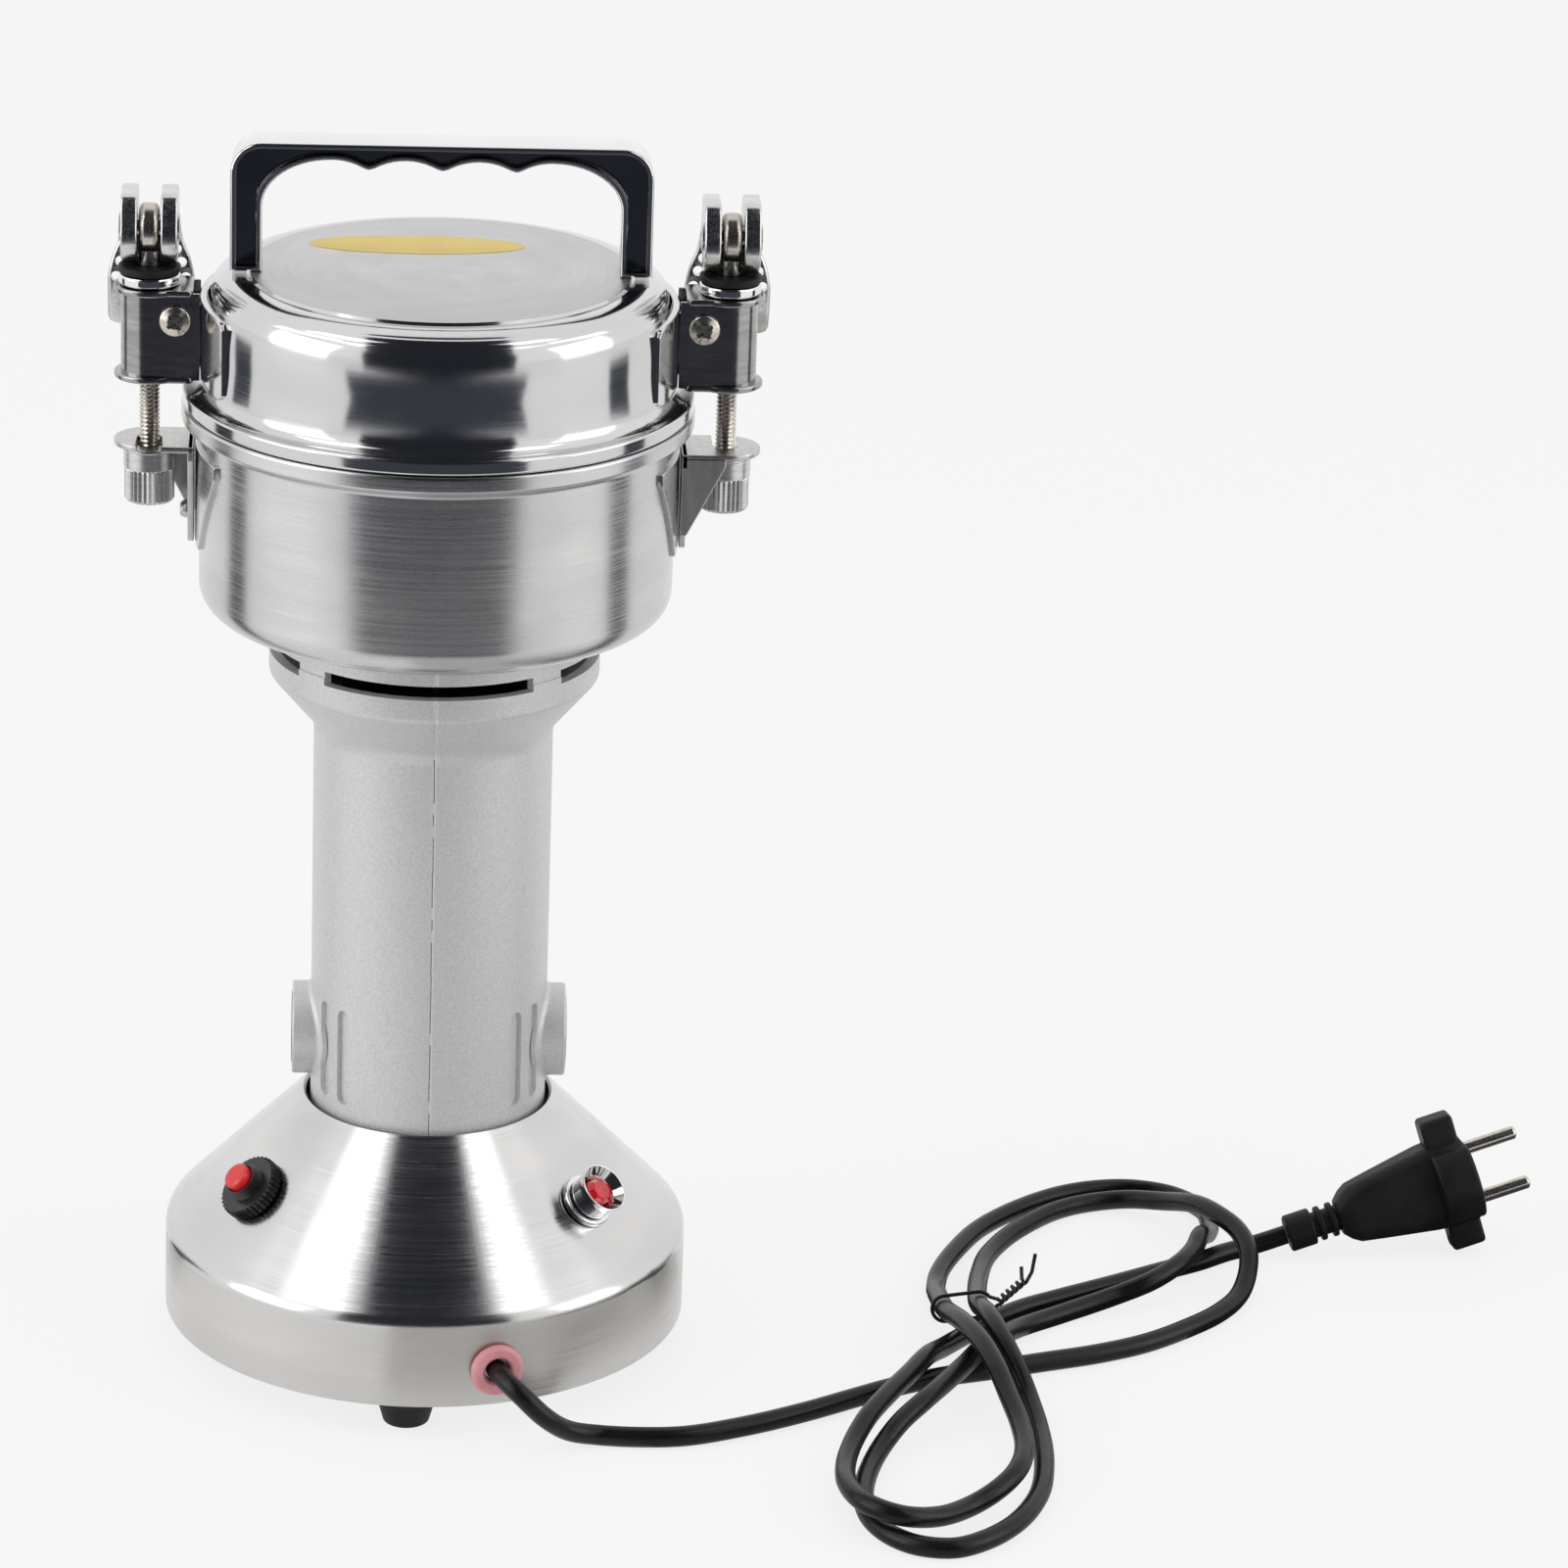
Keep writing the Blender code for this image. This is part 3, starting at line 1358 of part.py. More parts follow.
def make_box(name, side_axis):
    wall_end = lug_radius + clearance - bolt_axis_radius - surface_drop(box_half_depth, lug_radius)
    inner = box_half_depth - box_sheet
    outline = [(wall_end, -box_half_depth)]
    outline += arc((0, 0), box_half_depth, -pi / 2, pi / 2, 6)
    outline += [(wall_end, box_half_depth), (wall_end, inner)]
    outline += arc((0, 0), inner, pi / 2, -pi / 2, 6)
    outline += [(wall_end, -inner)]
    half_plate = box_plate_thickness / 2
    box = piece(name, prism(outline, box_bottom + half_plate, box_top - half_plate), stainless, side_axis)
    plate_end = lug_radius + box_plate_inset - bolt_axis_radius
    plates = []
    for bottom in (box_bottom, box_top - box_plate_thickness):
        plates.append(prism(plate_outline(plate_end), bottom, bottom + box_plate_thickness))
    weld(box, together(plates))
    cut(box, turned(disc(bolt_bore, box_bottom - overrun, box_top + overrun), small_sides))
    reach = box_half_depth + overrun
    bore = turned(disc(screw_radius + clearance, -reach, reach), tiny_sides, "xz")
    cut(box, moved(bore, Matrix.Translation((-screw_inset, 0, box_bottom + screw_height))))


def make_screw(name, place, side_axis):
    """A round-headed screw along Y, with its head at -Y."""
    head_bottom = -box_half_depth - clearance
    outline = filleted((
        (0, head_bottom - screw_head_height),
        (screw_head_radius, head_bottom - screw_head_height, screw_head_height),
        (screw_head_radius, head_bottom),
        (screw_radius, head_bottom),
        (screw_radius, box_half_depth),
        (0, box_half_depth),
    ))
    piece(name, turned(outline, small_sides, "xz"), chrome, side_axis, place)


def make_washers(name, side_axis):
    top = chrome_washer_bottom + chrome_washer_height
    outline = ring(bolt_bore, washer_radius, chrome_washer_bottom, top)
    piece("chrome_washer_" + name, turned(outline, middle_sides), chrome, side_axis)
    top = rubber_washer_bottom + rubber_washer_height
    outline = ring(bolt_bore, washer_radius, rubber_washer_bottom, top)
    piece("rubber_washer_" + name, turned(outline, middle_sides), black_rubber, side_axis)


def make_eyebolt(name, side_axis):
    tip = thumb_nut_bottom + thumb_nut_floor + bolt_tip_gap
    eye_bore = pin_radius + clearance
    shank_top = pivot_height - (eye_bore + eye_radius) / 2
    bolt = piece(name, turned(disc(bolt_radius, tip, shank_top), small_sides), steel, side_axis)
    half = eye_width / 2
    eye = turned(filleted((
        (eye_bore, -half),
        (eye_radius, -half, eye_edge_radius),
        (eye_radius, half, eye_edge_radius),
        (eye_bore, half),
    )), small_sides, "yz")
    weld(bolt, moved(eye, Matrix.Translation((0, 0, pivot_height))))


def cam_reach(turn):
    """The cam's radius at a turn from its lowest point towards the front."""
    if turn <= cam_fall_span:
        return cam_radius - cam_fall * turn / cam_fall_span
    rise = (turn - cam_fall_span) / (pi - cam_fall_span)
    return cam_radius - cam_fall * (1 + cos(pi * rise)) / 2


def cheek_outline():
    """A cheek seen along X, with Y to the back: the cam in front and the root of the tail behind."""
    steps = 9
    points = []
    for step in range(steps + 1):
        turn = pi * (1 - step / steps)
        reach = cam_reach(turn)
        points.append(Vector((-reach * sin(turn), -reach * cos(turn))))
    inner = cam_radius + tail_gap + tail_root_inset
    outer = inner + tail_thickness - 2 * tail_root_inset
    points += arc((0, 0), cam_radius, -pi / 2 + pi / 12, -pi / 6, 3)
    points += [Vector((inner, -cam_radius)), Vector((outer, -cam_radius))]
    back = filleted(((outer, -cam_radius), (outer, cam_radius, cam_radius), (0, cam_radius)), closed=False)
    return points + back[1:-1]


def tail_sections():
    """The tail from its root down to its thumb end: it widens, then curls away from the clamp."""
    inner = cam_radius + tail_gap
    root_half = cheek_outside - tail_root_inset
    root_near = inner + 2 * tail_root_inset
    root_far = inner + tail_thickness - 2 * tail_root_inset
    sections = [[(-root_half, root_near, 0), (root_half, root_near, 0),
                 (root_half, root_far, 0), (-root_half, root_far, 0)]]
    for down, spread, curl in tail_shares:
        half = cheek_outside + (tail_half_width - cheek_outside) * spread
        near = inner + tail_curl * curl
        far = near + tail_thickness
        height = -tail_length * down
        sections.append([(-half, near, height), (half, near, height),
                         (half, far, height), (-half, far, height)])
    return sections


def make_lever(name, place, side_axis):
    cheeks = []
    for side in (-1, 1):
        cheeks.append(prism(cheek_outline(), side * cheek_gap / 2, side * cheek_outside, "yz"))
    lever = piece(name, cheeks[0], chrome, side_axis, place)
    weld(lever, cheeks[1])
    weld(lever, lofted(tail_sections()))
    reach = cheek_outside + pin_head_height
    cut(lever, turned(disc(pin_radius + clearance, -reach, reach), small_sides, "yz"))
    holes = []
    tail_far = cam_radius + tail_gap + tail_thickness + tail_curl
    for side in (-1, 1):
        for across_share, drop_share in tail_hole_shares:
            hole = turned(disc(tail_hole_radius, cam_radius, tail_far), tail_hole_sides, "xz")
            across = side * tail_half_width * across_share
            holes.append(moved(hole, Matrix.Translation((across, 0, -tail_length * drop_share))))
    cut(lever, together(holes))


def make_pin(name, place, side_axis):
    head_start = cheek_outside + clearance
    head_end = head_start + pin_head_height
    rim = pin_head_height / 3
    outline = []
    for side in (-1, 1):
        half = [
            (0, side * head_end),
            (pin_head_radius - rim, side * head_end),
            (pin_head_radius, side * (head_end - rim)),
            (pin_head_radius, side * head_start),
            (pin_radius, side * head_start),
        ]
        outline += half if side < 0 else half[::-1]
    piece(name, turned(outline, small_sides, "yz"), chrome, side_axis, place)


def make_clamp_bracket(name, side_axis):
    """A plate slotted for the bolt, its leg down the cup and a gusset along one edge."""
    slot = bolt_radius + bracket_slot_gap
    back = weld_radius + clearance - bolt_axis_radius
    front = back + bracket_sheet
    reach = box_plate_radius
    open_angle = pi / 2 - asin(slot / reach)
    outline = [(back, -reach)]
    outline += arc((0, 0), reach, -pi / 2, open_angle, 10)
    outline += arc((0, 0), slot, 0, -pi, 8)
    outline += [(-slot, reach), (back, reach)]
    low = bracket_top - bracket_sheet
    made = piece(name, prism(outline, low, bracket_top), stainless, side_axis)
    foot = bracket_top - bracket_leg_length
    shoulder = bracket_top - bracket_shoulder_length
    half_foot = bracket_leg_foot_half_width
    leg = filleted((
        (-reach, bracket_top), (-reach, shoulder),
        (-half_foot, foot, half_foot / 2), (half_foot, foot, half_foot / 2),
        (reach, shoulder), (reach, bracket_top),
    ))
    weld(made, prism(leg, back, front, "yz"))
    gusset_foot = foot + gusset_foot_height
    gusset = (
        (back, low + bracket_sheet / 2), (-gusset_tip_inset, low + bracket_sheet / 2),
        (-gusset_tip_inset, low - bracket_sheet), (front, gusset_foot), (back, gusset_foot),
    )
    weld(made, prism(gusset, -reach, -reach + gusset_sheet, "xz"))
    rivet = turned(filleted((
        (0, front - bracket_sheet / 2),
        (rivet_radius, front - bracket_sheet / 2),
        (rivet_radius, front + rivet_height, rivet_radius / 2),
        (0, front + rivet_height),
    )), tiny_sides, "yz")
    weld(made, moved(rivet, Matrix.Translation((0, 0, foot + rivet_place))))


def make_thumb_nut(name, side_axis):
    bore = bolt_radius + clearance
    collar_bottom_height = thumb_nut_top - thumb_nut_collar_height
    rim_bottom = thumb_nut_top - thumb_nut_rim_height
    grip = thumb_nut_grip_radius
    groove = thumb_nut_groove_depth
    piece(name, turned((
        (0, thumb_nut_bottom),
        (grip - groove - thumb_nut_edge, thumb_nut_bottom),
        (grip, thumb_nut_bottom + thumb_nut_edge, groove),
        (grip, collar_bottom_height, groove),
        (thumb_nut_collar_radius, collar_bottom_height),
        (thumb_nut_collar_radius, rim_bottom),
        (thumb_nut_rim_radius, rim_bottom),
        (thumb_nut_rim_radius, thumb_nut_top),
        (bore, thumb_nut_top),
        (bore, thumb_nut_bottom + thumb_nut_floor),
        (0, thumb_nut_bottom + thumb_nut_floor),
    ), grip_sides), cast_alloy, side_axis)


def make_clamps(lid):
    for name, turn in (("left", pi), ("right", 0)):
        out = round_about(turn) @ Matrix.Translation((bolt_axis_radius, 0, 0))
        back = round_about(-turn)
        on_lid = axis_empty("bolt_axis_" + name, out, lid)
        on_cup = axis_empty("bracket_axis_" + name, out)
        make_box("clamp_box_" + name, on_lid)
        screw_place = Matrix.Translation((-screw_inset, 0, box_bottom + screw_height)) @ back
        make_screw("box_screw_" + name, screw_place, on_lid)
        make_washers(name, on_lid)
        make_eyebolt("eyebolt_" + name, on_lid)
        pivot = axis_empty("lever_pivot_" + name, Matrix.Translation((0, 0, pivot_height)) @ back, on_lid)
        make_lever("cam_lever_" + name, Matrix.Identity(4), pivot)
        make_pin("lever_pin_" + name, Matrix.Identity(4), pivot)
        make_thumb_nut("knurled_nut_" + name, on_lid)
        make_clamp_bracket("clamp_bracket_" + name, on_cup)


# Fittings on the base

def make_fuse():
    place = on_cone(fuse_azimuth)
    bore = button_radius + clearance
    body_top = -base_sheet - surface_drop(fuse_body_radius, fitting_circle_radius) - fitting_body_gap
    bore_floor = -button_root - button_travel - fitting_body_gap
    nut_start = clearance
    nut_end = nut_start + fuse_nut_height
    edge = fuse_nut_groove_depth
    piece("fuse_holder", turned((
        (0, -fuse_body_depth),
        (fuse_body_radius, -fuse_body_depth),
        (fuse_body_radius, body_top),
        (fuse_neck_radius, body_top),
        (fuse_neck_radius, nut_start),
        (fuse_nut_radius, nut_start, fuse_nut_groove_depth),
        (fuse_nut_radius, nut_end - edge, fuse_nut_groove_depth),
        (fuse_nut_radius - edge * 2, nut_end),
        (fuse_neck_radius, nut_end),
        (fuse_neck_radius, fuse_neck_height),
        (bore, fuse_neck_height),
        (bore, bore_floor),
        (0, bore_floor),
    ), grip_sides), black_plastic, place=place)
    button_axis = axis_empty("reset_button_axis", place)
    outline = filleted(((0, -button_root), (button_radius, -button_root),
                        (button_radius, button_height, button_radius / 5), (0, button_height)))
    piece("reset_button", turned(outline, small_sides), red_plastic, button_axis)


def make_lamp():
    place = on_cone(lamp_azimuth)
    bore = lens_radius + clearance
    flange_top = clearance + lamp_flange_height
    joint_top = flange_top + lamp_joint_height
    piece("lamp_bezel", turned((
        (lamp_tail_radius, -lamp_tail_depth),
        (lamp_tail_radius, clearance),
        (lamp_flange_radius, clearance),
        (lamp_flange_radius, flange_top),
        (lamp_neck_radius - lamp_joint_depth, flange_top),
        (lamp_neck_radius - lamp_joint_depth, joint_top),
        (lamp_neck_radius, joint_top),
        (lamp_rim_radius, lamp_height),
        (lamp_rim_radius - lamp_rim_width, lamp_height),
        (bore, lamp_height - lamp_cone_depth),
        (bore, -lamp_tail_depth),
    ), small_sides), chrome, place=place)
    lens_top = lamp_height - lens_below_rim
    piece("lamp_lens", turned((
        (0, -lens_root),
        (lens_radius, -lens_root),
        (lens_radius, lens_top - lens_facet_height),
        (lens_top_radius, lens_top),
        (0, lens_top),
    ), tiny_sides), red_plastic, place=place)


def make_switch():
    place = on_cone(switch_azimuth)
    half_width = switch_half_width - switch_flange_overlap
    half_length = switch_half_length - switch_flange_overlap
    flange_bottom = clearance
    flange_top = flange_bottom + switch_flange_height
    outline = rectangle(switch_half_width, switch_half_length, switch_corner_radius)
    frame = piece("switch_frame", prism(outline, flange_bottom, flange_top), black_plastic, place=place)
    body_top = flange_bottom + switch_flange_height / 2
    weld(frame, prism(rectangle(half_width, half_length), -switch_depth, body_top))
    well_width = half_width - switch_wall
    well_length = rocker_radius + clearance
    cut(frame, prism(rectangle(well_width, well_length), -switch_depth + switch_floor, flange_top + overrun))

    pivot = place @ Matrix.Translation((0, 0, flange_top - rocker_pivot_depth))
    pivot = pivot @ Matrix.Rotation(rocker_tilt, 4, "X")
    axis = axis_empty("rocker_axis", pivot)
    end_angle = asin(rocker_half_thickness / rocker_radius)
    outline = arc((0, 0), rocker_radius, -end_angle, end_angle, 4)
    outline += [Vector((0, rocker_half_thickness * sin(pi / 2) - rocker_radius * tan(rocker_tilt)))]
    outline += arc((0, 0), rocker_radius, pi - end_angle, pi + end_angle, 4)
    width = well_width - clearance
    piece("switch_rocker", prism(outline, -width, width, "yz"), black_plastic, axis)


def grommet_neck_radius():
    return cord_radius + grommet_bore_gap + grommet_neck_wall


def make_grommet():
    bore = cord_radius + grommet_bore_gap
    neck = grommet_neck_radius()
    facet_drop = base_radius * (1 - cos(pi / large_sides))
    wall_drop = surface_drop(grommet_inner_flange_radius, base_radius)
    inner_start = -base_sheet - wall_drop - facet_drop - clearance
    outer_start = clearance
    piece("cord_grommet", turned(filleted((
        (bore, inner_start - grommet_inner_flange_height),
        (grommet_inner_flange_radius, inner_start - grommet_inner_flange_height),
        (grommet_inner_flange_radius, inner_start),
        (neck, inner_start),
        (neck, outer_start),
        (grommet_flange_radius, outer_start, grommet_edge_radius),
        (grommet_flange_radius, outer_start + grommet_flange_height, grommet_edge_radius),
        (bore, outer_start + grommet_flange_height),
    )), small_sides), pink_rubber, place=on_wall(grommet_azimuth))


# Cord

def smooth_curve(route):
    """Points along a smooth curve through the route, closer than the curve's step."""
    stops = [Vector(point) for point in route]
    stops = [stops[0] * 2 - stops[1], *stops, stops[-1] * 2 - stops[-2]]
    curve = []
    for a, b, c, d in zip(stops, stops[1:], stops[2:], stops[3:]):
        at_b = sqrt((b - a).length)
        at_c = at_b + sqrt((c - b).length)
        at_d = at_c + sqrt((d - c).length)
        count = max(2, round((c - b).length / curve_step))
        for step in range(count):
            now = at_b + (at_c - at_b) * step / count
            first = a.lerp(b, now / at_b)
            second = b.lerp(c, (now - at_b) / (at_c - at_b))
            third = c.lerp(d, (now - at_c) / (at_d - at_c))
            left = first.lerp(second, now / at_c)
            right = second.lerp(third, (now - at_b) / (at_d - at_b))
            curve.append(left.lerp(right, (now - at_b) / (at_c - at_b)))
    return np.array([*curve, stops[-2]])


def spaced(curve, count):
    """A number of points along the curve, closer together where it bends more and at its ends."""
    runs = np.linalg.norm(np.diff(curve, axis=0), axis=1)
    headings = np.diff(curve, axis=0) / runs[:, None]
    bends = np.linalg.norm(np.diff(headings, axis=0), axis=1)
    window = max(1, round(bend_closeness / curve_step))
    bends = np.convolve(np.append(bends, 0) / runs, np.ones(window) / window, "same")
    along = np.cumsum(runs)
    at_end = np.minimum(along, along[-1] - along) < end_stretch
    weight = np.concatenate([[0], np.cumsum(runs * (1 + bend_closeness * bends + end_closeness * at_end))])
    marks = np.linspace(0, weight[-1], count)
    return np.stack([np.interp(marks, weight, curve[:, axis]) for axis in range(3)], axis=1)


def least_gap(points, radius):
    """The least distance between a tube's surface and itself, away from each point's own stretch."""
    runs = np.linalg.norm(np.diff(points, axis=0), axis=1)
    along = np.concatenate([[0], np.cumsum(runs)])
    marks = np.arange(0, along[-1], radius / 4)
    fine = np.stack([np.interp(marks, along, points[:, axis]) for axis in range(3)], axis=1)
    least = along[-1]
    for mark, point in zip(marks, fine):
        far = abs(marks - mark) > 5 * radius
        least = min(least, np.linalg.norm(fine[far] - point, axis=1).min())
    return least - 2 * radius


def tube(name, points, radius, resolution, look):
    data = bpy.data.curves.new(name, "CURVE")
    data.dimensions = "3D"
    data.bevel_depth = radius
    data.bevel_resolution = resolution
    data.use_fill_caps = True
    line = data.splines.new("POLY")
    line.points.add(len(points) - 1)
    for target, point in zip(line.points, points):
        target.co = (*point, 1)
    line.use_smooth = True
    data.materials.append(finish(name, look))
    made = bpy.data.objects.new(name, data)
    bpy.context.scene.collection.objects.link(made)


def make_cord():
    points = spaced(smooth_curve(cord_route), cord_points)
    points[:, 2] = np.maximum(points[:, 2], cord_radius)
    print("power_cord least gap to itself, mm:", round(least_gap(points, cord_radius) / mm, 2))
    tube("power_cord", points, cord_radius, cord_sides_resolution, black_vinyl)
    return points


def upper_strands(points):
    """The places and headings of the two highest strands where they cross the tie's plane, left first."""
    crossings = []
    for near, far in zip(points, points[1:]):
        share = (tie_depth - near[1]) / (far[1] - near[1])
        if 0 <= share < 1:
            crossings.append((Vector(near).lerp(Vector(far), share), Vector(far - near).normalized()))
    highest = sorted(crossings, key=lambda crossing: crossing[0].z)[-2:]
    return sorted(highest, key=lambda crossing: crossing[0].x)


def tie_route(cord):
    """A loop round the two upper strands, whose ends wind round each other and then part."""
    (tie_left, left_heading), (tie_right, right_heading) = upper_strands(cord)
    across = (tie_right - tie_left).normalized()
    along = -(left_heading + right_heading)
    up = across.cross(along).normalized()
    reach = cord_radius + tie_gap + tie_radius
    loop = []
    bends = ((tie_right, pi / 6, pi / 3), (tie_left, pi / 2, pi), (tie_right, -pi / 2, pi / 3))
    for centre, start, swing in bends:
        steps = round(swing / tie_bend_step)
        for step in range(steps + 1):
            angle = start + swing * step / steps
            loop.append(centre + (across * cos(angle) + up * sin(angle)) * reach)
    root = tie_right + across * (reach + tie_twist_radius * 2)
    axis = tie_twist_end - root
    side = axis.cross(Vector((0, 0, 1))).normalized()
    over = side.cross(axis).normalized()
    steps = round(tie_twist_turns * tie_turn_points)
    strands = []
    for phase in (pi / 2, -pi / 2):
        strand = []
        for step in range(steps + 1):
            angle = phase + 2 * pi * tie_twist_turns * step / steps
            offset = (side * cos(angle) + over * sin(angle)) * tie_twist_radius
            strand.append(root + axis * step / steps + offset)
        strands.append(strand)
    return np.array([tie_tip, tie_bend, *strands[0][::-1], *loop, *strands[1], tie_spur])


def make_tie(cord):
    points = tie_route(cord)
    print("cord_tie least gap to itself, mm:", round(least_gap(points, tie_radius) / mm, 2))
    tube("cord_tie", points, tie_radius, 1, black_vinyl)


# Plug

def make_plug():
    turn = round_about(plug_yaw) @ Matrix.Rotation(-plug_pitch, 4, "Y") @ Matrix.Rotation(-plug_roll, 4, "X")
    place = Matrix.Translation(plug_place) @ turn
    sections = []
    for back, half_height, half_thickness in (
        (plug_shoulder_length, plug_shoulder_half_height, plug_shoulder_half_thickness),
        (plug_head_depth, plug_neck_half_height, plug_neck_half_thickness),
        (plug_edge_radius, plug_neck_half_height, plug_neck_half_thickness),
    ):
        outline = rectangle(half_thickness, half_height, plug_edge_radius * 2)
        sections.append([(-back, y, z) for y, z in outline])
    body = piece("plug_body", lofted(sections), black_vinyl, place=place)

    flat = sqrt(plug_head_radius ** 2 - plug_lobe_half_width ** 2)
    angle = atan2(plug_lobe_half_width, flat)
    head = arc((0, 0), plug_head_radius, -angle, angle, plug_head_steps)
    head += arc((0, 0), plug_head_radius, pi - angle, pi + angle, plug_head_steps)
    weld(body, prism(head, -plug_head_depth, 0, "yz"))
    ears = []
    half_reach = (plug_ear_reach - plug_lobe_half_width) / 2 + plug_edge_radius
    for side in (-1, 1):
        ear = rectangle(plug_ear_half_thickness, half_reach, plug_edge_radius * 2)
        middle = side * (plug_ear_reach + plug_lobe_half_width - 2 * plug_edge_radius) / 2
        ears.append(prism([(y, z + middle) for y, z in ear], -plug_head_depth, -plug_ear_front, "yz"))
    weld(body, together(ears))

    rib_zone = plug_length - plug_collar_length
    outline = [(0, -plug_length), (plug_collar_radius, -plug_length), (plug_collar_radius, -rib_zone),
               (plug_core_radius, -rib_zone)]
    for number in range(plug_rib_count):
        start = -rib_zone + plug_rib_width + number * plug_rib_pitch
        end = start + plug_rib_width
        outline += [(plug_core_radius, start), (plug_rib_radius, start)]
        outline += [(plug_rib_radius, end), (plug_core_radius, end)]
    outline += [(plug_core_radius, -plug_shoulder_length + overrun), (0, -plug_shoulder_length + overrun)]
    weld(body, turned(outline, small_sides, "yz"))

    hole_radius = plug_pin_radius + clearance
    hole_floor = -plug_pin_root - clearance
    holes = []
    for name, side in (("plug_pin_lower", -1), ("plug_pin_upper", 1)):
        shift = Matrix.Translation((0, 0, side * pin_spacing / 2))
        holes.append(moved(turned(disc(hole_radius, hole_floor, overrun), tiny_sides, "yz"), shift))
        outline = filleted(((0, -plug_pin_root), (plug_pin_radius, -plug_pin_root),
                            (plug_pin_radius, plug_pin_length, plug_pin_radius / 2), (0, plug_pin_length)))
        piece(name, turned(outline, tiny_sides, "yz"), chrome, place=place @ shift)
    cut(body, together(holes))


def build():
    clear_scene()
    make_base()
    make_feet()
    make_housing()
    make_end_bracket()
    bearing("lower_bearing", lower_bearing_bottom)
    bearing("upper_bearing", upper_bearing_bottom)
    make_stator()
    make_field_coils()
    make_brushes()
    rotor = axis_empty("rotor_axis", Matrix.Identity(4))
    make_shaft(rotor)
    make_rotor_core(rotor)
    make_commutator(rotor)
    make_fan(rotor)
    make_blades(rotor)
    make_cup()
    lid = axis_empty("lid_axis", Matrix.Identity(4))
    make_lid(lid)
    make_handle(lid)
    make_clamps(lid)
    make_fuse()
    make_lamp()
    make_switch()
    make_grommet()
    make_tie(make_cord())
    make_plug()
    put_in_place()


build()
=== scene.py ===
from math import asin, atan2, cos, pi, radians, sin, sqrt, tan

import bmesh
import bpy
import numpy as np
from mathutils import Matrix, Vector


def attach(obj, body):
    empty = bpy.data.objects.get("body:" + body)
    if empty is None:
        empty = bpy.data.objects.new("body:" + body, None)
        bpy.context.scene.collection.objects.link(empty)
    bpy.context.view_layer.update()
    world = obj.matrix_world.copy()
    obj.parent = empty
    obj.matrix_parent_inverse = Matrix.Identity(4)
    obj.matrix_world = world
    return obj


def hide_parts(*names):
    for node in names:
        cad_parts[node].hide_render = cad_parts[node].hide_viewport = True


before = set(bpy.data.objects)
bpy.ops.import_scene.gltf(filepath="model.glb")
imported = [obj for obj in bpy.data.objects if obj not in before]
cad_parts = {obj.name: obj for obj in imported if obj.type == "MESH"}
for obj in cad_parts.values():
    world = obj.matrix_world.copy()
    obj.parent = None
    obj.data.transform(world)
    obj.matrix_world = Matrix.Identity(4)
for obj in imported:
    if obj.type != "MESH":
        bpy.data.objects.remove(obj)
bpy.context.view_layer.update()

scene = bpy.context.scene
scene.view_settings.view_transform = "Standard"
for startupName in ("Cube", "Light", "Camera"):
    if startupName in bpy.data.objects:
        bpy.data.objects.remove(bpy.data.objects[startupName])
mm = 0.001
print("stage: frame loaded")

# Camera, solved from the round edges of the mill
cameraView = {
    "place": (-0.0250, -1.9798, 0.9360),
    "right": (0.99770, -0.05832, 0.03444),
    "up": (-0.01190, 0.34978, 0.93676),
    "back": (-0.06668, -0.93502, 0.34828),
    "lens": 146.8,
    "sensor": 36,
}
cameraData = bpy.data.cameras.new("camera")
cameraData.lens = cameraView["lens"]
cameraData.sensor_width = cameraView["sensor"]
cameraData.clip_start, cameraData.clip_end = 0.05, 60
camera = bpy.data.objects.new("camera", cameraData)
scene.collection.objects.link(camera)
columns = (cameraView["right"], cameraView["up"], cameraView["back"], cameraView["place"])
camera.matrix_world = Matrix([[column[axis] for column in columns] for axis in range(3)] + [[0, 0, 0, 1]])
scene.camera = camera


# Materials

def addNode(tree, kind, settings=None, **sockets):
    node = tree.nodes.new(kind)
    for key, value in (settings or {}).items():
        setattr(node, key, value)
    for key, value in sockets.items():
        numbered = key[0] == "i" and key[1:].isdigit()
        socket = node.inputs[int(key[1:])] if numbered else node.inputs[key.replace("_", " ")]
        if isinstance(value, bpy.types.NodeSocket):
            tree.links.new(value, socket)
        else:
            socket.default_value = value
    return node


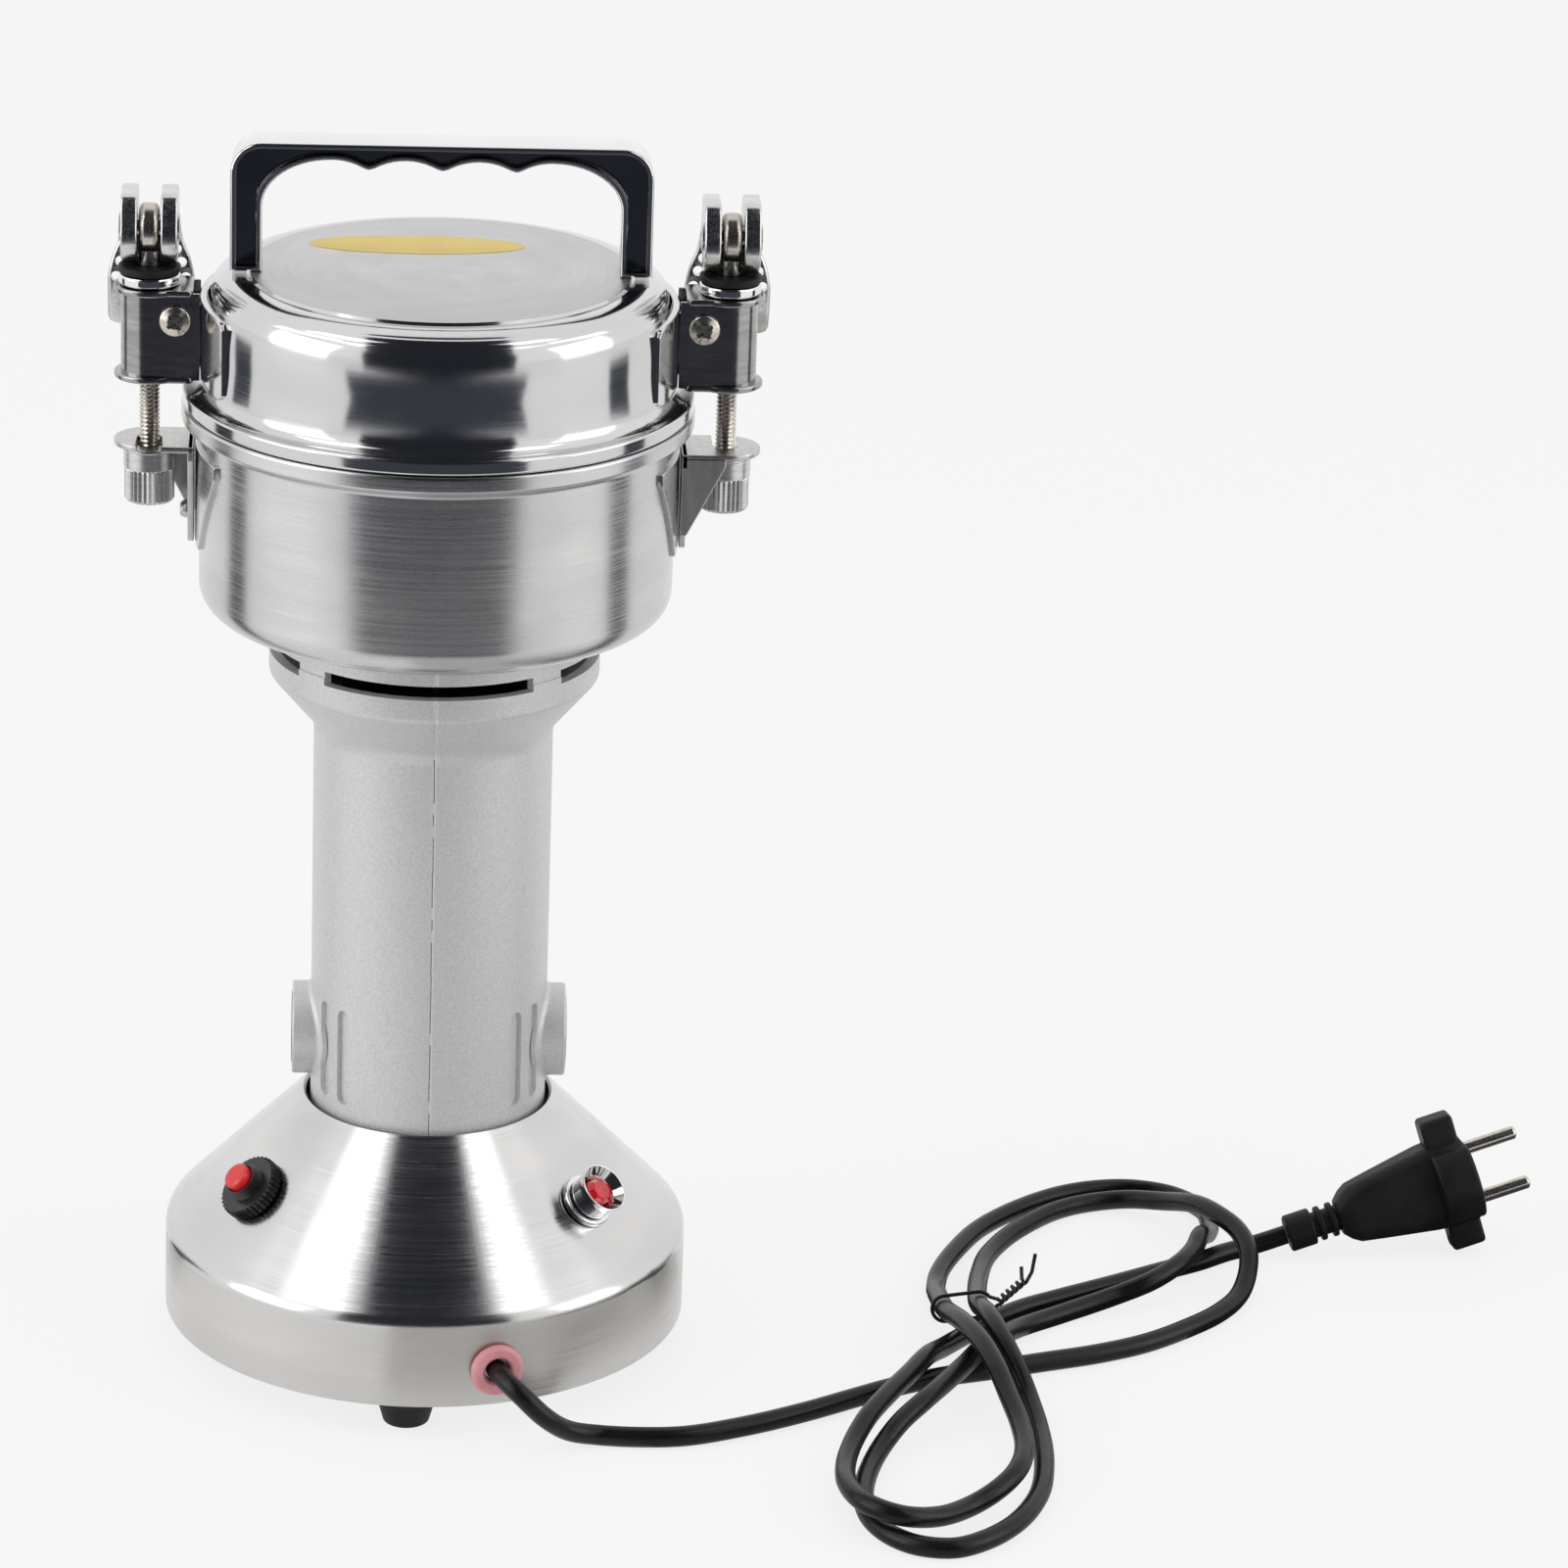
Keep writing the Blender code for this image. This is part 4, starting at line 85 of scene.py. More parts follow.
# Round the shaft a noise follows (cos t, sin t, z) and the radius, so that its marks run round a spun piece.
# Elsewhere it follows the object's own x, y and z, each times its stretch.
def grain(tree, look, scale, detail):
    place = addNode(tree, "ShaderNodeTexCoord").outputs["Object"]
    if look.get("round"):
        parts = addNode(tree, "ShaderNodeSeparateXYZ", Vector=place).outputs
        flat = addNode(tree, "ShaderNodeCombineXYZ", X=parts[0], Y=parts[1])
        length = addNode(tree, "ShaderNodeVectorMath", {"operation": "LENGTH"},
                         i0=flat.outputs[0]).outputs["Value"]
        turn = addNode(tree, "ShaderNodeVectorMath", {"operation": "NORMALIZE"},
                       i0=flat.outputs[0]).outputs[0]
        swing = addNode(tree, "ShaderNodeVectorMath", {"operation": "SCALE"}, i0=turn, Scale=look["round"])
        rise = addNode(tree, "ShaderNodeMath", {"operation": "MULTIPLY"}, i0=parts[2], i1=scale).outputs[0]
        lift = addNode(tree, "ShaderNodeCombineXYZ", Z=rise)
        both = addNode(tree, "ShaderNodeVectorMath", {"operation": "ADD"}, i0=swing.outputs[0],
                       i1=lift.outputs[0])
        reach = addNode(tree, "ShaderNodeMath", {"operation": "MULTIPLY"}, i0=length, i1=scale).outputs[0]
        return addNode(tree, "ShaderNodeTexNoise", {"noise_dimensions": "4D"}, Vector=both.outputs[0],
                       W=reach, Scale=1.0, Detail=detail).outputs[0]
    sized = addNode(tree, "ShaderNodeMapping", Vector=place,
                    Scale=look.get("stretch", (1, 1, 1))).outputs[0]
    return addNode(tree, "ShaderNodeTexNoise", Vector=sized, Scale=scale, Detail=detail).outputs[0]


def ranged(tree, value, low, high, start=0.3, end=0.7):
    return addNode(tree, "ShaderNodeMapRange", Value=value, From_Min=start, From_Max=end, To_Min=low,
                   To_Max=high).outputs[0]


# The colour runs between two shades by a broad noise, the roughness between two values by a fine one, whose
# height is also the bump. Marks are few and fine, and take the roughness up.
def makeFinish(name, look):
    material = bpy.data.materials.new(name)
    material.use_nodes = True
    tree = material.node_tree
    shader = tree.nodes["Principled BSDF"]
    shader.inputs["Metallic"].default_value = look.get("metallic", 0.0)
    for socket, value in look.get("sockets", {}).items():
        shader.inputs[socket].default_value = value
    broad = grain(tree, look, look["broad"], 2.0)
    fine = grain(tree, look, look["fine"], look.get("detail", 3.0))
    dark, light = look["shades"]
    share = ranged(tree, broad, 0.0, 1.0)
    mixed = addNode(tree, "ShaderNodeMix", {"data_type": "RGBA"}, i0=share, i6=(*dark, 1), i7=(*light, 1))
    tree.links.new(mixed.outputs[2], shader.inputs["Base Color"])
    low, high = look["roughness"]
    roughness = ranged(tree, fine, low, high)
    if look.get("scuffs"):
        fleck = addNode(tree, "ShaderNodeTexNoise", Scale=look["scuffs"], Detail=4.0,
                        Vector=addNode(tree, "ShaderNodeTexCoord").outputs["Object"]).outputs[0]
        wear = ranged(tree, fleck, 0.0, 0.03, 0.50, 0.75)
        roughness = addNode(tree, "ShaderNodeMath", {"operation": "ADD"}, i0=roughness, i1=wear).outputs[0]
    tree.links.new(roughness, shader.inputs["Roughness"])
    raised = addNode(tree, "ShaderNodeBump", Strength=look.get("strength", 0.5), Distance=look["bump"],
                     Height=fine)
    tree.links.new(raised.outputs[0], shader.inputs["Normal"])
    if look.get("spin"):
        spin = addNode(tree, "ShaderNodeTangent", {"direction_type": "RADIAL", "axis": "Z"})
        tree.links.new(spin.outputs[0], shader.inputs["Tangent"])
    return material


looks = {
    "lidSteel": {"shades": ((0.62, 0.62, 0.63), (0.68, 0.68, 0.68)), "roughness": (0.09, 0.15),
                 "metallic": 1.0, "round": 1.2, "broad": 60, "fine": 2600, "bump": 0.0000006,
                 "strength": 0.4, "scuffs": 45, "spin": True,
                 "sockets": {"Anisotropic": 0.4, "Anisotropic Rotation": 0.25}},
    "discSteel": {"shades": ((0.55, 0.55, 0.56), (0.62, 0.62, 0.62)), "roughness": (0.34, 0.46),
                  "metallic": 1.0, "round": 1.6, "broad": 90, "fine": 1800, "bump": 0.00001,
                  "strength": 0.4, "scuffs": 40},
    "cupSteel": {"shades": ((0.56, 0.56, 0.57), (0.66, 0.65, 0.64)), "roughness": (0.20, 0.32),
                 "metallic": 1.0, "round": 1.4, "broad": 70, "fine": 2200, "bump": 0.000003,
                 "strength": 0.45, "scuffs": 40, "spin": True,
                 "sockets": {"Anisotropic": 0.65, "Anisotropic Rotation": 0.25}},
    "baseSteel": {"shades": ((0.60, 0.60, 0.61), (0.69, 0.68, 0.67)), "roughness": (0.15, 0.27),
                  "metallic": 1.0, "round": 1.3, "broad": 50, "fine": 2300, "bump": 0.000002,
                  "strength": 0.4, "scuffs": 40, "spin": True,
                  "sockets": {"Anisotropic": 0.6, "Anisotropic Rotation": 0.25}},
    "wallSteel": {"shades": ((0.58, 0.57, 0.56), (0.66, 0.65, 0.63)), "roughness": (0.26, 0.38),
                  "metallic": 1.0, "round": 1.3, "broad": 60, "fine": 2100, "bump": 0.000006,
                  "strength": 0.4, "scuffs": 40, "spin": True,
                  "sockets": {"Anisotropic": 0.5, "Anisotropic Rotation": 0.25}},
    "mirrorChrome": {"shades": ((0.78, 0.78, 0.78), (0.84, 0.84, 0.84)), "roughness": (0.03, 0.08),
                     "metallic": 1.0, "broad": 40, "fine": 900, "bump": 0.000002, "strength": 0.15},
    # Steel for the clamp boxes: a darker polished steel, taken further down in colour as a painted dark
    # reflection
    "clampSteelAndPaintedReflection": {"shades": ((0.32, 0.31, 0.31), (0.44, 0.43, 0.42)), "roughness": (0.12, 0.22),
                   "metallic": 1.0, "stretch": (1, 1, 6), "broad": 90, "fine": 1500, "bump": 0.000008,
                   "strength": 0.4, "scuffs": 160},
    "satinSteel": {"shades": ((0.50, 0.50, 0.49), (0.62, 0.61, 0.60)), "roughness": (0.26, 0.40),
                   "metallic": 1.0, "stretch": (8, 8, 1), "broad": 60, "fine": 700, "bump": 0.00001,
                   "strength": 0.4, "scuffs": 200},
    "leverSteel": {"shades": ((0.60, 0.60, 0.60), (0.70, 0.70, 0.69)), "roughness": (0.16, 0.30),
                   "metallic": 1.0, "stretch": (1, 3, 1), "broad": 110, "fine": 700, "bump": 0.000002,
                   "strength": 0.3, "scuffs": 180},
    "nickel": {"shades": ((0.52, 0.48, 0.43), (0.66, 0.62, 0.56)), "roughness": (0.18, 0.32),
               "metallic": 1.0, "stretch": (1, 1, 5), "broad": 200, "fine": 1600, "bump": 0.000006,
               "strength": 0.4},
    "aluminium": {"shades": ((0.58, 0.58, 0.58), (0.72, 0.72, 0.71)), "roughness": (0.24, 0.38),
                  "metallic": 1.0, "stretch": (1, 1, 12), "broad": 120, "fine": 900, "bump": 0.00001,
                  "strength": 0.4},
    "castAlloy": {"shades": ((0.63, 0.63, 0.63), (0.74, 0.74, 0.74)), "roughness": (0.40, 0.58),
                  "metallic": 0.45, "broad": 1100, "fine": 1900, "detail": 6.0, "bump": 0.00010,
                  "strength": 0.55, "scuffs": 120},
    "seamShade": {"shades": ((0.10, 0.10, 0.10), (0.26, 0.26, 0.26)), "roughness": (0.50, 0.68),
                  "metallic": 0.2, "broad": 500, "fine": 1900, "bump": 0.00004, "strength": 0.5},
    # Darker chrome for the handle's channels: a painted dark reflection of the dark room that the channels
    # face
    "channelPaintedDarkReflection": {"shades": ((0.22, 0.22, 0.23), (0.30, 0.30, 0.31)), "roughness": (0.05, 0.11),
                      "metallic": 1.0, "broad": 40, "fine": 900, "bump": 0.000002, "strength": 0.15},
    "innerSteel": {"shades": ((0.36, 0.35, 0.34), (0.50, 0.49, 0.48)), "roughness": (0.28, 0.45),
                   "metallic": 1.0, "stretch": (1, 1, 4), "broad": 80, "fine": 1200, "bump": 0.00005,
                   "strength": 0.4},
    "bladeSteel": {"shades": ((0.52, 0.52, 0.53), (0.66, 0.66, 0.66)), "roughness": (0.16, 0.30),
                   "metallic": 1.0, "stretch": (1, 12, 1), "broad": 90, "fine": 500, "bump": 0.00004,
                   "strength": 0.4},
    "copperWire": {"shades": ((0.46, 0.17, 0.07), (0.72, 0.32, 0.15)), "roughness": (0.22, 0.40),
                   "metallic": 1.0, "stretch": (1, 1, 9), "broad": 160, "fine": 420, "bump": 0.00020,
                   "strength": 0.6},
    "carbonBlock": {"shades": ((0.020, 0.020, 0.022), (0.045, 0.045, 0.048)), "roughness": (0.45, 0.62),
                    "broad": 200, "fine": 2400, "bump": 0.00006},
    "blackPlastic": {"shades": ((0.007, 0.007, 0.008), (0.015, 0.015, 0.016)), "roughness": (0.28, 0.42),
                     "broad": 120, "fine": 2200, "bump": 0.00002, "strength": 0.4,
                     "sockets": {"Specular IOR Level": 0.3}},
    "fusePlastic": {"shades": ((0.014, 0.014, 0.015), (0.024, 0.024, 0.026)), "roughness": (0.24, 0.34),
                    "broad": 160, "fine": 2000, "bump": 0.00002, "strength": 0.4},
    "blackRubber": {"shades": ((0.009, 0.009, 0.010), (0.020, 0.020, 0.021)), "roughness": (0.50, 0.68),
                    "broad": 90, "fine": 1800, "bump": 0.00004, "strength": 0.5,
                    "sockets": {"Specular IOR Level": 0.25}},
    "cordVinyl": {"shades": ((0.004, 0.004, 0.005), (0.010, 0.010, 0.011)), "roughness": (0.24, 0.36),
                  "broad": 60, "fine": 900, "bump": 0.00003, "strength": 0.4,
                  "sockets": {"Specular IOR Level": 0.28}},
    "plugVinyl": {"shades": ((0.006, 0.006, 0.007), (0.013, 0.013, 0.014)), "roughness": (0.40, 0.56),
                  "broad": 90, "fine": 2600, "bump": 0.00003, "strength": 0.5,
                  "sockets": {"Specular IOR Level": 0.25}},
    "redPlastic": {"shades": ((0.72, 0.016, 0.018), (0.84, 0.030, 0.030)), "roughness": (0.20, 0.32),
                   "broad": 200, "fine": 1500, "bump": 0.00002, "sockets": {"Coat Weight": 0.3}},
    "redLens": {"shades": ((0.62, 0.006, 0.010), (0.88, 0.025, 0.025)), "roughness": (0.06, 0.14),
                "broad": 260, "fine": 1200, "bump": 0.00002,
                "sockets": {"Coat Weight": 0.6, "Subsurface Weight": 0.25,
                            "Subsurface Radius": (0.004, 0.001, 0.001)}},
    "pinkRubber": {"shades": ((0.76, 0.30, 0.33), (0.86, 0.40, 0.42)), "roughness": (0.42, 0.58),
                   "broad": 120, "fine": 1600, "bump": 0.00004},
    "greyRubber": {"shades": ((0.46, 0.46, 0.45), (0.58, 0.58, 0.57)), "roughness": (0.48, 0.64),
                   "broad": 90, "fine": 1500, "bump": 0.00005},
    "yellowSticker": {"shades": ((0.92, 0.65, 0.095), (0.97, 0.73, 0.125)), "roughness": (0.38, 0.50),
                      "broad": 70, "fine": 700, "bump": 0.00001, "sockets": {"Coat Weight": 0.2}},
}
finishes = {name: makeFinish(name, look) for name, look in looks.items()}
print("stage: materials made")


# Mesh helpers: a part is its points and its faces

def quads(rows, columns, closeRows, closeColumns):
    row, column = np.meshgrid(np.arange(rows - (not closeRows)), np.arange(columns - (not closeColumns)),
                              indexing="ij")
    nextRow, nextColumn = (row + 1) % rows, (column + 1) % columns
    corners = (row * columns + column, row * columns + nextColumn, nextRow * columns + nextColumn,
               nextRow * columns + column)
    return np.stack(corners, -1).reshape(-1, 4).tolist()


# Loops of equal count are joined by quads, and each end loop is filled by one face
def skin(loops, ends=True, closed=False):
    loops = np.asarray(loops, float)
    rows, count = loops.shape[:2]
    faces = quads(rows, count, closed, True)
    if ends:
        faces += [list(range(count))[::-1], list(range((rows - 1) * count, rows * count))]
    return loops.reshape(-1, 3), faces


# Each straight run longer than 1.5 mm gets a point near both ends, so that its face shades flat
def braced(points, closed):
    near = points if closed else points[:-1]
    run = (np.roll(points, -1, 0) if closed else points[1:]) - near
    length = np.linalg.norm(run, axis=1)[:, None]
    step = run / length * 0.2 * mm
    rows = np.stack([near, near + step, near + run - step], 1)
    kept = np.repeat(length > 1.5 * mm, 3, 1)
    kept[:, 0] = True
    return rows[kept] if closed else np.vstack([rows[kept], points[-1:]])


# A corner (x, y, r) becomes an arc of radius r that touches both runs
def rounded(corners, steps=6, closed=True):
    points = []
    for index, corner in enumerate(corners):
        here = np.array(corner[:2], float)
        radius = corner[2] if len(corner) > 2 else 0
        if radius == 0 or (not closed and index in (0, len(corners) - 1)):
            points.append(here[None])
            continue
        before = np.array(corners[index - 1][:2]) - here
        after = np.array(corners[(index + 1) % len(corners)][:2]) - here
        beforeLength, afterLength = np.linalg.norm(before), np.linalg.norm(after)
        before, after = before / beforeLength, after / afterLength
        half = np.arccos(np.clip(before @ after, -1, 1)) / 2
        reach = min(radius / tan(half), beforeLength / 2, afterLength / 2)
        middle = (before + after) / np.linalg.norm(before + after)
        centre = here + middle * reach / cos(half)
        first, last = here + before * reach - centre, here + after * reach - centre
        begin = atan2(first[1], first[0])
        swing = atan2(first[0] * last[1] - first[1] * last[0], first @ last)
        points.append(arc(centre, np.linalg.norm(first), begin, begin + swing, steps))
    points = np.vstack(points)
    if closed:
        points = points[np.linalg.norm(points - np.roll(points, 1, 0), axis=1) > 1e-7]
    return braced(points, closed)


def arc(centre, radius, start, end, steps):
    angles = np.linspace(start, end, steps + 1)
    return np.stack([centre[0] + radius * np.cos(angles), centre[1] + radius * np.sin(angles)], 1)


# A rectangle whose corners are arcs
def softBox(left, right, low, high, soft, steps=5):
    return rounded(((left, low, soft), (right, low, soft), (right, high, soft), (left, high, soft)), steps)


# Corners (x, y, r) written in millimetres, moved by x and y
def placed(corners, x=0, y=0):
    return [(corner[0] * mm + x, corner[1] * mm + y, *(radius * mm for radius in corner[2:]))
            for corner in corners]


# Profile point (r, h) at angle t goes to (r cos t, r sin t, h), where ripple may change r by t and h
def spun(profile, steps=160, ripple=None):
    profile = np.asarray(profile, float)
    angle = np.arange(steps) * 2 * pi / steps
    radius = np.repeat(profile[:, :1], steps, 1)
    height = np.repeat(profile[:, 1:2], steps, 1)
    if ripple:
        radius = ripple(radius, height, angle[None, :])
    return skin(np.stack([radius * np.cos(angle), radius * np.sin(angle), height], -1), ends=False,
                closed=True)


# Each point moves square to the outline at that point, to its inside
def drawnIn(outline, amount):
    before = outline - np.roll(outline, 1, 0)
    after = np.roll(outline, -1, 0) - outline
    before = before / np.linalg.norm(before, axis=1)[:, None]
    after = after / np.linalg.norm(after, axis=1)[:, None]
    x, y = outline.T
    side = 1 if (x * np.roll(y, -1) - np.roll(x, -1) * y).sum() > 0 else -1
    first = side * np.stack([-before[:, 1], before[:, 0]], 1)
    second = side * np.stack([-after[:, 1], after[:, 0]], 1)
    middle = first + second
    middle = middle / np.linalg.norm(middle, axis=1)[:, None]
    return outline + middle * amount / np.clip((middle * first).sum(1), 0.5, 1)[:, None]


# The outline at height h, drawn in by e(1 - sin a) where the face is within e(1 - cos a) of an end
def slab(outline, low, high, edge=0.0003, steps=3):
    outline = np.asarray(outline, float)
    edge = min(edge, (high - low) / 2.2)
    loops = []
    for angle in np.linspace(0, pi / 2, steps + 1):
        loop = drawnIn(outline, edge * (1 - sin(angle)))
        loops.append(np.column_stack([loop, np.full(len(loop), low + edge * (1 - cos(angle)))]))
    ring = drawnIn(outline, edge + 0.15 * mm)
    loops.insert(0, np.column_stack([ring, np.full(len(ring), low)]))
    upper = [np.column_stack([loop[:, :2], low + high - loop[:, 2]]) for loop in loops[::-1]]
    return skin(loops + upper)


def roundHole(radius, low, high, sides):
    return slab(arc((0, 0), radius, 0, 2 * pi, sides)[:-1], low, high, 0.01 * mm, 1)


turns = {"yz": (2, 0, 1), "xz": (0, 2, 1), "xy": (0, 1, 2)}


def faced(part, plane):
    return part[0][:, turns[plane]], part[1]


def moved(part, matrix):
    matrix = np.array(matrix)
    return part[0] @ matrix[:3, :3].T + matrix[:3, 3], part[1]


def aboutZ(angle):
    return Matrix.Rotation(angle, 4, "Z")


def shift(x, y, z):
    return Matrix.Translation((x, y, z))


def joined(parts):
    points, faces, count = [], [], 0
    for partPoints, partFaces in parts:
        points.append(partPoints)
        faces += [[index + count for index in face] for face in partFaces]
        count += len(partPoints)
    return np.concatenate(points), faces


def meshOf(name, parts):
    points, faces = joined(parts)
    mesh = bpy.data.meshes.new(name)
    mesh.from_pydata(points.tolist(), [], faces)
    work = bmesh.new()
    work.from_mesh(mesh)
    bmesh.ops.remove_doubles(work, verts=work.verts, dist=1e-6)
    bmesh.ops.recalc_face_normals(work, faces=work.faces)
    work.to_mesh(mesh)
    work.free()
    return mesh


def shadeByAngle(mesh, crease):
    mesh.shade_smooth()
    mesh.set_sharp_from_angle(angle=radians(crease))


def addPiece(name, parts, finish, body, nodes=(), crease=32):
    mesh = meshOf(name, parts)
    shadeByAngle(mesh, crease)
    mesh.materials.append(finishes[finish])
    piece = bpy.data.objects.new(name, mesh)
    scene.collection.objects.link(piece)
    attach(piece, body)
    if nodes:
        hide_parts(*nodes)
    return piece


def reshape(piece, parts, operation="DIFFERENCE", crease=32):
    tool = bpy.data.objects.new("tool", meshOf("tool", parts))
    scene.collection.objects.link(tool)
    modifier = piece.modifiers.new("shape", "BOOLEAN")
    modifier.operation, modifier.object, modifier.solver = operation, tool, "EXACT"
    shaped = bpy.data.meshes.new_from_object(piece.evaluated_get(bpy.context.evaluated_depsgraph_get()))
    piece.modifiers.clear()
    piece.data = shaped
    bpy.data.objects.remove(tool)
    shadeByAngle(shaped, crease)


# Centripetal curve through the points: each span is a cubic whose knots are the roots of the runs' lengths
def throughPoints(route, perSpan):
    stops = np.array(route, float)
    stops = np.vstack([stops[0] * 2 - stops[1], stops, stops[-1] * 2 - stops[-2]])
    a, b, c, d = stops[:-3, None], stops[1:-2, None], stops[2:-1, None], stops[3:, None]
    knots = [np.zeros((len(a), 1, 1))]
    for near, far in ((a, b), (b, c), (c, d)):
        knots.append(knots[-1] + np.sqrt(np.linalg.norm(far - near, axis=2, keepdims=True)))
    t0, t1, t2, t3 = knots
    t = t1 + (t2 - t1) * (np.arange(perSpan) / perSpan)[None, :, None]
    def blend(p, q, low, high):
        return p + (q - p) * (t - low) / (high - low)
    first, second, third = blend(a, b, t0, t1), blend(b, c, t1, t2), blend(c, d, t2, t3)
    left, right = blend(first, second, t0, t2), blend(second, third, t1, t3)
    return np.vstack([blend(left, right, t1, t2).reshape(-1, 3), stops[-2]])


def addWire(name, points, radius, finish, body, nodes, resolution=4):
    data = bpy.data.curves.new(name, "CURVE")
    data.dimensions = "3D"
    data.bevel_depth = radius
    data.bevel_resolution = resolution
    data.use_fill_caps = True
    line = data.splines.new("POLY")
    line.points.add(len(points) - 1)
    line.points.foreach_set("co", np.column_stack([points, np.ones(len(points))]).ravel())
    line.use_smooth = True
    data.materials.append(finishes[finish])
    wire = bpy.data.objects.new(name, data)
    scene.collection.objects.link(wire)
    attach(wire, body)
    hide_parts(*nodes)
    return wire


# Power cord
cordShape = {
    "radius": 3.4 * mm,
    "length": 1.74,
    "route": (
        (0.0218, -0.0814, 0.0249), (0.0234, -0.0873, 0.0249), (0.0260, -0.0940, 0.0247),
        (0.0310, -0.0990, 0.0218), (0.0385, -0.0985, 0.0140), (0.0465, -0.0940, 0.0070),
        (0.0565, -0.0905, 0.0037), (0.0690, -0.0915, 0.0035), (0.0850, -0.0905, 0.0035),
        (0.1050, -0.0830, 0.0035), (0.1250, -0.0725, 0.0035), (0.1425, -0.0615, 0.0035),
        (0.1555, -0.0535, 0.0035), (0.1730, -0.0450, 0.0035), (0.1900, -0.0395, 0.0035),
        (0.2070, -0.0335, 0.0035), (0.2285, -0.0260, 0.0035), (0.2455, -0.0175, 0.0035),
        (0.2610, -0.0055, 0.0035), (0.2735, 0.0070, 0.0035), (0.2820, 0.0195, 0.0045),
        (0.2860, 0.0295, 0.0085), (0.2870, 0.0390, 0.0128), (0.2845, 0.0500, 0.0154),
        (0.2785, 0.0625, 0.0160), (0.2725, 0.0745, 0.0142), (0.2630, 0.0905, 0.0080),
        (0.2505, 0.0995, 0.0045), (0.2365, 0.0980, 0.0035), (0.2260, 0.0920, 0.0035),
        (0.2175, 0.0840, 0.0035), (0.2065, 0.0700, 0.0035), (0.1975, 0.0530, 0.0035),
        (0.1930, 0.0345, 0.0050), (0.1900, 0.0125, 0.0090), (0.1885, -0.0095, 0.0140),
        (0.1900, -0.0290, 0.0192), (0.1925, -0.0430, 0.0187), (0.1970, -0.0570, 0.0134),
        (0.2005, -0.0685, 0.0070), (0.2025, -0.0865, 0.0035), (0.2015, -0.1120, 0.0035),
        (0.1975, -0.1330, 0.0035), (0.1885, -0.1520, 0.0035), (0.1775, -0.1640, 0.0035),
        (0.1670, -0.1695, 0.0035), (0.1555, -0.1675, 0.0035), (0.1465, -0.1590, 0.0035),
        (0.1415, -0.1465, 0.0035), (0.1410, -0.1310, 0.0035), (0.1445, -0.1125, 0.0035),
        (0.1495, -0.1000, 0.0055), (0.1560, -0.0910, 0.0095), (0.1640, -0.0810, 0.0120),
        (0.1725, -0.0665, 0.0120), (0.1810, -0.0510, 0.0118), (0.1875, -0.0380, 0.0117),
        (0.1935, -0.0250, 0.0084), (0.2035, -0.0075, 0.0045), (0.2175, 0.0045, 0.0035),
        (0.2375, 0.0155, 0.0055), (0.2510, 0.0195, 0.0095), (0.2610, 0.0280, 0.0118),
        (0.2680, 0.0400, 0.0121), (0.2715, 0.0500, 0.0128), (0.2745, 0.0600, 0.0091),
        (0.2770, 0.0695, 0.0050), (0.2790, 0.0800, 0.0035), (0.2785, 0.0915, 0.0035),
        (0.2715, 0.1030, 0.0035), (0.2640, 0.1085, 0.0035), (0.2525, 0.1115, 0.0035),
        (0.2400, 0.1100, 0.0035), (0.2270, 0.1045, 0.0035), (0.2110, 0.0920, 0.0035),
        (0.1965, 0.0755, 0.0035), (0.1865, 0.0570, 0.0035), (0.1795, 0.0390, 0.0035),
        (0.1770, 0.0250, 0.0040), (0.1765, 0.0085, 0.0080), (0.1770, -0.0120, 0.0130),
        (0.1805, -0.0320, 0.0183), (0.1850, -0.0510, 0.0206), (0.1890, -0.0680, 0.0188),
        (0.1920, -0.0820, 0.0150), (0.1945, -0.0970, 0.0120), (0.1945, -0.1140, 0.0110),
        (0.1905, -0.1290, 0.0105), (0.1835, -0.1385, 0.0085), (0.1745, -0.1450, 0.0060),
        (0.1630, -0.1555, 0.0075), (0.1510, -0.1615, 0.0108), (0.1405, -0.1560, 0.0120),
        (0.1355, -0.1410, 0.0105), (0.1355, -0.1225, 0.0085), (0.1390, -0.1060, 0.0090),
        (0.1450, -0.0915, 0.0115), (0.1535, -0.0750, 0.0125), (0.1615, -0.0595, 0.0122),
        (0.1680, -0.0460, 0.0118), (0.1745, -0.0320, 0.0082), (0.1840, -0.0140, 0.0045),
        (0.1935, -0.0015, 0.0035), (0.2050, 0.0090, 0.0035), (0.2185, 0.0175, 0.0035),
        (0.2390, 0.0295, 0.0035), (0.2595, 0.0420, 0.0035), (0.2720, 0.0495, 0.0035),
        (0.2820, 0.0570, 0.0035), (0.2900, 0.0615, 0.0036), (0.2963, 0.0630, 0.0050),
        (0.30383, 0.06391, 0.00737),
    ),
}
cordLine = throughPoints(cordShape["route"], 6)
cordLine[:, 2] = np.maximum(cordLine[:, 2], cordShape["radius"])
powerCord = addWire("powerCord", cordLine, cordShape["radius"], "cordVinyl", "base", ["power_cord"],
                    6)

# Wire tie: a loop round the two upper strands, whose ends wind round each other and part
tieShape = {"radius": 0.65 * mm, "gap": 0.35 * mm, "twistRadius": 1.05 * mm, "twistTurns": 2.75,
            "plane": -10.6 * mm, "twistEnd": (0.2055, 0.0060, 0.0160), "bend": (0.2082, 0.0088, 0.0176),
            "tip": (0.2092, 0.0098, 0.0240), "spur": (0.2044, 0.0080, 0.0200)}


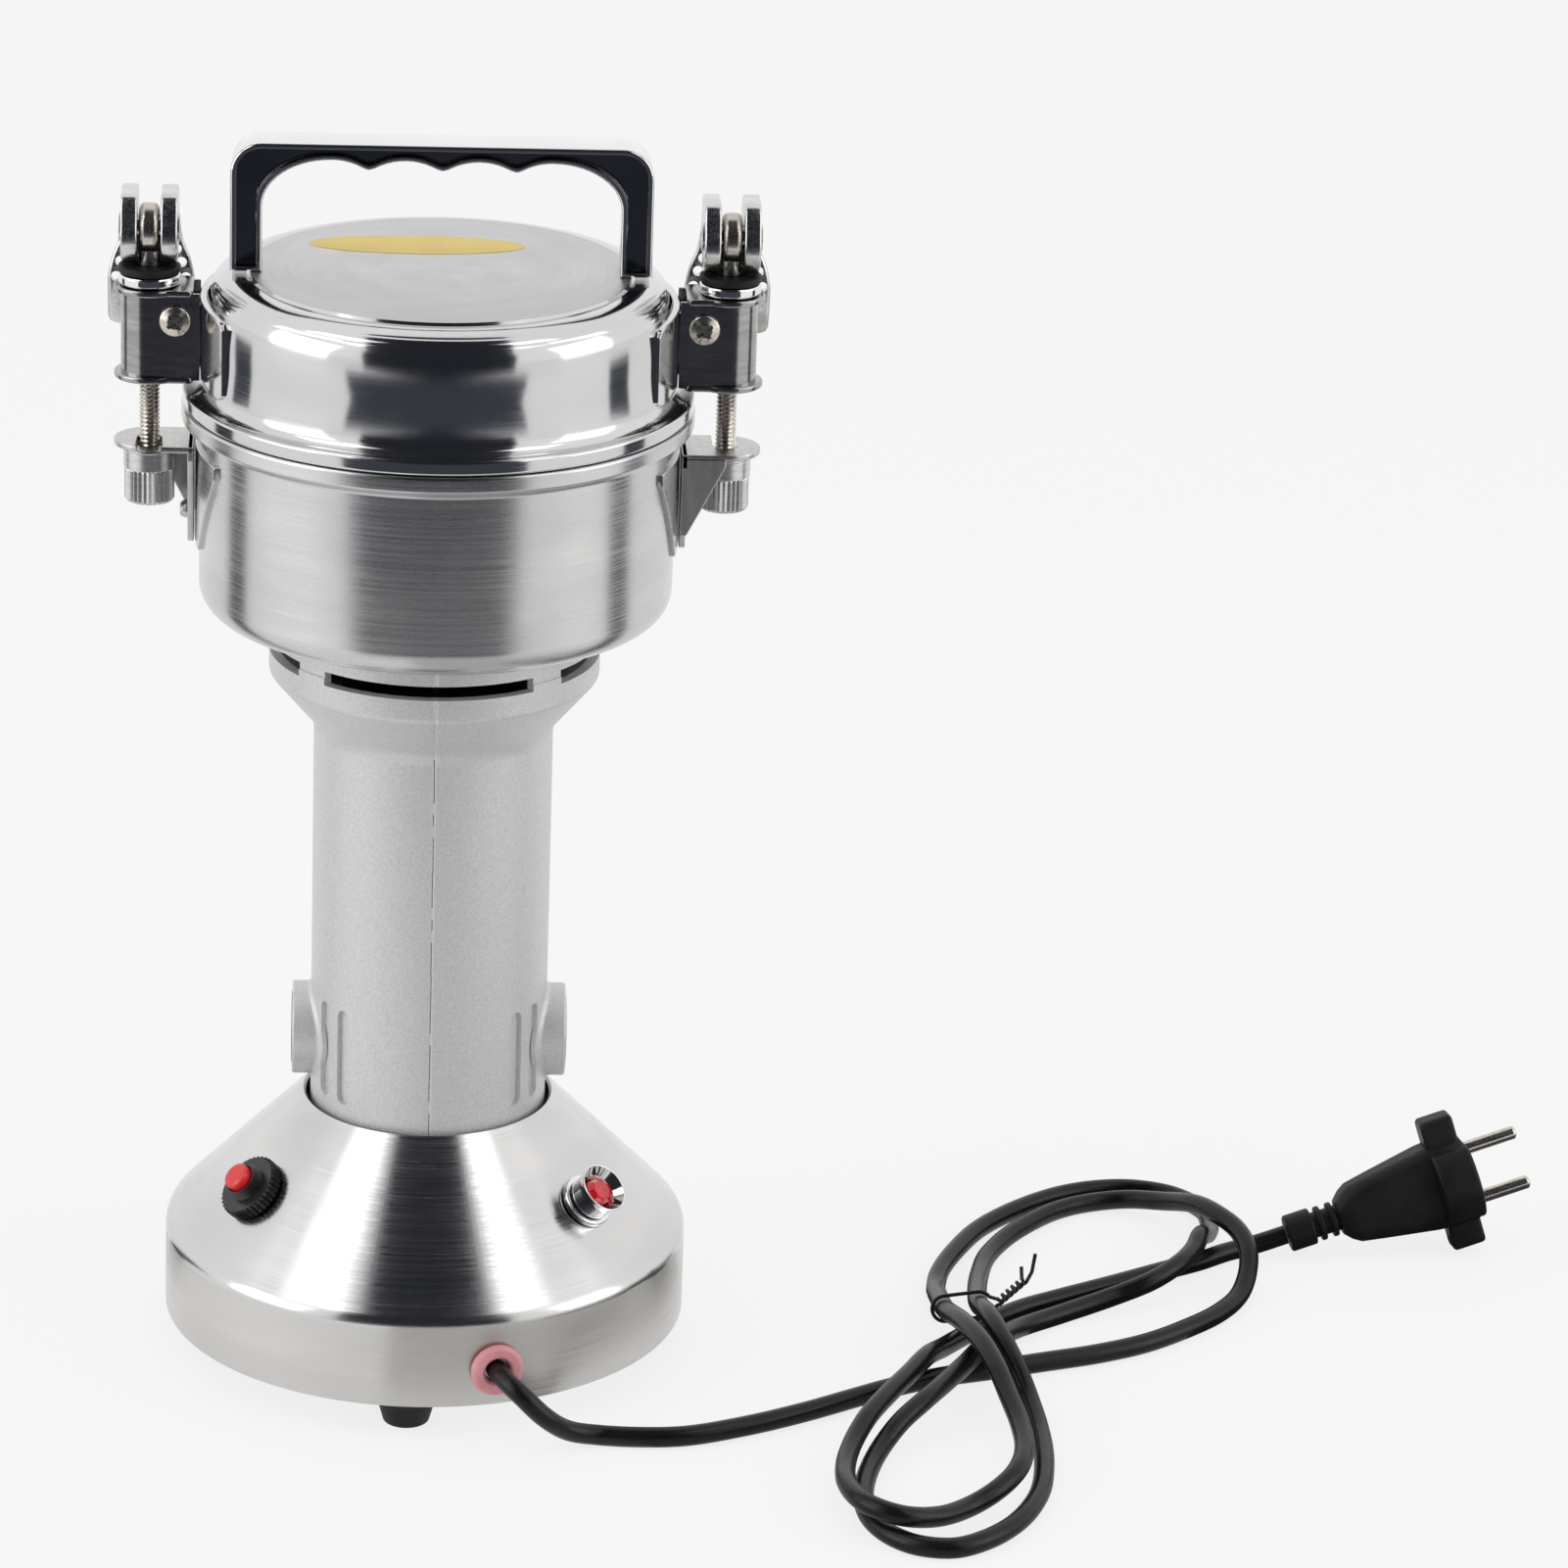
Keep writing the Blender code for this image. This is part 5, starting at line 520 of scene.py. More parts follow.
def tieRoute():
    share = (tieShape["plane"] - cordLine[:-1, 1]) / np.diff(cordLine[:, 1])
    hits = np.nonzero((share >= 0) & (share < 1))[0]
    places = cordLine[hits] + np.diff(cordLine, axis=0)[hits] * share[hits, None]
    top = np.argsort(places[:, 2])[-2:]
    top = top[np.argsort(places[top, 0])]
    left, right = (Vector(places[index]) for index in top)
    headings = [Vector(np.diff(cordLine, axis=0)[hits[index]]).normalized() for index in top]
    across = (right - left).normalized()
    up = across.cross(-(headings[0] + headings[1])).normalized()
    reach = cordShape["radius"] + tieShape["gap"] + tieShape["radius"]
    loop = []
    for centre, start, swing in ((right, pi / 6, pi / 3), (left, pi / 2, pi), (right, -pi / 2, pi / 3)):
        for angle in np.linspace(start, start + swing, round(swing / radians(12)) + 1):
            loop.append(centre + (across * cos(angle) + up * sin(angle)) * reach)
    root = right + across * (reach + tieShape["twistRadius"] * 2)
    axis = Vector(tieShape["twistEnd"]) - root
    side = axis.cross(Vector((0, 0, 1))).normalized()
    over = side.cross(axis).normalized()
    strands = []
    for phase in (pi / 2, -pi / 2):
        strand = []
        for share in np.linspace(0, 1, 45):
            turn = phase + 2 * pi * tieShape["twistTurns"] * share
            swing = side * cos(turn) + over * sin(turn)
            strand.append(root + axis * share + swing * tieShape["twistRadius"])
        strands.append(strand)
    ends = [[Vector(tieShape["tip"]), Vector(tieShape["bend"])], [Vector(tieShape["spur"])]]
    return np.array(ends[0] + strands[0][::-1] + loop + strands[1] + ends[1])


cordTie = addWire("cordTie", tieRoute(), tieShape["radius"], "blackPlastic", "base", ["cord_tie"],
                  3)
print("stage: cord laid")

# Heights that the pieces share
floors = {"base": 12 * mm, "wallTop": 42 * mm, "coneTop": 88.6 * mm, "tube": 14.1 * mm, "flare": 220.6 * mm,
          "flareTop": 238.0 * mm, "slot": 245.5 * mm, "slotTop": 250.1 * mm, "housingTop": 259.7 * mm,
          "cup": 260.0 * mm, "rimTop": 329.3 * mm, "lid": 329.6 * mm, "lidTop": 373.3 * mm,
          "brush": 110.1 * mm, "bracketTop": 315.5 * mm, "box": 336.3 * mm, "boxTop": 367.0 * mm,
          "pivot": 385.4 * mm}
gap = 0.3 * mm


# Base, with its feet
baseShape = {"radius": 87.5 * mm, "shoulder": 6 * mm, "sheet": 1.2 * mm, "topRadius": 41.6 * mm}


# A path and the same path moved by the sheet's thickness to its left make one closed outline
def sheetOutline(path, thickness):
    before = np.vstack([path[1] - path[0], np.diff(path, axis=0)])
    after = np.vstack([np.diff(path, axis=0), path[-1] - path[-2]])
    first = np.stack([-before[:, 1], before[:, 0]], 1) / np.linalg.norm(before, axis=1)[:, None]
    second = np.stack([-after[:, 1], after[:, 0]], 1) / np.linalg.norm(after, axis=1)[:, None]
    middle = (first + second) / np.linalg.norm(first + second, axis=1)[:, None]
    inside = path + middle * thickness / (middle * first).sum(1)[:, None]
    return np.vstack([path, inside[::-1]])


basePath = rounded(((baseShape["radius"], floors["base"]),
                    (baseShape["radius"], floors["wallTop"], baseShape["shoulder"]),
                    (baseShape["topRadius"], floors["coneTop"])), 12, closed=False)
baseShell = addPiece("baseShell", [spun(sheetOutline(basePath, baseShape["sheet"]), 224)], "baseSteel",
                     "base", ["base_shell"], crease=40)


# Faces that a test picks, by their middle, take a second finish
def refinish(piece, finish, test):
    piece.data.materials.append(finishes[finish])
    middles = np.empty(len(piece.data.polygons) * 3)
    piece.data.polygons.foreach_get("center", middles)
    picked = test(*middles.reshape(-1, 3).T)
    piece.data.polygons.foreach_set("material_index",
                                    picked.astype(np.int32) * (len(piece.data.materials) - 1))


refinish(baseShell, "wallSteel", lambda x, y, z: z < floors["wallTop"] - 2.5 * mm)

footShape = {"circle": 72 * mm, "azimuth": -5,
             "profile": ((0, 0), (2.5, 0), (3.1, 0.8), (5.2, 0.8), (5.8, 0), (7.5, 0, 1.5), (9.9, 8.6, 3),
                         (10.8, 9.6, 0.6), (10.8, 12, 0.3), (4, 12), (4, 14.1), (5.5, 14.1, 0.4), (4, 16.5),
                         (0, 16.5))}
for number, node in enumerate(("foot_front", "foot_right", "foot_back", "foot_left")):
    angle = radians(footShape["azimuth"] + 90 * number - 90)
    place = shift(footShape["circle"] * cos(angle), footShape["circle"] * sin(angle), 0)
    foot = spun(rounded(placed(footShape["profile"]), 5), 64)
    addPiece("rubberFoot" + str(number + 1), [moved(foot, place)], "blackRubber", "base", [node])
print("stage: base")

# Motor housing: one turned casting with bosses, air slots and side slots
housingShape = {"tube": 39.3 * mm, "wall": 3 * mm, "flare": 54.1 * mm, "foot": 9 * mm, "edge": 3 * mm,
                "crownStep": 0.4 * mm, "bossRadius": 15.5 * mm, "bossReach": 45.5 * mm, "recess": 12.6 * mm,
                "recessDepth": 1.6 * mm, "bossFillet": 1.8 * mm, "slotSpan": 77, "slotAzimuth": -3,
                "sideSlots": (28.5, 43.5), "sideDepth": 1.7 * mm, "sideWidth": 5.5 * mm,
                "sideLength": 33.3 * mm, "seamWidth": 0.45 * mm, "seamDepth": 0.40 * mm, "bore": 9.2 * mm,
                "boreDepth": 8 * mm, "faceEdge": 0.8 * mm, "crownUnder": 256.7 * mm, "shaftHole": 8.3 * mm,
                "seat": (11.3 * mm, 247.2 * mm, 254.8 * mm), "seatOuter": 16 * mm,
                "sideRows": ((-0.35 * mm, 0.0), (0, 0.12 * mm), (0.3 * mm, 0.35 * mm), (3 * mm, 0.35 * mm))}
capShape = {"place": 43.95 * mm,
            "profile": ((0, -8), (8.6, -8), (8.6, 0), (12.3, 0), (12.3, 1.8, 0.5), (0, 1.8)),
            "slotHalf": 0.9 * mm, "slotReach": 9 * mm, "slotFloor": 44.7 * mm}


# The casting's front seam: at the front of the tube the radius falls by exp(-(arc / width)^2), and the depth
# is uneven along the tube by two sine waves
def seamRidge(radius, height, angle):
    arcLength = np.abs((angle + pi / 2 + pi) % (2 * pi) - pi) * radius
    uneven = 0.65 + 0.25 * np.sin(height * 900) + 0.10 * np.sin(height * 2350 + 1)
    onWall = (radius > housingShape["tube"] - 0.1 * mm) & (height > floors["coneTop"] - 10 * mm)
    depth = housingShape["seamDepth"] * uneven * onWall * (height < floors["housingTop"])
    return radius - depth * np.exp(-(arcLength / housingShape["seamWidth"]) ** 2)


def housingProfile():
    tube, wall, flare = housingShape["tube"], housingShape["wall"], housingShape["flare"]
    bore, crown, inner = tube - wall, flare - housingShape["crownStep"], flare - wall
    step = (floors["slot"] + floors["slotTop"]) / 2
    under = housingShape["crownUnder"]
    seat, seatLow, seatTop = housingShape["seat"]
    return rounded((
        (bore, floors["tube"]), (tube, floors["tube"], 0.5 * mm),
        (tube, floors["flare"], housingShape["foot"]), (flare, floors["flareTop"], housingShape["edge"]),
        (flare, step), (crown, step), (crown, floors["housingTop"], 0.5 * mm),
        (housingShape["shaftHole"], floors["housingTop"]), (housingShape["shaftHole"], seatTop),
        (seat, seatTop),
        (seat, seatLow), (housingShape["seatOuter"], seatLow), (housingShape["seatOuter"], under),
        (crown - wall, under), (crown - wall, floors["flareTop"]),
        (inner - 0.4 * mm, floors["flareTop"] - 0.4 * mm),
        (bore, floors["flare"] + 0.4 * mm, housingShape["foot"]),
    ), 9)


# More rows on the long straight wall, so that the seam's unevenness has points to stand on
def finer(profile, longest):
    after = np.roll(profile, -1, 0)
    rows = [np.linspace(a, b, max(1, int(np.linalg.norm(b - a) / longest)) + 1)[:-1]
            for a, b in zip(profile, after)]
    return np.vstack(rows)


# Angles bunch at the front, by t = a - 0.9 sin a, so that the narrow seam is smooth
def seamedTube():
    profile = finer(housingProfile(), 4 * mm)
    even = np.linspace(-pi, pi, 224, endpoint=False)
    angle = even - 0.9 * np.sin(even) - pi / 2
    radius = np.repeat(profile[:, :1], len(angle), 1)
    height = np.repeat(profile[:, 1:2], len(angle), 1)
    radius = seamRidge(radius, height, angle[None, :])
    return skin(np.stack([radius * np.cos(angle), radius * np.sin(angle), height], -1), ends=False,
                closed=True)


# Boss point at angle t and distance s: x runs from the tube's wall, over a fillet of radius f, to the face
def bossPart(side):
    shape = housingShape
    measures = ("bossReach", "faceEdge", "bossFillet", "bossRadius", "recess")
    reach, edge, fillet, radius, recess = (shape[measure] for measure in measures)
    angle = np.arange(96) * 2 * pi / 96
    def wallAt(distance):
        return np.sqrt(shape["tube"] ** 2 - (distance * np.cos(angle)) ** 2)
    rings = [(wallAt(radius + fillet) - 1.5 * mm, radius + fillet)]
    for turn in np.linspace(0, pi / 2, 8):
        distance = radius + fillet * (1 - sin(turn))
        rings.append((np.minimum(wallAt(distance) + fillet * (1 - cos(turn)) - 0.05 * mm, reach - edge),
                      distance))
    rings += [(reach - edge * (1 - sin(turn)), radius - edge * (1 - cos(turn)))
              for turn in np.linspace(0, pi / 2, 5)]
    rings += [(reach, recess + 0.3 * mm), (reach - 0.3 * mm, recess),
              (reach - shape["recessDepth"], recess),
              (reach - shape["recessDepth"], shape["bore"]), (reach - shape["boreDepth"], shape["bore"])]
    loops = [np.stack([side * x * np.ones(96), distance * np.cos(angle),
                       floors["brush"] + distance * np.sin(angle)], 1)
             for x, distance in rings]
    return skin(loops)


def capsuleOutline(width, length, steps=10):
    straight = (length - width) / 2
    return np.vstack([arc((0, straight), width / 2, 0, pi, steps),
                      arc((0, -straight), width / 2, pi, 2 * pi, steps)])


def makeHousing():
    shape = housingShape
    housing = addPiece("motorHousing", [seamedTube()], "castAlloy", "base", ["motor_housing"],
                       crease=40)
    cutters = []
    half = radians(shape["slotSpan"]) / 2
    for number in range(4):
        middle = radians(shape["slotAzimuth"] - 90 + 90 * number)
        inner, outer = shape["flare"] - shape["wall"] - 2 * mm, shape["flare"] + 2 * mm
        outline = np.vstack([arc((0, 0), outer, middle - half, middle + half, 40),
                             arc((0, 0), inner, middle + half, middle - half, 40)])
        cutters.append(slab(outline, floors["slot"], floors["slotTop"], 0.05 * mm, 1))
    for bossAngle in (0, pi):
        for azimuth in shape["sideSlots"]:
            for side in (-1, 1):
                outline = capsuleOutline(shape["sideWidth"], shape["sideLength"])[:, ::-1]
                loops = [np.column_stack([outline,
                                          np.full(len(outline), shape["tube"] - shape["sideDepth"])])]
                for rise, spread in shape["sideRows"]:
                    loop = drawnIn(outline, -spread)
                    loops.append(np.column_stack([loop, np.full(len(loop), shape["tube"] + rise)]))
                upright = shift(0, 0, floors["brush"]) @ Matrix.Rotation(pi / 2, 4, "Y")
                cutters.append(moved(skin(loops), aboutZ(bossAngle + side * radians(azimuth)) @ upright))
    reshape(housing, cutters, crease=40)
    refinish(housing, "seamShade",
             lambda x, y, z: (y < -38 * mm) & (np.abs(x + 0.03 * mm * np.sin(z * 260)) < 0.17 * mm)
             & (z < floors["flare"]) & (np.sin(z * 700) + np.sin(z * 1730) > -1.1))
    for name, side, node in (("bossLeft", -1, "brush_cap_left"), ("bossRight", 1, "brush_cap_right")):
        addPiece(name, [bossPart(side)], "castAlloy", "base", crease=40)
        lying = Matrix.Rotation(side * pi / 2, 4, "Y")
        turned = moved(spun(rounded(placed(capShape["profile"])), 72), lying)
        cap = addPiece(name.replace("boss", "brushCap"),
                       [moved(turned, shift(side * capShape["place"], 0, floors["brush"]))],
                       "blackPlastic", "base", [node])
        half, length = capShape["slotHalf"], capShape["slotReach"]
        slot = slab(softBox(-half, half, -length, length, 0.4 * mm, 6), capShape["slotFloor"], 47 * mm,
                    0.1 * mm, 1)
        reshape(cap, [moved(moved(slot, lying), shift(0, 0, floors["brush"]))])


makeHousing()
print("stage: motor housing")

# Grinding cup, with the seats that carry the brackets
cupShape = {"radius": 77 * mm, "sheet": 1.5 * mm, "corner": 8.5 * mm, "rim": 82.8 * mm,
            "rimHeight": 5.1 * mm, "edge": 1 * mm, "slope": 3 * mm, "hole": 9 * mm, "seatSheet": 1.3 * mm,
            "seatTop": 24, "seatFoot": 10, "seatHeight": 34 * mm, "seatShoulder": 4.5 * mm}


def cupProfile():
    shape = cupShape
    rimFoot = floors["rimTop"] - shape["rimHeight"]
    bore = shape["radius"] - shape["sheet"]
    return rounded((
        (shape["hole"], floors["cup"]), (shape["radius"], floors["cup"], shape["corner"]),
        (shape["radius"], rimFoot - shape["slope"], 1.5 * mm), (shape["rim"], rimFoot, shape["edge"]),
        (shape["rim"], floors["rimTop"], shape["edge"]), (bore, floors["rimTop"], 0.4 * mm),
        (bore, floors["cup"] + shape["sheet"], shape["corner"] - shape["sheet"]),
        (shape["hole"], floors["cup"] + shape["sheet"]),
    ), 10)


# A plate on a round wall: its section is a rectangle with soft corners between low(t) and high(t), carried
# round by t
def curvedPlate(inner, outer, spans, soft=0.4 * mm):
    angles = [span[0] for span in spans]
    fine = np.linspace(angles[0], angles[-1], 49)
    low = np.interp(fine, angles, [span[1] for span in spans])
    high = np.interp(fine, angles, [span[2] for span in spans])
    loops = []
    for t, bottom, top in zip(fine, low, high):
        section = rounded(((inner, bottom), (outer, bottom, soft), (outer, top, soft), (inner, top)), 4)
        loops.append(np.column_stack([section[:, 0] * cos(t), section[:, 0] * sin(t), section[:, 1]]))
    return skin(loops)


def seatSpans():
    top = floors["bracketTop"]
    foot, shoulder = top - cupShape["seatHeight"], top - cupShape["seatShoulder"]
    wide, narrow = radians(cupShape["seatTop"]), radians(cupShape["seatFoot"])
    right = [(narrow * 0.8, foot, top), (narrow, foot + 0.4 * mm, top),
             (wide * 0.97, shoulder - 1.2 * mm, top), (wide, shoulder, top - 0.6 * mm)]
    return [(-t, low, high) for t, low, high in right[::-1]] + right


cupParts = [spun(cupProfile(), 240)]
seat = curvedPlate(cupShape["radius"] - 0.7 * mm, cupShape["radius"] + cupShape["seatSheet"], seatSpans())
for halfTurn in (0, pi):
    cupParts.append(moved(seat, aboutZ(halfTurn)))
addPiece("grindingCup", cupParts, "cupSteel", "base", ["grinding_cup"], crease=38)
print("stage: cup")

# Lid, with its lugs and tongues, its gasket and the sticker. Its side is an S: r = radius - lean s |s|,
# where s runs from 1 to -1
lidShape = {"radius": 75.5 * mm, "sheet": 1.5 * mm, "shoulder": 10 * mm, "tilt": 0.11, "disc": 62.2 * mm,
            "step": 1 * mm, "bead": 82.5 * mm, "beadHeight": 4.9 * mm, "beadWidth": 2.5 * mm,
            "flare": 4.5 * mm, "lugSheet": 1.5 * mm, "lugSpan": 26, "lugLow": 7.4 * mm,
            "lugHigh": 34.4 * mm, "gasketWidth": 3.8 * mm, "gasketHeight": 3.2 * mm,
            "gasketBore": 75.9 * mm}
tongueShape = {"near": 74.8 * mm, "far": 88.5 * mm, "half": 7.3 * mm, "low": 341.3 * mm, "high": 362 * mm}


def lidProfile():
    shape = lidShape
    low, top, tilt = floors["lid"], floors["lidTop"], shape["tilt"]
    inner, beadBore = shape["radius"] - shape["sheet"], shape["bead"] - shape["beadWidth"]
    ledge, flareLow = top - shape["step"], low + shape["beadHeight"]
    high, foot = ledge - shape["shoulder"] * (1 - sin(tilt)), flareLow + shape["flare"] * (1 - sin(tilt))
    share = np.linspace(1, -1, 17)
    lean = (high - foot) / 4 * tan(tilt)
    side = np.column_stack([shape["radius"] - lean * share * np.abs(share),
                            (high + foot) / 2 + (high - foot) / 2 * share])
    shoulder = arc((side[0][0] - shape["shoulder"] * cos(tilt), ledge - shape["shoulder"]),
                   shape["shoulder"], pi / 2, tilt, 14)
    flare = arc((side[-1][0] + shape["flare"] * cos(tilt), flareLow + shape["flare"]), shape["flare"],
                pi + tilt, 1.5 * pi, 12)
    disc = rounded(((0, top), (shape["disc"] - shape["step"], top, 0.35 * mm),
                    (shape["disc"], ledge, 0.25 * mm),
                    tuple(shoulder[0])), 10, closed=False)
    gasketTop = low + shape["gasketHeight"] + gap
    lower = rounded((
        tuple(flare[-1]), (shape["bead"], flareLow, 1 * mm), (shape["bead"], low, 1 * mm),
        (beadBore, low, 0.4 * mm), (beadBore, gasketTop),
        (shape["radius"] + 0.1 * mm, gasketTop), (shape["radius"] + 0.1 * mm, low), (inner, low),
        (inner, ledge - shape["shoulder"]), (side[0][0] - shape["sheet"], ledge - shape["shoulder"]),
        (side[0][0] - shape["sheet"], ledge - shape["sheet"], shape["shoulder"] - shape["sheet"]),
        (shape["disc"] - shape["sheet"], ledge - shape["sheet"]),
        (shape["disc"] - shape["sheet"] - shape["step"], top - shape["sheet"]), (0, top - shape["sheet"]),
    ), 8, closed=False)
    return np.vstack([disc, shoulder[1:], side[1:], flare[1:-1], lower])


def lugSpans():
    low, high = floors["lid"] + lidShape["lugLow"], floors["lid"] + lidShape["lugHigh"]
    half = radians(lidShape["lugSpan"])
    spans = []
    for share in (1.0, 0.985, 0.95, 0.90, 0.80, 0.70):
        inset = (high - low) * 0.10 * (1 - sqrt(max(0.0, 1 - ((share - 0.7) / 0.3) ** 2)))
        spans.append((-half * share, low + inset, high - inset))
    return spans + [(-t, low, high) for t, low, high in spans[::-1]]


lidParts = [spun(lidProfile(), 256)]
near, far, half = tongueShape["near"], tongueShape["far"], tongueShape["half"]
tongue = slab(rounded(((near, -half), (far, -half, 1 * mm), (far, half, 1 * mm), (near, half)), 4),
              tongueShape["low"], tongueShape["high"], 0.4 * mm)
lug = curvedPlate(lidShape["radius"] - 0.7 * mm, lidShape["radius"] + lidShape["lugSheet"], lugSpans())
for halfTurn in (0, pi):
    lidParts += [moved(lug, aboutZ(halfTurn)), moved(tongue, aboutZ(halfTurn))]
lidPiece = addPiece("lidShell", lidParts, "lidSteel", "lid", ["lid_shell"], crease=38)
refinish(lidPiece, "discSteel",
         lambda x, y, z: (z > floors["lidTop"] - 0.05 * mm) & (np.hypot(x, y) < lidShape["disc"]))
ringProfile = softBox(lidShape["gasketBore"], lidShape["gasketBore"] + lidShape["gasketWidth"],
                      floors["lid"], floors["lid"] + lidShape["gasketHeight"], 0.6 * mm)
addPiece("lidGasket", [spun(ringProfile, 200)], "greyRubber", "gasket", ["lid_gasket"])

stickerShape = {"length": 70 * mm, "width": 22 * mm, "place": (-7.5 * mm, 28 * mm), "thickness": 0.12 * mm}
oval = np.linspace(0, 2 * pi, 97)[:-1]
stickerOutline = np.stack([stickerShape["place"][0] + stickerShape["length"] / 2 * np.cos(oval),
                           stickerShape["place"][1] + stickerShape["width"] / 2 * np.sin(oval)], 1)
addPiece("lidSticker", [slab(stickerOutline, floors["lidTop"] - 0.02 * mm,
                             floors["lidTop"] + stickerShape["thickness"], 0.03 * mm, 2)],
         "yellowSticker", "lid", crease=50)
print("stage: lid")

# Handle: loops of its outline, each drawn in and set forward, round the rims and down into the two channels
handleShape = {"half": 67.3 * mm, "low": 373.6 * mm, "top": 415.5 * mm, "depth": 16 * mm, "corner": 10 * mm,
               "leg": 10.1 * mm, "bar": 5 * mm, "cusp": 3.8 * mm, "pitch": 23.4 * mm, "shoulder": 15.5 * mm,
               "rim": 1.6 * mm, "channel": 3 * mm, "edge": 0.8 * mm, "cuspSoft": 2.5 * mm}


def handleOutline(inset):
    shape = handleShape
    half, top, low = shape["half"] - inset, shape["top"] - inset, shape["low"] + inset
    inner = shape["half"] - shape["leg"] + inset
    archTop = shape["top"] - shape["bar"] + inset
    radius = (shape["pitch"] ** 2 / 4 + shape["cusp"] ** 2) / (2 * shape["cusp"])
    halfAngle = asin(shape["pitch"] / 2 / radius)
    shoulderStart = shape["pitch"] * 1.5
    width = inner - shoulderStart
    turn = np.linspace(0, pi / 2, 15)
    outer = rounded(((-half, low), (-half, top, shape["corner"] - inset),
                     (half, top, shape["corner"] - inset), (half, low), (inner, low)), 12, closed=False)
    right = np.stack([shoulderStart + width * np.cos(turn),
                      archTop - shape["shoulder"] * (1 - np.sin(turn))], 1)
    arches = []
    for middle in (1.5, 0.5, -0.5, -1.5):
        start = pi / 2 - halfAngle if abs(middle) < 1 or middle < 0 else pi / 2
        end = pi / 2 + halfAngle if abs(middle) < 1 or middle > 0 else pi / 2
        arches.append(arc((middle * shape["pitch"], archTop - radius), radius, start, end, 12)[1:])
    left = (right * (-1, 1))[::-1][1:]
    wave = np.vstack(arches)
    for middle in (1, 0, -1):
        near = np.abs(wave[:, 0] - middle * shape["pitch"])
        slope = shape["pitch"] / 2 / radius
        wave[:, 1] += (shape["cuspSoft"] - near).clip(0) ** 2 / (2 * shape["cuspSoft"]) * slope
    return np.vstack([outer, right, wave, left, [(-inner, low)]])


def makeHandle():
    shape = handleShape
    depth, edge, rim = shape["depth"] / 2, shape["edge"], shape["rim"]
    floor = depth - shape["channel"]
    rows = [(rim + 0.7 * mm, floor), (rim + 0.5 * mm, floor), (rim + 0.15 * mm, floor + 0.15 * mm),
            (rim, floor + 0.6 * mm), (rim, depth - 0.35 * mm), (rim - 0.1 * mm, depth - 0.08 * mm)]
    rows += [(edge * (1 - sin(turn)), depth - edge * (1 - cos(turn))) for turn in np.linspace(0, pi / 2, 6)]
    loops = []
    for inset, reach in rows:
        outline = handleOutline(inset)
        loops.append(np.column_stack([outline[:, 0], np.full(len(outline), -reach), outline[:, 1]]))
    back = [loop * (1, -1, 1) for loop in loops[::-1]]
    handle = addPiece("lidHandle", [skin(loops + back)], "mirrorChrome", "lid", ["lid_handle"],
                      crease=35)
    # The channels' floors and sides take the darker chrome, a painted dark reflection
    refinish(handle, "channelPaintedDarkReflection",
             lambda x, y, z: (np.abs(y) > floor - 0.1 * mm) & (np.abs(y) < depth - 0.3 * mm))


makeHandle()
print("stage: handle")

# Clamps: every part is made about its bolt's axis, +X away from the mill
clampShape = {
    "axis": 93 * mm, "bolt": 3.4 * mm, "halfDepth": 9.2 * mm, "sheet": 1.6 * mm, "wallEnd": -16.2 * mm,
    "plate": 2 * mm, "plateRadius": 11.4 * mm, "plateEnd": -14.1 * mm, "plateSpill": 0.5 * mm,
    "washer": 10 * mm, "washerBore": 3.8 * mm, "chromeWasher": (367.3 * mm, 370.7 * mm),
    "rubberWasher": (371.0 * mm, 373.3 * mm), "cam": 11.8 * mm, "fall": 3.2 * mm, "fallSpan": 120,
    "flatAt": 110, "cheek": 5.3 * mm, "cheekGap": 7.5 * mm, "eye": 8 * mm, "eyeBore": 3.8 * mm,
    "eyeWidth": 6.4 * mm, "pin": 3.5 * mm, "pitch": 1.4 * mm, "threadDepth": 0.60 * mm,
    "threadTop": 346 * mm, "shankTop": 379.5 * mm, "tip": 297.0 * mm,
}


def boxParts():
    shape = clampShape
    depth, wallEnd, inner = shape["halfDepth"], shape["wallEnd"], shape["halfDepth"] - shape["sheet"]
    outline = np.vstack([[(wallEnd, -depth)], arc((0, 0), depth, -pi / 2, pi / 2, 24),
                         [(wallEnd, depth), (wallEnd, inner)], arc((0, 0), inner, pi / 2, -pi / 2, 24),
                         [(wallEnd, -inner)]])
    parts = [slab(outline, floors["box"] + 1 * mm, floors["boxTop"] - 1 * mm, 0.2 * mm, 1)]
    half, end = depth + shape["plateSpill"], shape["plateEnd"]
    angle = pi - asin(half / shape["plateRadius"])
    start = shape["plateRadius"] * cos(angle)
    neck = rounded(((start, half), (end, half, 2 * mm), (end, -half, 2 * mm), (start, -half)), 6,
                   closed=False)
    plate = np.vstack([arc((0, 0), shape["plateRadius"], -angle, angle, 48), neck[1:-1]])
    for low in (floors["box"], floors["boxTop"] - shape["plate"]):
        parts.append(slab(plate, low, low + shape["plate"], 0.55 * mm, 5))
    return parts, roundHole(shape["bolt"] + 0.4 * mm, floors["box"] - 3 * mm, floors["boxTop"] + 3 * mm, 32)


screwShape = {"inset": 8.4 * mm, "height": 357.2 * mm, "arm": 3.0 * mm, "half": 0.65 * mm,
              "recess": 1.1 * mm,
              "head": ((0, -2.4), (2.4, -2.4, 1.5), (5, -1.0, 1.6), (5, 0, 0.2), (2.5, 0)),
              "shank": 2.5 * mm}


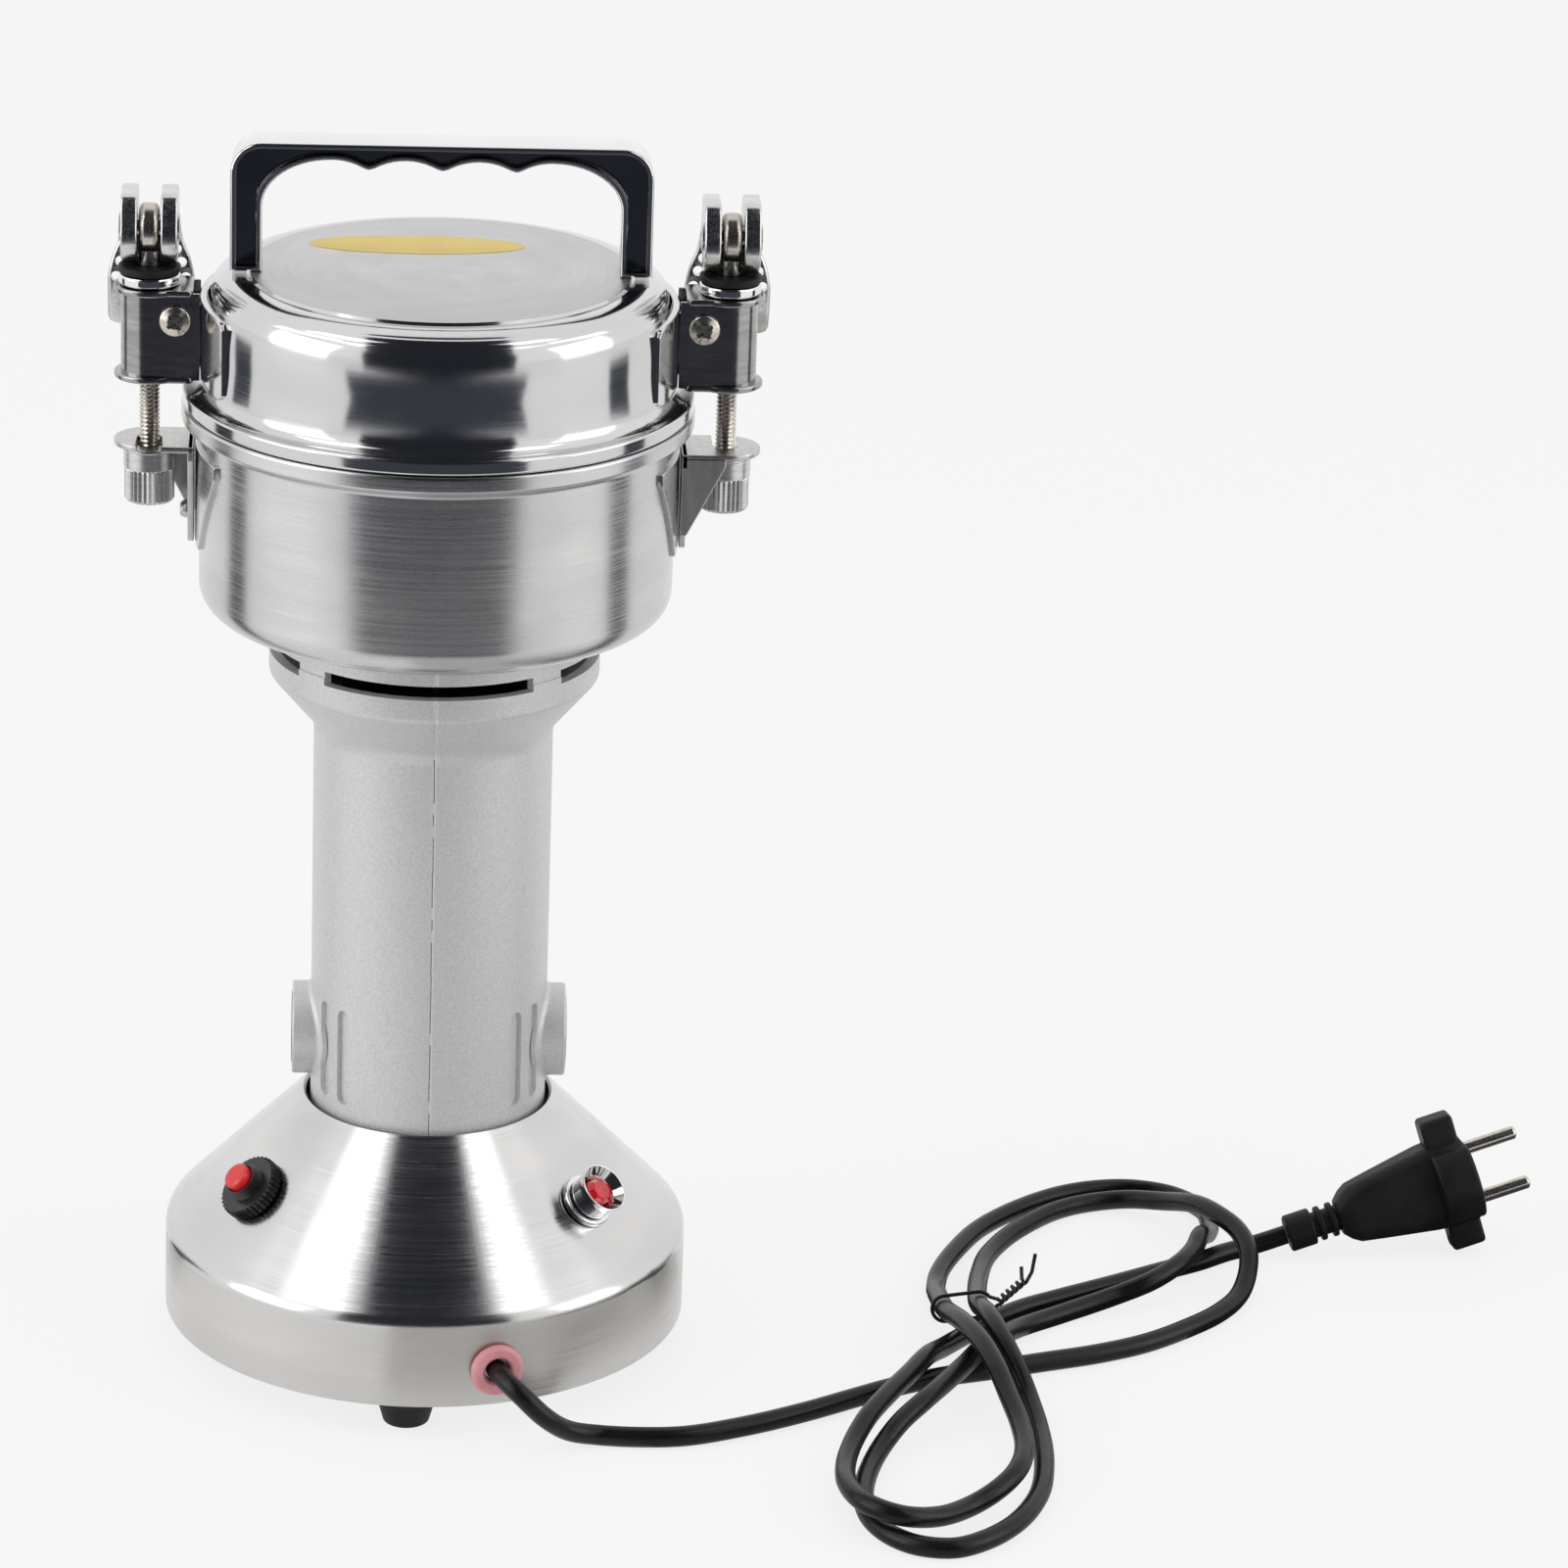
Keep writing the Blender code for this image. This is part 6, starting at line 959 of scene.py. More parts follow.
# The head stands on the box's face, its cross is four turns of one quarter's outline
def screwParts():
    start, end = -clampShape["halfDepth"] - gap, clampShape["halfDepth"]
    corners = placed(screwShape["head"], y=start) + [(screwShape["shank"], end, 0.3 * mm), (0, end)]
    body = faced(spun(rounded(corners, 6), 48), "xz")
    arm, half = screwShape["arm"], screwShape["half"]
    quarter = np.array([(arm, -half), (arm, half), (half, half)])
    outline = np.vstack([quarter @ np.array(((cos(turn), sin(turn)), (-sin(turn), cos(turn))))
                         for turn in np.arange(4) * pi / 2])
    cross = slab(outline, start - 4 * mm, start - screwShape["recess"], 0.02 * mm, 1)
    return body, faced(moved(cross, aboutZ(pi / 5)), "xz")


# Thread: the radius falls by the depth times |2 frac(z / pitch - t / 2 pi) - 1|, and fades at both ends
def threaded(radius, height, angle):
    shape = clampShape
    phase = np.abs(2 * ((height / shape["pitch"] - angle / (2 * pi)) % 1) - 1)
    fade = np.clip((shape["threadTop"] - height) / shape["pitch"], 0, 1)
    fade = fade * np.clip((height - shape["tip"]) / shape["pitch"], 0, 1)
    return np.where(radius > 1 * mm, radius - shape["threadDepth"] * phase * fade, radius)


def eyeboltParts():
    shape = clampShape
    tip, top, bolt, half = shape["tip"], shape["shankTop"], shape["bolt"], shape["eyeWidth"] / 2
    heights = np.concatenate([np.linspace(tip + 0.6 * mm, shape["threadTop"], 280), [top]])
    side = np.column_stack([np.full(len(heights), bolt), heights])
    shank = spun(np.vstack([[(0, tip), (bolt - 0.7 * mm, tip)], side, [(0, top)]]), 40, threaded)
    ring = rounded(((shape["eyeBore"], -half, 0.6 * mm), (shape["eye"], -half, 3.1 * mm),
                    (shape["eye"], half, 3.1 * mm), (shape["eyeBore"], half, 0.6 * mm)), 9)
    return [shank, moved(faced(spun(ring, 72), "yz"), shift(0, 0, floors["pivot"]))]


# The cam's reach falls evenly with the angle from the bottom as far as the flat, which lies on the washer
# when the lever is up. From there it is f / cos(angle - flat), drawn softly into the full reach's circle
def camReach(turn):
    flat, span = radians(clampShape["flatAt"]), radians(clampShape["fallSpan"])
    falling = clampShape["cam"] - clampShape["fall"] * turn / span
    atFlat = clampShape["cam"] - clampShape["fall"] * flat / span
    line = atFlat / np.cos(np.clip(turn - flat, 0, 1.4))
    soft = (line ** -12 + clampShape["cam"] ** -12) ** (-1 / 12)
    return np.where(turn <= flat, falling, np.maximum(soft, atFlat))


def cheekOutline():
    cam = clampShape["cam"]
    turn = pi * (1 - np.arange(37) / 36)
    reach = camReach(turn)
    front = np.stack([-reach * np.sin(turn), -reach * np.cos(turn)], 1)
    inner, outer = cam + 2.5 * mm, cam + 5.1 * mm
    under = arc((0, 0), cam, -pi / 2 + pi / 36, -pi / 6, 12)
    back = rounded(((outer, -cam), (outer, cam, cam), (0, cam)), 14, closed=False)
    return np.vstack([front, under, [(inner, -cam + 1.2 * mm), (inner + 0.5 * mm, -cam)], back[:-1]])


# Shares of the way down, of the half width and of the curl, then of each hole across and down
tailShape = {
    "gap": 2.1 * mm, "thickness": 3.4 * mm, "length": 36.4 * mm, "half": 14 * mm, "curl": 4 * mm,
    "soft": 1.2 * mm,
    "shares": ((0, 0, 0), (0.20, 0.22, 0.0), (0.40, 0.75, 0.0), (0.58, 1.0, 0.05), (0.80, 1.0, 0.35),
               (0.95, 1.0, 0.85), (1.0, 0.86, 1.0)),
    "tip": ((0.93, 0.5 * mm), (0.80, 0.95 * mm), (0.60, 1.2 * mm)),
    "hole": 1.7 * mm, "holes": ((0.585, 0.30), (0.70, 0.42), (0.80, 0.56)),
}


# The tail's section is a soft rectangle whose width, place and height are smooth curves of the way down
def tailPart():
    shape = tailShape
    outside = clampShape["cheekGap"] / 2 + clampShape["cheek"]
    loops = []
    for down, spread, curl in throughPoints(shape["shares"], 6):
        half = outside + (shape["half"] - outside) * min(spread, 1.0)
        start = clampShape["cam"] + shape["gap"] + shape["curl"] * curl
        section = softBox(-half, half, start, start + shape["thickness"], shape["soft"])
        loops.append(np.column_stack([section, np.full(len(section), -shape["length"] * down)]))
    last = loops[-1]
    middle = last.mean(0)
    for share, drop in shape["tip"]:
        closer = middle + (last - middle) * (0.99 * share + 0.01, share, 1)
        closer[:, 2] = max(last[0, 2] - drop, -shape["length"] - shape["tip"][-1][1])
        loops.append(closer)
    return skin(loops)


def leverParts():
    shape, tail = clampShape, tailShape
    outside = shape["cheekGap"] / 2 + shape["cheek"]
    cheeks = []
    for side in (-1, 1):
        low, high = sorted((side * shape["cheekGap"] / 2, side * outside))
        cheeks.append(faced(slab(cheekOutline(), low, high, 0.7 * mm, 4), "yz"))
    bore = faced(roundHole(shape["pin"] + gap, -outside - 2 * mm, outside + 2 * mm, 40), "yz")
    holes = []
    end = shape["cam"] + tail["gap"] + tail["thickness"] + tail["curl"] + 1 * mm
    for side in (-1, 1):
        for across, down in tail["holes"]:
            hole = faced(roundHole(tail["hole"], shape["cam"], end, 20), "xz")
            holes.append(moved(hole, shift(side * tail["half"] * across, 0, -tail["length"] * down)))
    return cheeks, bore, holes


pinShape = {"head": ((4.6, 0), (4.6, 0.35, 0.25), (2.2, 0.35, 0.2), (1.8, -0.85), (0, -0.85))}


def pinPart():
    start = clampShape["cheekGap"] / 2 + clampShape["cheek"] + gap
    right = [(clampShape["pin"], start)] + placed(pinShape["head"], y=start)
    left = [(corner[0], -corner[1], *corner[2:]) for corner in right][::-1]
    return faced(spun(rounded(left + right, 5), 56), "yz")


# Knurl: the radius falls by the depth times |2 frac(n t / 2 pi) - 1| between two heights and beyond a reach
def knurled(count, depth, low, high, reach):
    def ripple(radius, height, angle):
        ridge = np.abs(2 * ((count * angle / (2 * pi)) % 1) - 1)
        on = (height > low) & (height < high) & (radius > reach)
        return np.where(on, radius - depth * ridge, radius)
    return ripple


nutShape = {
    "low": 294.5 * mm, "collar": 11.3 * mm, "ridges": 30, "ridgeDepth": 0.5 * mm,
    "profile": ((0, 0), (7.2, 0, 0.5), (8.05, 0.9, 0.2), (8.05, 10.8, 0.2), (7.7, 11.3), (8.4, 11.4, 0.2),
                (8.4, 17.1, 0.2), (8.15, 17.4), (8.85, 17.5, 0.2), (8.85, 18.7, 0.4), (3.7, 18.7, 0.3),
                (3.7, 2), (0, 2)),
}


def nutPart():
    low = nutShape["low"]
    profile = rounded(placed(nutShape["profile"], y=low), 4)
    grip = knurled(nutShape["ridges"], nutShape["ridgeDepth"], low + 0.5 * mm,
                   low + nutShape["collar"] - 0.2 * mm, 7.5 * mm)
    return spun(finer(profile, 1.2 * mm), 240, grip)


bracketShape = {"slot": 4.0 * mm, "reach": 11.4 * mm, "back": -14.4 * mm, "front": -12.4 * mm,
                "sheet": 2 * mm, "foot": 5 * mm, "gusset": 1.5 * mm, "gussetEnd": -0.2 * mm,
                "gussetRise": 6.5 * mm,
                "rivet": ((0, -1), (3, -1), (3, 0.5, 0.2), (2.4, 2.6, 1.2), (0, 2.6)),
                "rivetRise": 9.9 * mm}


def bracketParts():
    shape = bracketShape
    slot, reach, back, front = shape["slot"], shape["reach"], shape["back"], shape["front"]
    top, low = floors["bracketTop"], floors["bracketTop"] - shape["sheet"]
    outline = np.vstack([[(back, -reach)], arc((0, 0), reach, -pi / 2, pi / 2 - asin(slot / reach), 32),
                         arc((0, 0), slot, 0, -pi, 24), [(-slot, reach), (back, reach)]])
    parts = [slab(outline, low, top, 0.45 * mm, 4)]
    foot, shoulder = top - cupShape["seatHeight"], top - cupShape["seatShoulder"]
    right = [(shape["foot"], foot, 2.5 * mm), (reach, shoulder, 1.5 * mm), (reach, top, 0.4 * mm)]
    leg = rounded([(-corner[0], *corner[1:]) for corner in right[::-1]] + right, 6)
    parts.append(faced(slab(leg, back, front, 0.4 * mm, 3), "yz"))
    end, gussetFoot = shape["gussetEnd"], foot + shape["gussetRise"]
    gusset = rounded(((back, low + 1 * mm), (end, low + 1 * mm), (end, low - 2 * mm, 1.2 * mm),
                      (front, gussetFoot, 1.5 * mm), (back, gussetFoot)), 5)
    parts.append(faced(slab(gusset, -reach, -reach + shape["gusset"], 0.35 * mm, 3), "xz"))
    rivet = faced(spun(rounded(placed(shape["rivet"], y=front), 6), 40), "yz")
    return parts + [moved(rivet, shift(0, 0, foot + shape["rivetRise"]))]


def makeClamps():
    shape = clampShape
    for side, turn in (("left", pi), ("right", 0)):
        name = side.capitalize()
        out = aboutZ(turn) @ shift(shape["axis"], 0, 0)
        outSquare = out @ aboutZ(-turn)
        parts, hole = boxParts()
        # The box takes the darkened clamp steel, partly a painted dark reflection
        box = addPiece("clampBox" + name, [moved(part, out) for part in parts], "clampSteelAndPaintedReflection", "lid",
                       ["clamp_box_" + side])
        reshape(box, [moved(hole, out)])
        screwPlace = out @ shift(-screwShape["inset"], 0, screwShape["height"]) @ aboutZ(-turn)
        body, cross = screwParts()
        screw = addPiece("boxScrew" + name, [moved(body, screwPlace)], "nickel", "lid",
                         ["box_screw_" + side])
        reshape(screw, [moved(cross, screwPlace)])
        for kind, finish, slotName, soft in (("chromeWasher", "mirrorChrome", "chrome", 0.8 * mm),
                                             ("rubberWasher", "blackRubber", "black_rubber", 0.6 * mm)):
            section = softBox(shape["washerBore"], shape["washer"], *shape[kind], soft)
            node = kind.replace("Washer", "_washer_") + side
            addPiece(kind + name, [moved(spun(section, 96), out)], finish, "lid", [node])
        addPiece("eyebolt" + name, [moved(part, out) for part in eyeboltParts()], "nickel", "bolt_" + side,
                 ["eyebolt_" + side])
        pivot = outSquare @ shift(0, 0, floors["pivot"])
        cheeks, bore, holes = leverParts()
        lever = addPiece("camLever" + name, [moved(cheeks[0], pivot)], "leverSteel", "lever_" + side,
                         ["cam_lever_" + side])
        reshape(lever, [moved(cheeks[1], pivot)], "UNION")
        reshape(lever, [moved(tailPart(), pivot)], "UNION")
        reshape(lever, [moved(bore, pivot)])
        reshape(lever, [moved(hole, pivot) for hole in holes])
        addPiece("leverPin" + name, [moved(pinPart(), pivot)], "nickel", "lever_" + side,
                 ["lever_pin_" + side])
        addPiece("knurledNut" + name, [moved(nutPart(), out)], "aluminium", "nut_" + side,
                 ["knurled_nut_" + side], crease=24)
        addPiece("clampBracket" + name, [moved(part, out) for part in bracketParts()], "satinSteel", "base",
                 ["clamp_bracket_" + side])


makeClamps()
print("stage: clamps")

# Fittings on the base, with profiles in millimetres from its surface
fittingShape = {"circle": 65.6 * mm, "fuse": -60, "lamp": 52.5, "switch": 180, "grommet": 15,
                "grommetHeight": 24.9 * mm}
fuseShape = {
    "foot": ((0, -22), (9.5, -22, 1), (9.5, -3), (6.35, -3), (6.35, 0.3), (11.25, 0.3, 0.5),
             (11.25, 4.3, 0.4), (10.3, 4.8, 0.3), (6.35, 4.8)),
    "neck": 6.35, "ribs": 6, "ribDepth": 0.6, "ribStart": 5.0, "ribPitch": 0.6, "fins": 38,
    "finDepth": 1.0 * mm,
    "head": ((6.35, 8.6, 0.35), (4.9, 8.6, 0.2), (4.9, -7.7), (0, -7.7)),
    "button": ((0, -4), (4.6, -4), (4.6, 11.0, 0.7), (3.2, 11.4, 1.5), (0, 11.4)),
}
lampShape = {
    "bezel": ((5.9, -12), (5.9, 0.3), (9.2, 0.3, 0.3), (9.2, 2.5, 0.5), (6.7, 2.5), (6.7, 3.2),
              (7.6, 3.2, 0.2), (7.75, 8.5, 6), (8.6, 11.2, 0.25), (8.1, 11.2, 0.2), (5.0, 6.8, 0.8),
              (5.0, -12)),
    "joint": (5.95 * mm, 7.3 * mm, 2.55 * mm, 3.15 * mm, 0.1 * mm),
    "lens": ((0, -3), (4.7, -3), (4.7, 8.0, 0.5), (3.3, 9.8, 0.4), (1.2, 9.8, 0.3), (0, 9.5)),
    "facetsFrom": 6 * mm,
}
grommetProfile = ((4.2, -4), (8, -4), (8, -2), (5.7, -2), (5.7, 0.3), (9, 0.3, 1), (8.6, 3.3, 1.4),
                  (5.0, 3.3, 0.8), (4.2, 2.2, 0.8))
switchShape = {"halfWidth": 7.5 * mm, "halfLength": 10.5 * mm, "flangeTop": 2.3 * mm, "depth": -12 * mm,
               "wellDepth": -10 * mm, "pivot": 1.8 * mm, "tilt": 9, "rocker": 7.9 * mm,
               "rockerHalf": 4.9 * mm, "endRise": 4.2 * mm,
               "face": ((3.5 * mm, 3.3 * mm), (0, 2.95 * mm), (-3.5 * mm, 3.3 * mm))}
coneSlope = atan2(floors["coneTop"] - floors["wallTop"], baseShape["radius"] - baseShape["topRadius"])


# A frame on the base: Z out of the surface, X round it and Y up it
def outward(azimuth, radius, height, tilt):
    angle = radians(azimuth) - pi / 2
    place = shift(radius * cos(angle), radius * sin(angle), height)
    return place @ aboutZ(angle + pi / 2) @ Matrix.Rotation(pi / 2 - tilt, 4, "X")


def onCone(azimuth):
    height = floors["wallTop"] + (baseShape["radius"] - fittingShape["circle"]) * tan(coneSlope)
    return outward(azimuth, fittingShape["circle"], height, pi / 2 - coneSlope)


# The lens is an octagon above a height: r cos(pi / 8) / cos(t from the middle of the side)
def lensFacets(radius, height, angle):
    across = np.cos((angle + pi / 8) % (pi / 4) - pi / 8)
    return np.where(height > lampShape["facetsFrom"], radius * cos(pi / 8) / across * 1.03, radius)


def makeFuse():
    shape, place = fuseShape, onCone(fittingShape["fuse"])
    ribs = [(shape["neck"] - shape["ribDepth"] * (number % 2),
             shape["ribStart"] + shape["ribPitch"] * number)
            for number in range(shape["ribs"])]
    profile = rounded(placed((*shape["foot"], *ribs, *shape["head"])), 5)
    fins = knurled(shape["fins"], shape["finDepth"], 0.3 * mm, 4.78 * mm, 10 * mm)
    addPiece("fuseHolder", [moved(spun(finer(profile, 2 * mm), 352, fins), place)], "fusePlastic", "base",
             ["fuse_holder"], crease=26)
    button = spun(rounded(placed(shape["button"]), 6), 64)
    addPiece("resetButton", [moved(button, place)], "redPlastic", "button", ["reset_button"])


def makeLamp():
    place = onCone(fittingShape["lamp"])
    bezel = spun(rounded(placed(lampShape["bezel"]), 6), 112)
    addPiece("lampBezel", [moved(bezel, place)], "mirrorChrome", "base", ["lamp_bezel"])
    joint = spun(softBox(*lampShape["joint"]), 96)
    addPiece("lampJoint", [moved(joint, place)], "blackRubber", "base")
    lens = spun(rounded(placed(lampShape["lens"]), 3), 64, lensFacets)
    addPiece("lampLens", [moved(lens, place)], "redLens", "base", ["lamp_lens"], crease=18)


def makeGrommet():
    place = outward(fittingShape["grommet"], baseShape["radius"], fittingShape["grommetHeight"], 0)
    grommet = spun(rounded(placed(grommetProfile), 7), 88)
    addPiece("cordGrommet", [moved(grommet, place)], "pinkRubber", "base", ["cord_grommet"])


def makeSwitch():
    shape, place = switchShape, onCone(fittingShape["switch"])
    def inset(amount, soft, steps):
        width, length = shape["halfWidth"] - amount, shape["halfLength"] - amount
        return softBox(-width, width, -length, length, soft, steps)
    flange = slab(inset(0, 1.5 * mm, 6), gap, shape["flangeTop"], 0.6 * mm, 4)
    surround = addPiece("switchFrame", [moved(flange, place)], "blackPlastic", "base", ["switch_frame"])
    inner = slab(inset(1 * mm, 0.5 * mm, 4), shape["depth"], 1.3 * mm, 0.2 * mm, 1)
    reshape(surround, [moved(inner, place)], "UNION")
    well = slab(inset(2.3 * mm, 0.5 * mm, 4), shape["wellDepth"], 5 * mm, 0.02 * mm, 1)
    reshape(surround, [moved(well, place)])
    pivot = place @ shift(0, 0, shape["pivot"]) @ Matrix.Rotation(radians(shape["tilt"]), 4, "X")
    end = asin(shape["endRise"] / shape["rocker"])
    outline = np.vstack([arc((0, 0), shape["rocker"], -end, end, 8), shape["face"],
                         arc((0, 0), shape["rocker"], pi - end, pi + end, 8)])
    rocker = faced(slab(outline, -shape["rockerHalf"], shape["rockerHalf"], 0.5 * mm, 4), "yz")
    addPiece("switchRocker", [moved(rocker, pivot)], "blackPlastic", "rocker", ["switch_rocker"])


makeFuse()
makeLamp()
makeGrommet()
makeSwitch()
print("stage: fittings")

# Plug, about the middle of its face, with its pins along +X. A row says how far back it stands, its half
# height and its half thickness
plugShape = {
    "place": (0.3699, 0.0719, 0.0281), "yaw": 6.9, "pitch": 17.3, "roll": 9.2, "spacing": 19 * mm,
    "pin": 2.4 * mm, "pinLength": 19 * mm, "pinRoot": 8 * mm,
    "rows": ((50.0, 6.0, 5.6), (47.5, 8.6, 6.4), (44.5, 10.5, 7.0), (36.0, 12.0, 7.4), (26.0, 13.6, 7.9),
             (17.0, 15.0, 8.4), (12.0, 15.5, 8.5), (2.4, 15.5, 8.5), (1.5, 15.1, 8.1)),
    "softest": 5.2, "head": 16.5 * mm, "lobe": 13 * mm, "headDepth": 14 * mm, "earHalf": 5.5 * mm,
    "earLow": 11.5 * mm, "earTop": 24.5 * mm, "earFront": 2 * mm, "ribs": 3, "ribPitch": 4.4,
    "rib": ((4.6, 0), (6.2, 0, 0.5), (6.2, 1.9, 0.5), (4.6, 1.9)),
    "collar": ((0, -69.1), (6.6, -69.1, 0.9), (6.6, -59.6, 0.7), (4.6, -59.6)), "ribStart": -57.7 * mm,
    "core": ((4.6, -42.5), (0, -42.5)),
}


def plugParts():
    shape = plugShape
    sections = []
    for back, high, thick in shape["rows"]:
        soft = min(shape["softest"], thick * 0.75) * mm
        outline = softBox(-thick * mm, thick * mm, -high * mm, high * mm, soft, 7)
        sections.append(np.column_stack([np.full(len(outline), -back * mm), outline]))
    angle = asin(shape["lobe"] / shape["head"])
    head = np.vstack([arc((0, 0), shape["head"], -angle, angle, 20),
                      arc((0, 0), shape["head"], pi - angle, pi + angle, 20)])
    parts = [skin(sections), faced(slab(head, -shape["headDepth"], 0, 1.4 * mm, 5), "yz")]
    for side in (-1, 1):
        low, high = sorted((side * shape["earLow"], side * shape["earTop"]))
        ear = softBox(-shape["earHalf"], shape["earHalf"], low, high, 2.6 * mm, 7)
        parts.append(faced(slab(ear, -shape["headDepth"], -shape["earFront"], 1.5 * mm, 5), "yz"))
    profile = placed(shape["collar"])
    for number in range(shape["ribs"]):
        profile += placed(shape["rib"], y=shape["ribStart"] + shape["ribPitch"] * number * mm)
    parts.append(faced(spun(rounded(profile + placed(shape["core"]), 4), 64), "yz"))
    return parts


def makePlug():
    shape = plugShape
    turn = aboutZ(radians(shape["yaw"])) @ Matrix.Rotation(-radians(shape["pitch"]), 4, "Y")
    place = shift(*shape["place"]) @ turn @ Matrix.Rotation(-radians(shape["roll"]), 4, "X")
    body = addPiece("plugBody", [moved(part, place) for part in plugParts()], "plugVinyl", "base",
                    ["plug_body"], crease=45)
    pins = []
    root, length, radius = -shape["pinRoot"], shape["pinLength"], shape["pin"]
    profile = rounded(((0, root), (radius, root), (radius, length, 1.6 * mm), (0, length)), 7)
    for name, side, node in (("plugPinLower", -1, "plug_pin_lower"), ("plugPinUpper", 1, "plug_pin_upper")):
        pin = moved(faced(spun(profile, 48), "yz"), place @ shift(0, 0, side * shape["spacing"] / 2))
        pins.append(addPiece(name, [pin], "nickel", "base", [node]))
    return [body, *pins]


plugPieces = makePlug()
print("stage: plug")

# Finishes for the solids that the frame keeps
innerLooks = {"bottom_plate": "innerSteel", "end_bracket": "castAlloy", "lower_bearing": "innerSteel",
              "upper_bearing": "innerSteel", "stator_core": "innerSteel", "field_coil_front": "copperWire",
              "field_coil_back": "copperWire", "carbon_brush_left": "carbonBlock",
              "carbon_brush_right": "carbonBlock", "motor_shaft": "innerSteel",
              "armature_core": "innerSteel", "armature_winding": "copperWire", "commutator": "copperWire",
              "cooling_fan": "blackPlastic", "main_blade": "bladeSteel", "upper_blade": "bladeSteel",
              "blade_spacer": "innerSteel", "blade_nut": "innerSteel"}
for nodeName, finish in innerLooks.items():
    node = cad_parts[nodeName]
    if not node.material_slots:
        node.data.materials.append(finishes[finish])
    for place in node.material_slots:
        place.material = finishes[finish]
leftOver = [name for name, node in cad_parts.items()
            if not node.hide_render and name not in innerLooks]
print("stage: inner parts, left over:", leftOver)


# Floor, world, lamps and dark cards
def flatSheet(name, outline, height, plane="xy"):
    points, faces = faced((np.column_stack([outline, np.full(len(outline), height)]),
                           [list(range(len(outline)))]), plane)
    mesh = bpy.data.meshes.new(name)
    mesh.from_pydata(points.tolist(), [], faces)
    sheet = bpy.data.objects.new(name, mesh)
    scene.collection.objects.link(sheet)
    return sheet


def seenBy(tree):
    path = addNode(tree, "ShaderNodeLightPath").outputs
    first = addNode(tree, "ShaderNodeMath", {"operation": "MAXIMUM"}, i0=path["Is Camera Ray"],
                    i1=path["Is Glossy Ray"]).outputs[0]
    return addNode(tree, "ShaderNodeMath", {"operation": "MAXIMUM"}, i0=first,
                   i1=path["Is Transmission Ray"]).outputs[0]


studio = {"floorColour": 0.84, "floorGlow": 0.80, "worldLight": 0.60, "worldSeen": 1.0,
          "lamps": (("keyLeft", (-1.137, -0.518, 1.9), (1.04, 0.62), 2.9),
                    ("fillRight", (1.046, -0.628, 1.9), (0.70, 0.56), 1.7),
                    ("sideLeft", (-2.2, -0.7, 0.9), (1.5, 1.6), 14),
                    ("sideRight", (2.2, -0.6, 0.9), (1.3, 1.5), 9))}
floor = flatSheet("floor", [(-9, -9), (9, -9), (9, 9), (-9, 9)], 0)
floorMaterial = bpy.data.materials.new("floorPaint")
floorMaterial.use_nodes = True
tree = floorMaterial.node_tree
paint = tree.nodes["Principled BSDF"]
paint.inputs["Base Color"].default_value = (studio["floorColour"],) * 3 + (1,)
paint.inputs["Roughness"].default_value = 0.9
paint.inputs["Specular IOR Level"].default_value = 0.1
glow = addNode(tree, "ShaderNodeEmission", Color=(1, 1, 1, 1), Strength=1.0)
share = addNode(tree, "ShaderNodeMath", {"operation": "MULTIPLY"}, i0=seenBy(tree),
                i1=studio["floorGlow"]).outputs[0]
mixed = addNode(tree, "ShaderNodeMixShader", i0=share, i1=paint.outputs[0], i2=glow.outputs[0])
tree.links.new(mixed.outputs[0], tree.nodes["Material Output"].inputs["Surface"])
floor.data.materials.append(floorMaterial)

world = bpy.data.worlds.new("studioWorld")
scene.world = world
world.use_nodes = True
tree = world.node_tree
sky = tree.nodes["Background"]
level = addNode(tree, "ShaderNodeMapRange", Value=seenBy(tree), To_Min=studio["worldLight"],
                To_Max=studio["worldSeen"]).outputs[0]
tree.links.new(level, sky.inputs["Strength"])
sky.inputs["Color"].default_value = (1, 1, 1, 1)

for name, place, size, power in studio["lamps"]:
    data = bpy.data.lights.new(name, "AREA")
    data.shape, data.size, data.size_y, data.energy = "RECTANGLE", size[0], size[1], power
    lamp = bpy.data.objects.new(name, data)
    lamp.location = place
    lamp.rotation_euler = (Vector((0, 0, 0.2)) - Vector(place)).to_track_quat("-Z", "Y").to_euler()
    scene.collection.objects.link(lamp)


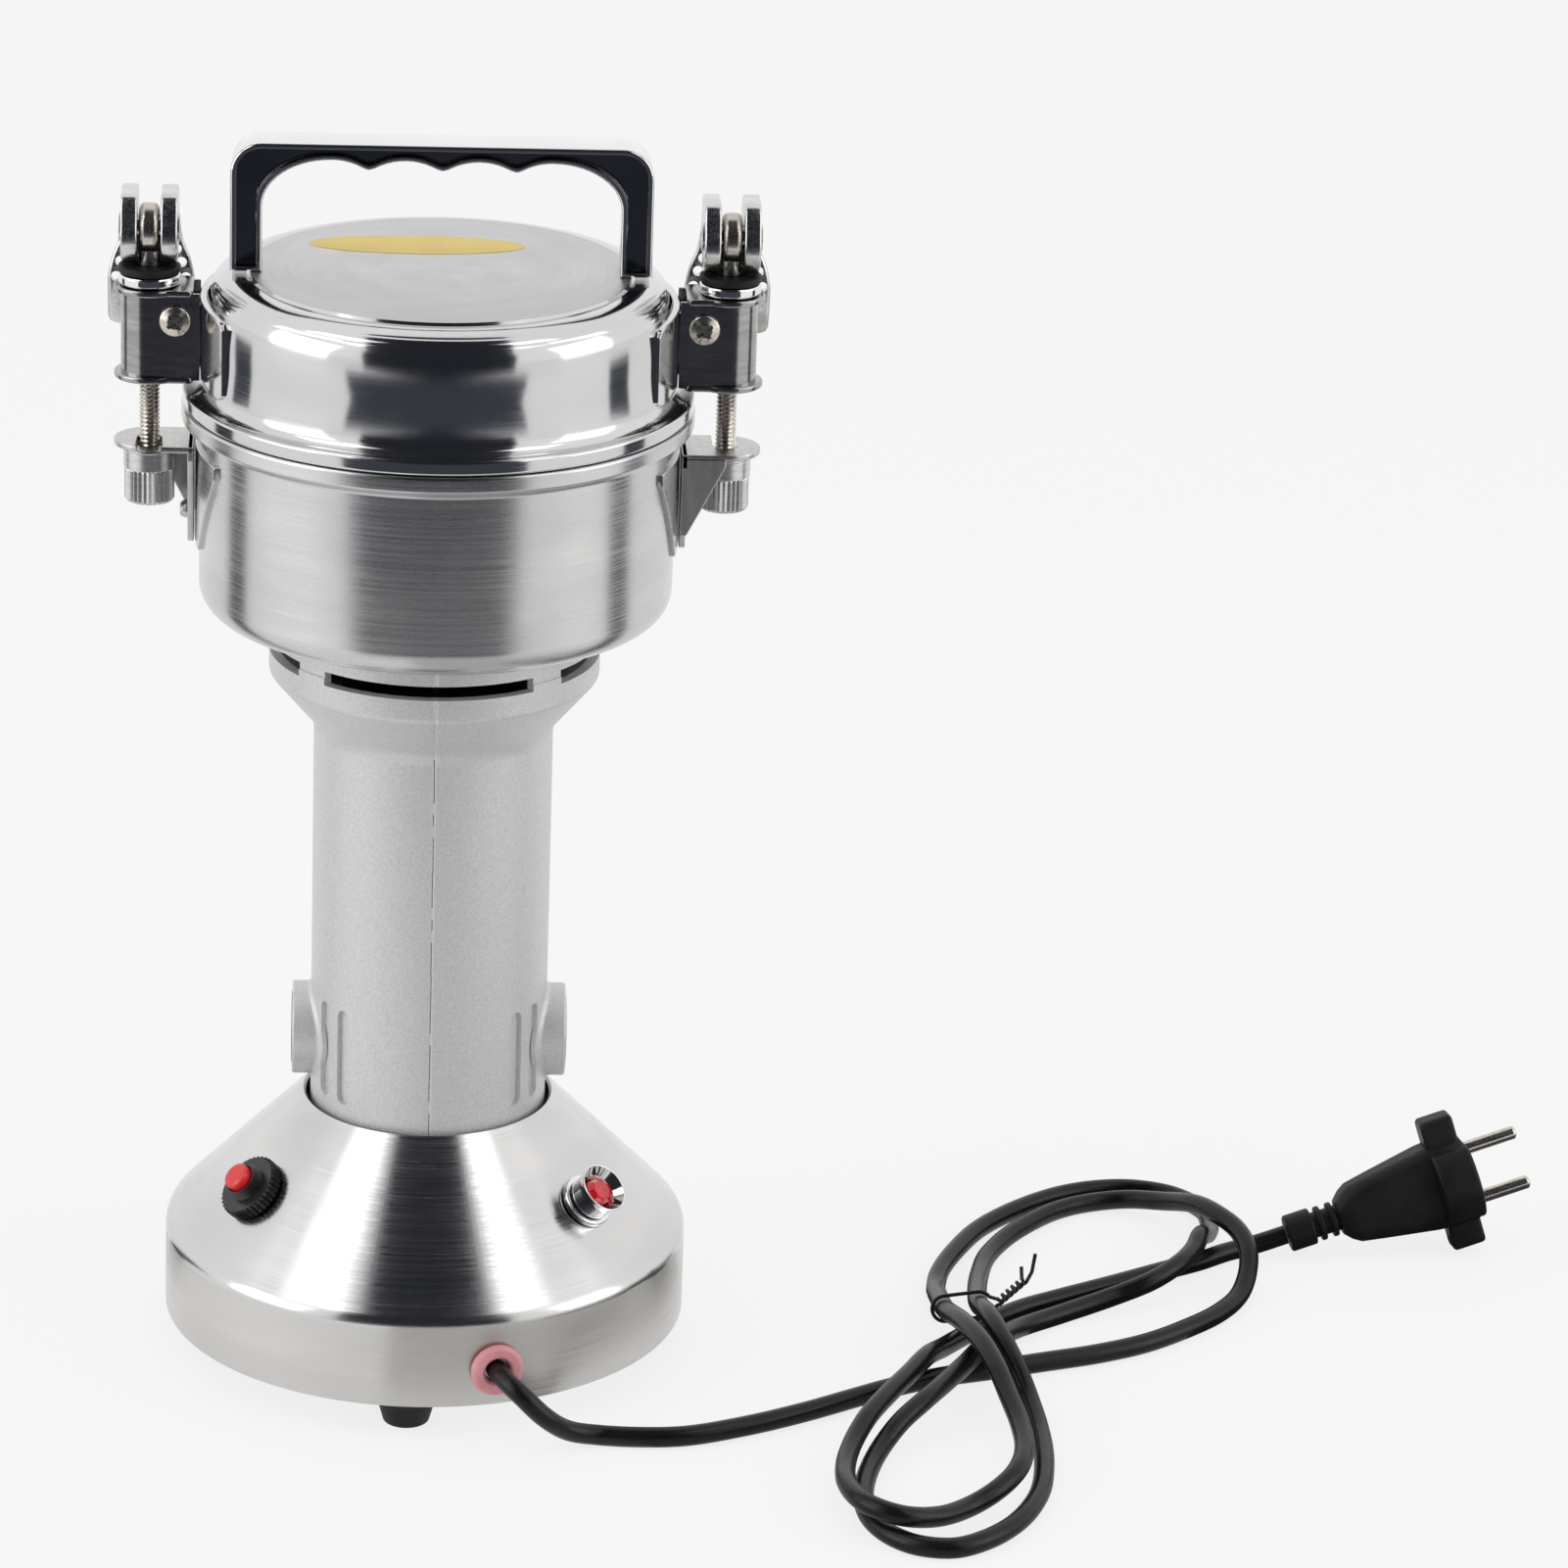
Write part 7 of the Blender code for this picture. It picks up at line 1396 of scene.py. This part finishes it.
def makeCardPaint(name, colour):
    material = bpy.data.materials.new(name)
    material.use_nodes = True
    tree = material.node_tree
    shade = addNode(tree, "ShaderNodeEmission", Color=(*colour, 1), Strength=1.0)
    tree.links.new(shade.outputs[0], tree.nodes["Material Output"].inputs["Surface"])
    return material


cardPaints = {"dark": makeCardPaint("darkCard", (0.050, 0.055, 0.070)),
              "night": makeCardPaint("nightCard", (0.020, 0.022, 0.028)),
              "dusk": makeCardPaint("duskCard", (0.17, 0.17, 0.18)),
              "grey": makeCardPaint("greyCard", (0.58, 0.57, 0.55))}


# Dark cards stand where the room is dark, so that polished steel has something to mirror. Only mirrored
# rays meet them.
def addCard(name, outline, height, plane="xy", paint="dark"):
    card = flatSheet(name, outline, height, plane)
    card.data.materials.append(cardPaints[paint])
    for ray in ("camera", "diffuse", "shadow", "transmission", "volume_scatter"):
        setattr(card, "visible_" + ray, False)


# A sheet between two arcs about the shaft, azimuth from the front
def sector(near, nearSpan, far, farSpan):
    inner = arc((0, 0), near, radians(nearSpan[0] - 90), radians(nearSpan[1] - 90), 12)
    return np.vstack([inner, arc((0, 0), far, radians(farSpan[1] - 90), radians(farSpan[0] - 90), 12)])


addCard("frontCard", sector(0.86, (-40, 36), 2.4, (-46, 42)), 0.6 * mm)
addCard("middleCard", sector(0.56, (-34, 30), 0.86, (-38, 34)), 0.6 * mm, paint="dusk")
addCard("leftCard", sector(0.14, (-116, -102), 1.9, (-116, -102)), 0.7 * mm)
addCard("rightCard", sector(0.14, (88, 102), 1.9, (88, 102)), 0.7 * mm)
addCard("wallCard", [(-1.8, 0.0), (1.7, 0.0), (1.9, 2.4), (-2.0, 2.4)], -2.4, "xz", "night")
addCard("ceilingCard", [(-2.0, -2.4), (1.9, -2.4), (0.92, -0.72), (0.52, 0.45), (-0.55, 0.45),
                        (-1.02, -0.72)], 2.4, paint="night")
addCard("nearCard", sector(0.12, (-12, 110), 0.42, (-12, 110)), 0.5 * mm, paint="grey")
print("stage: floor and lamps")
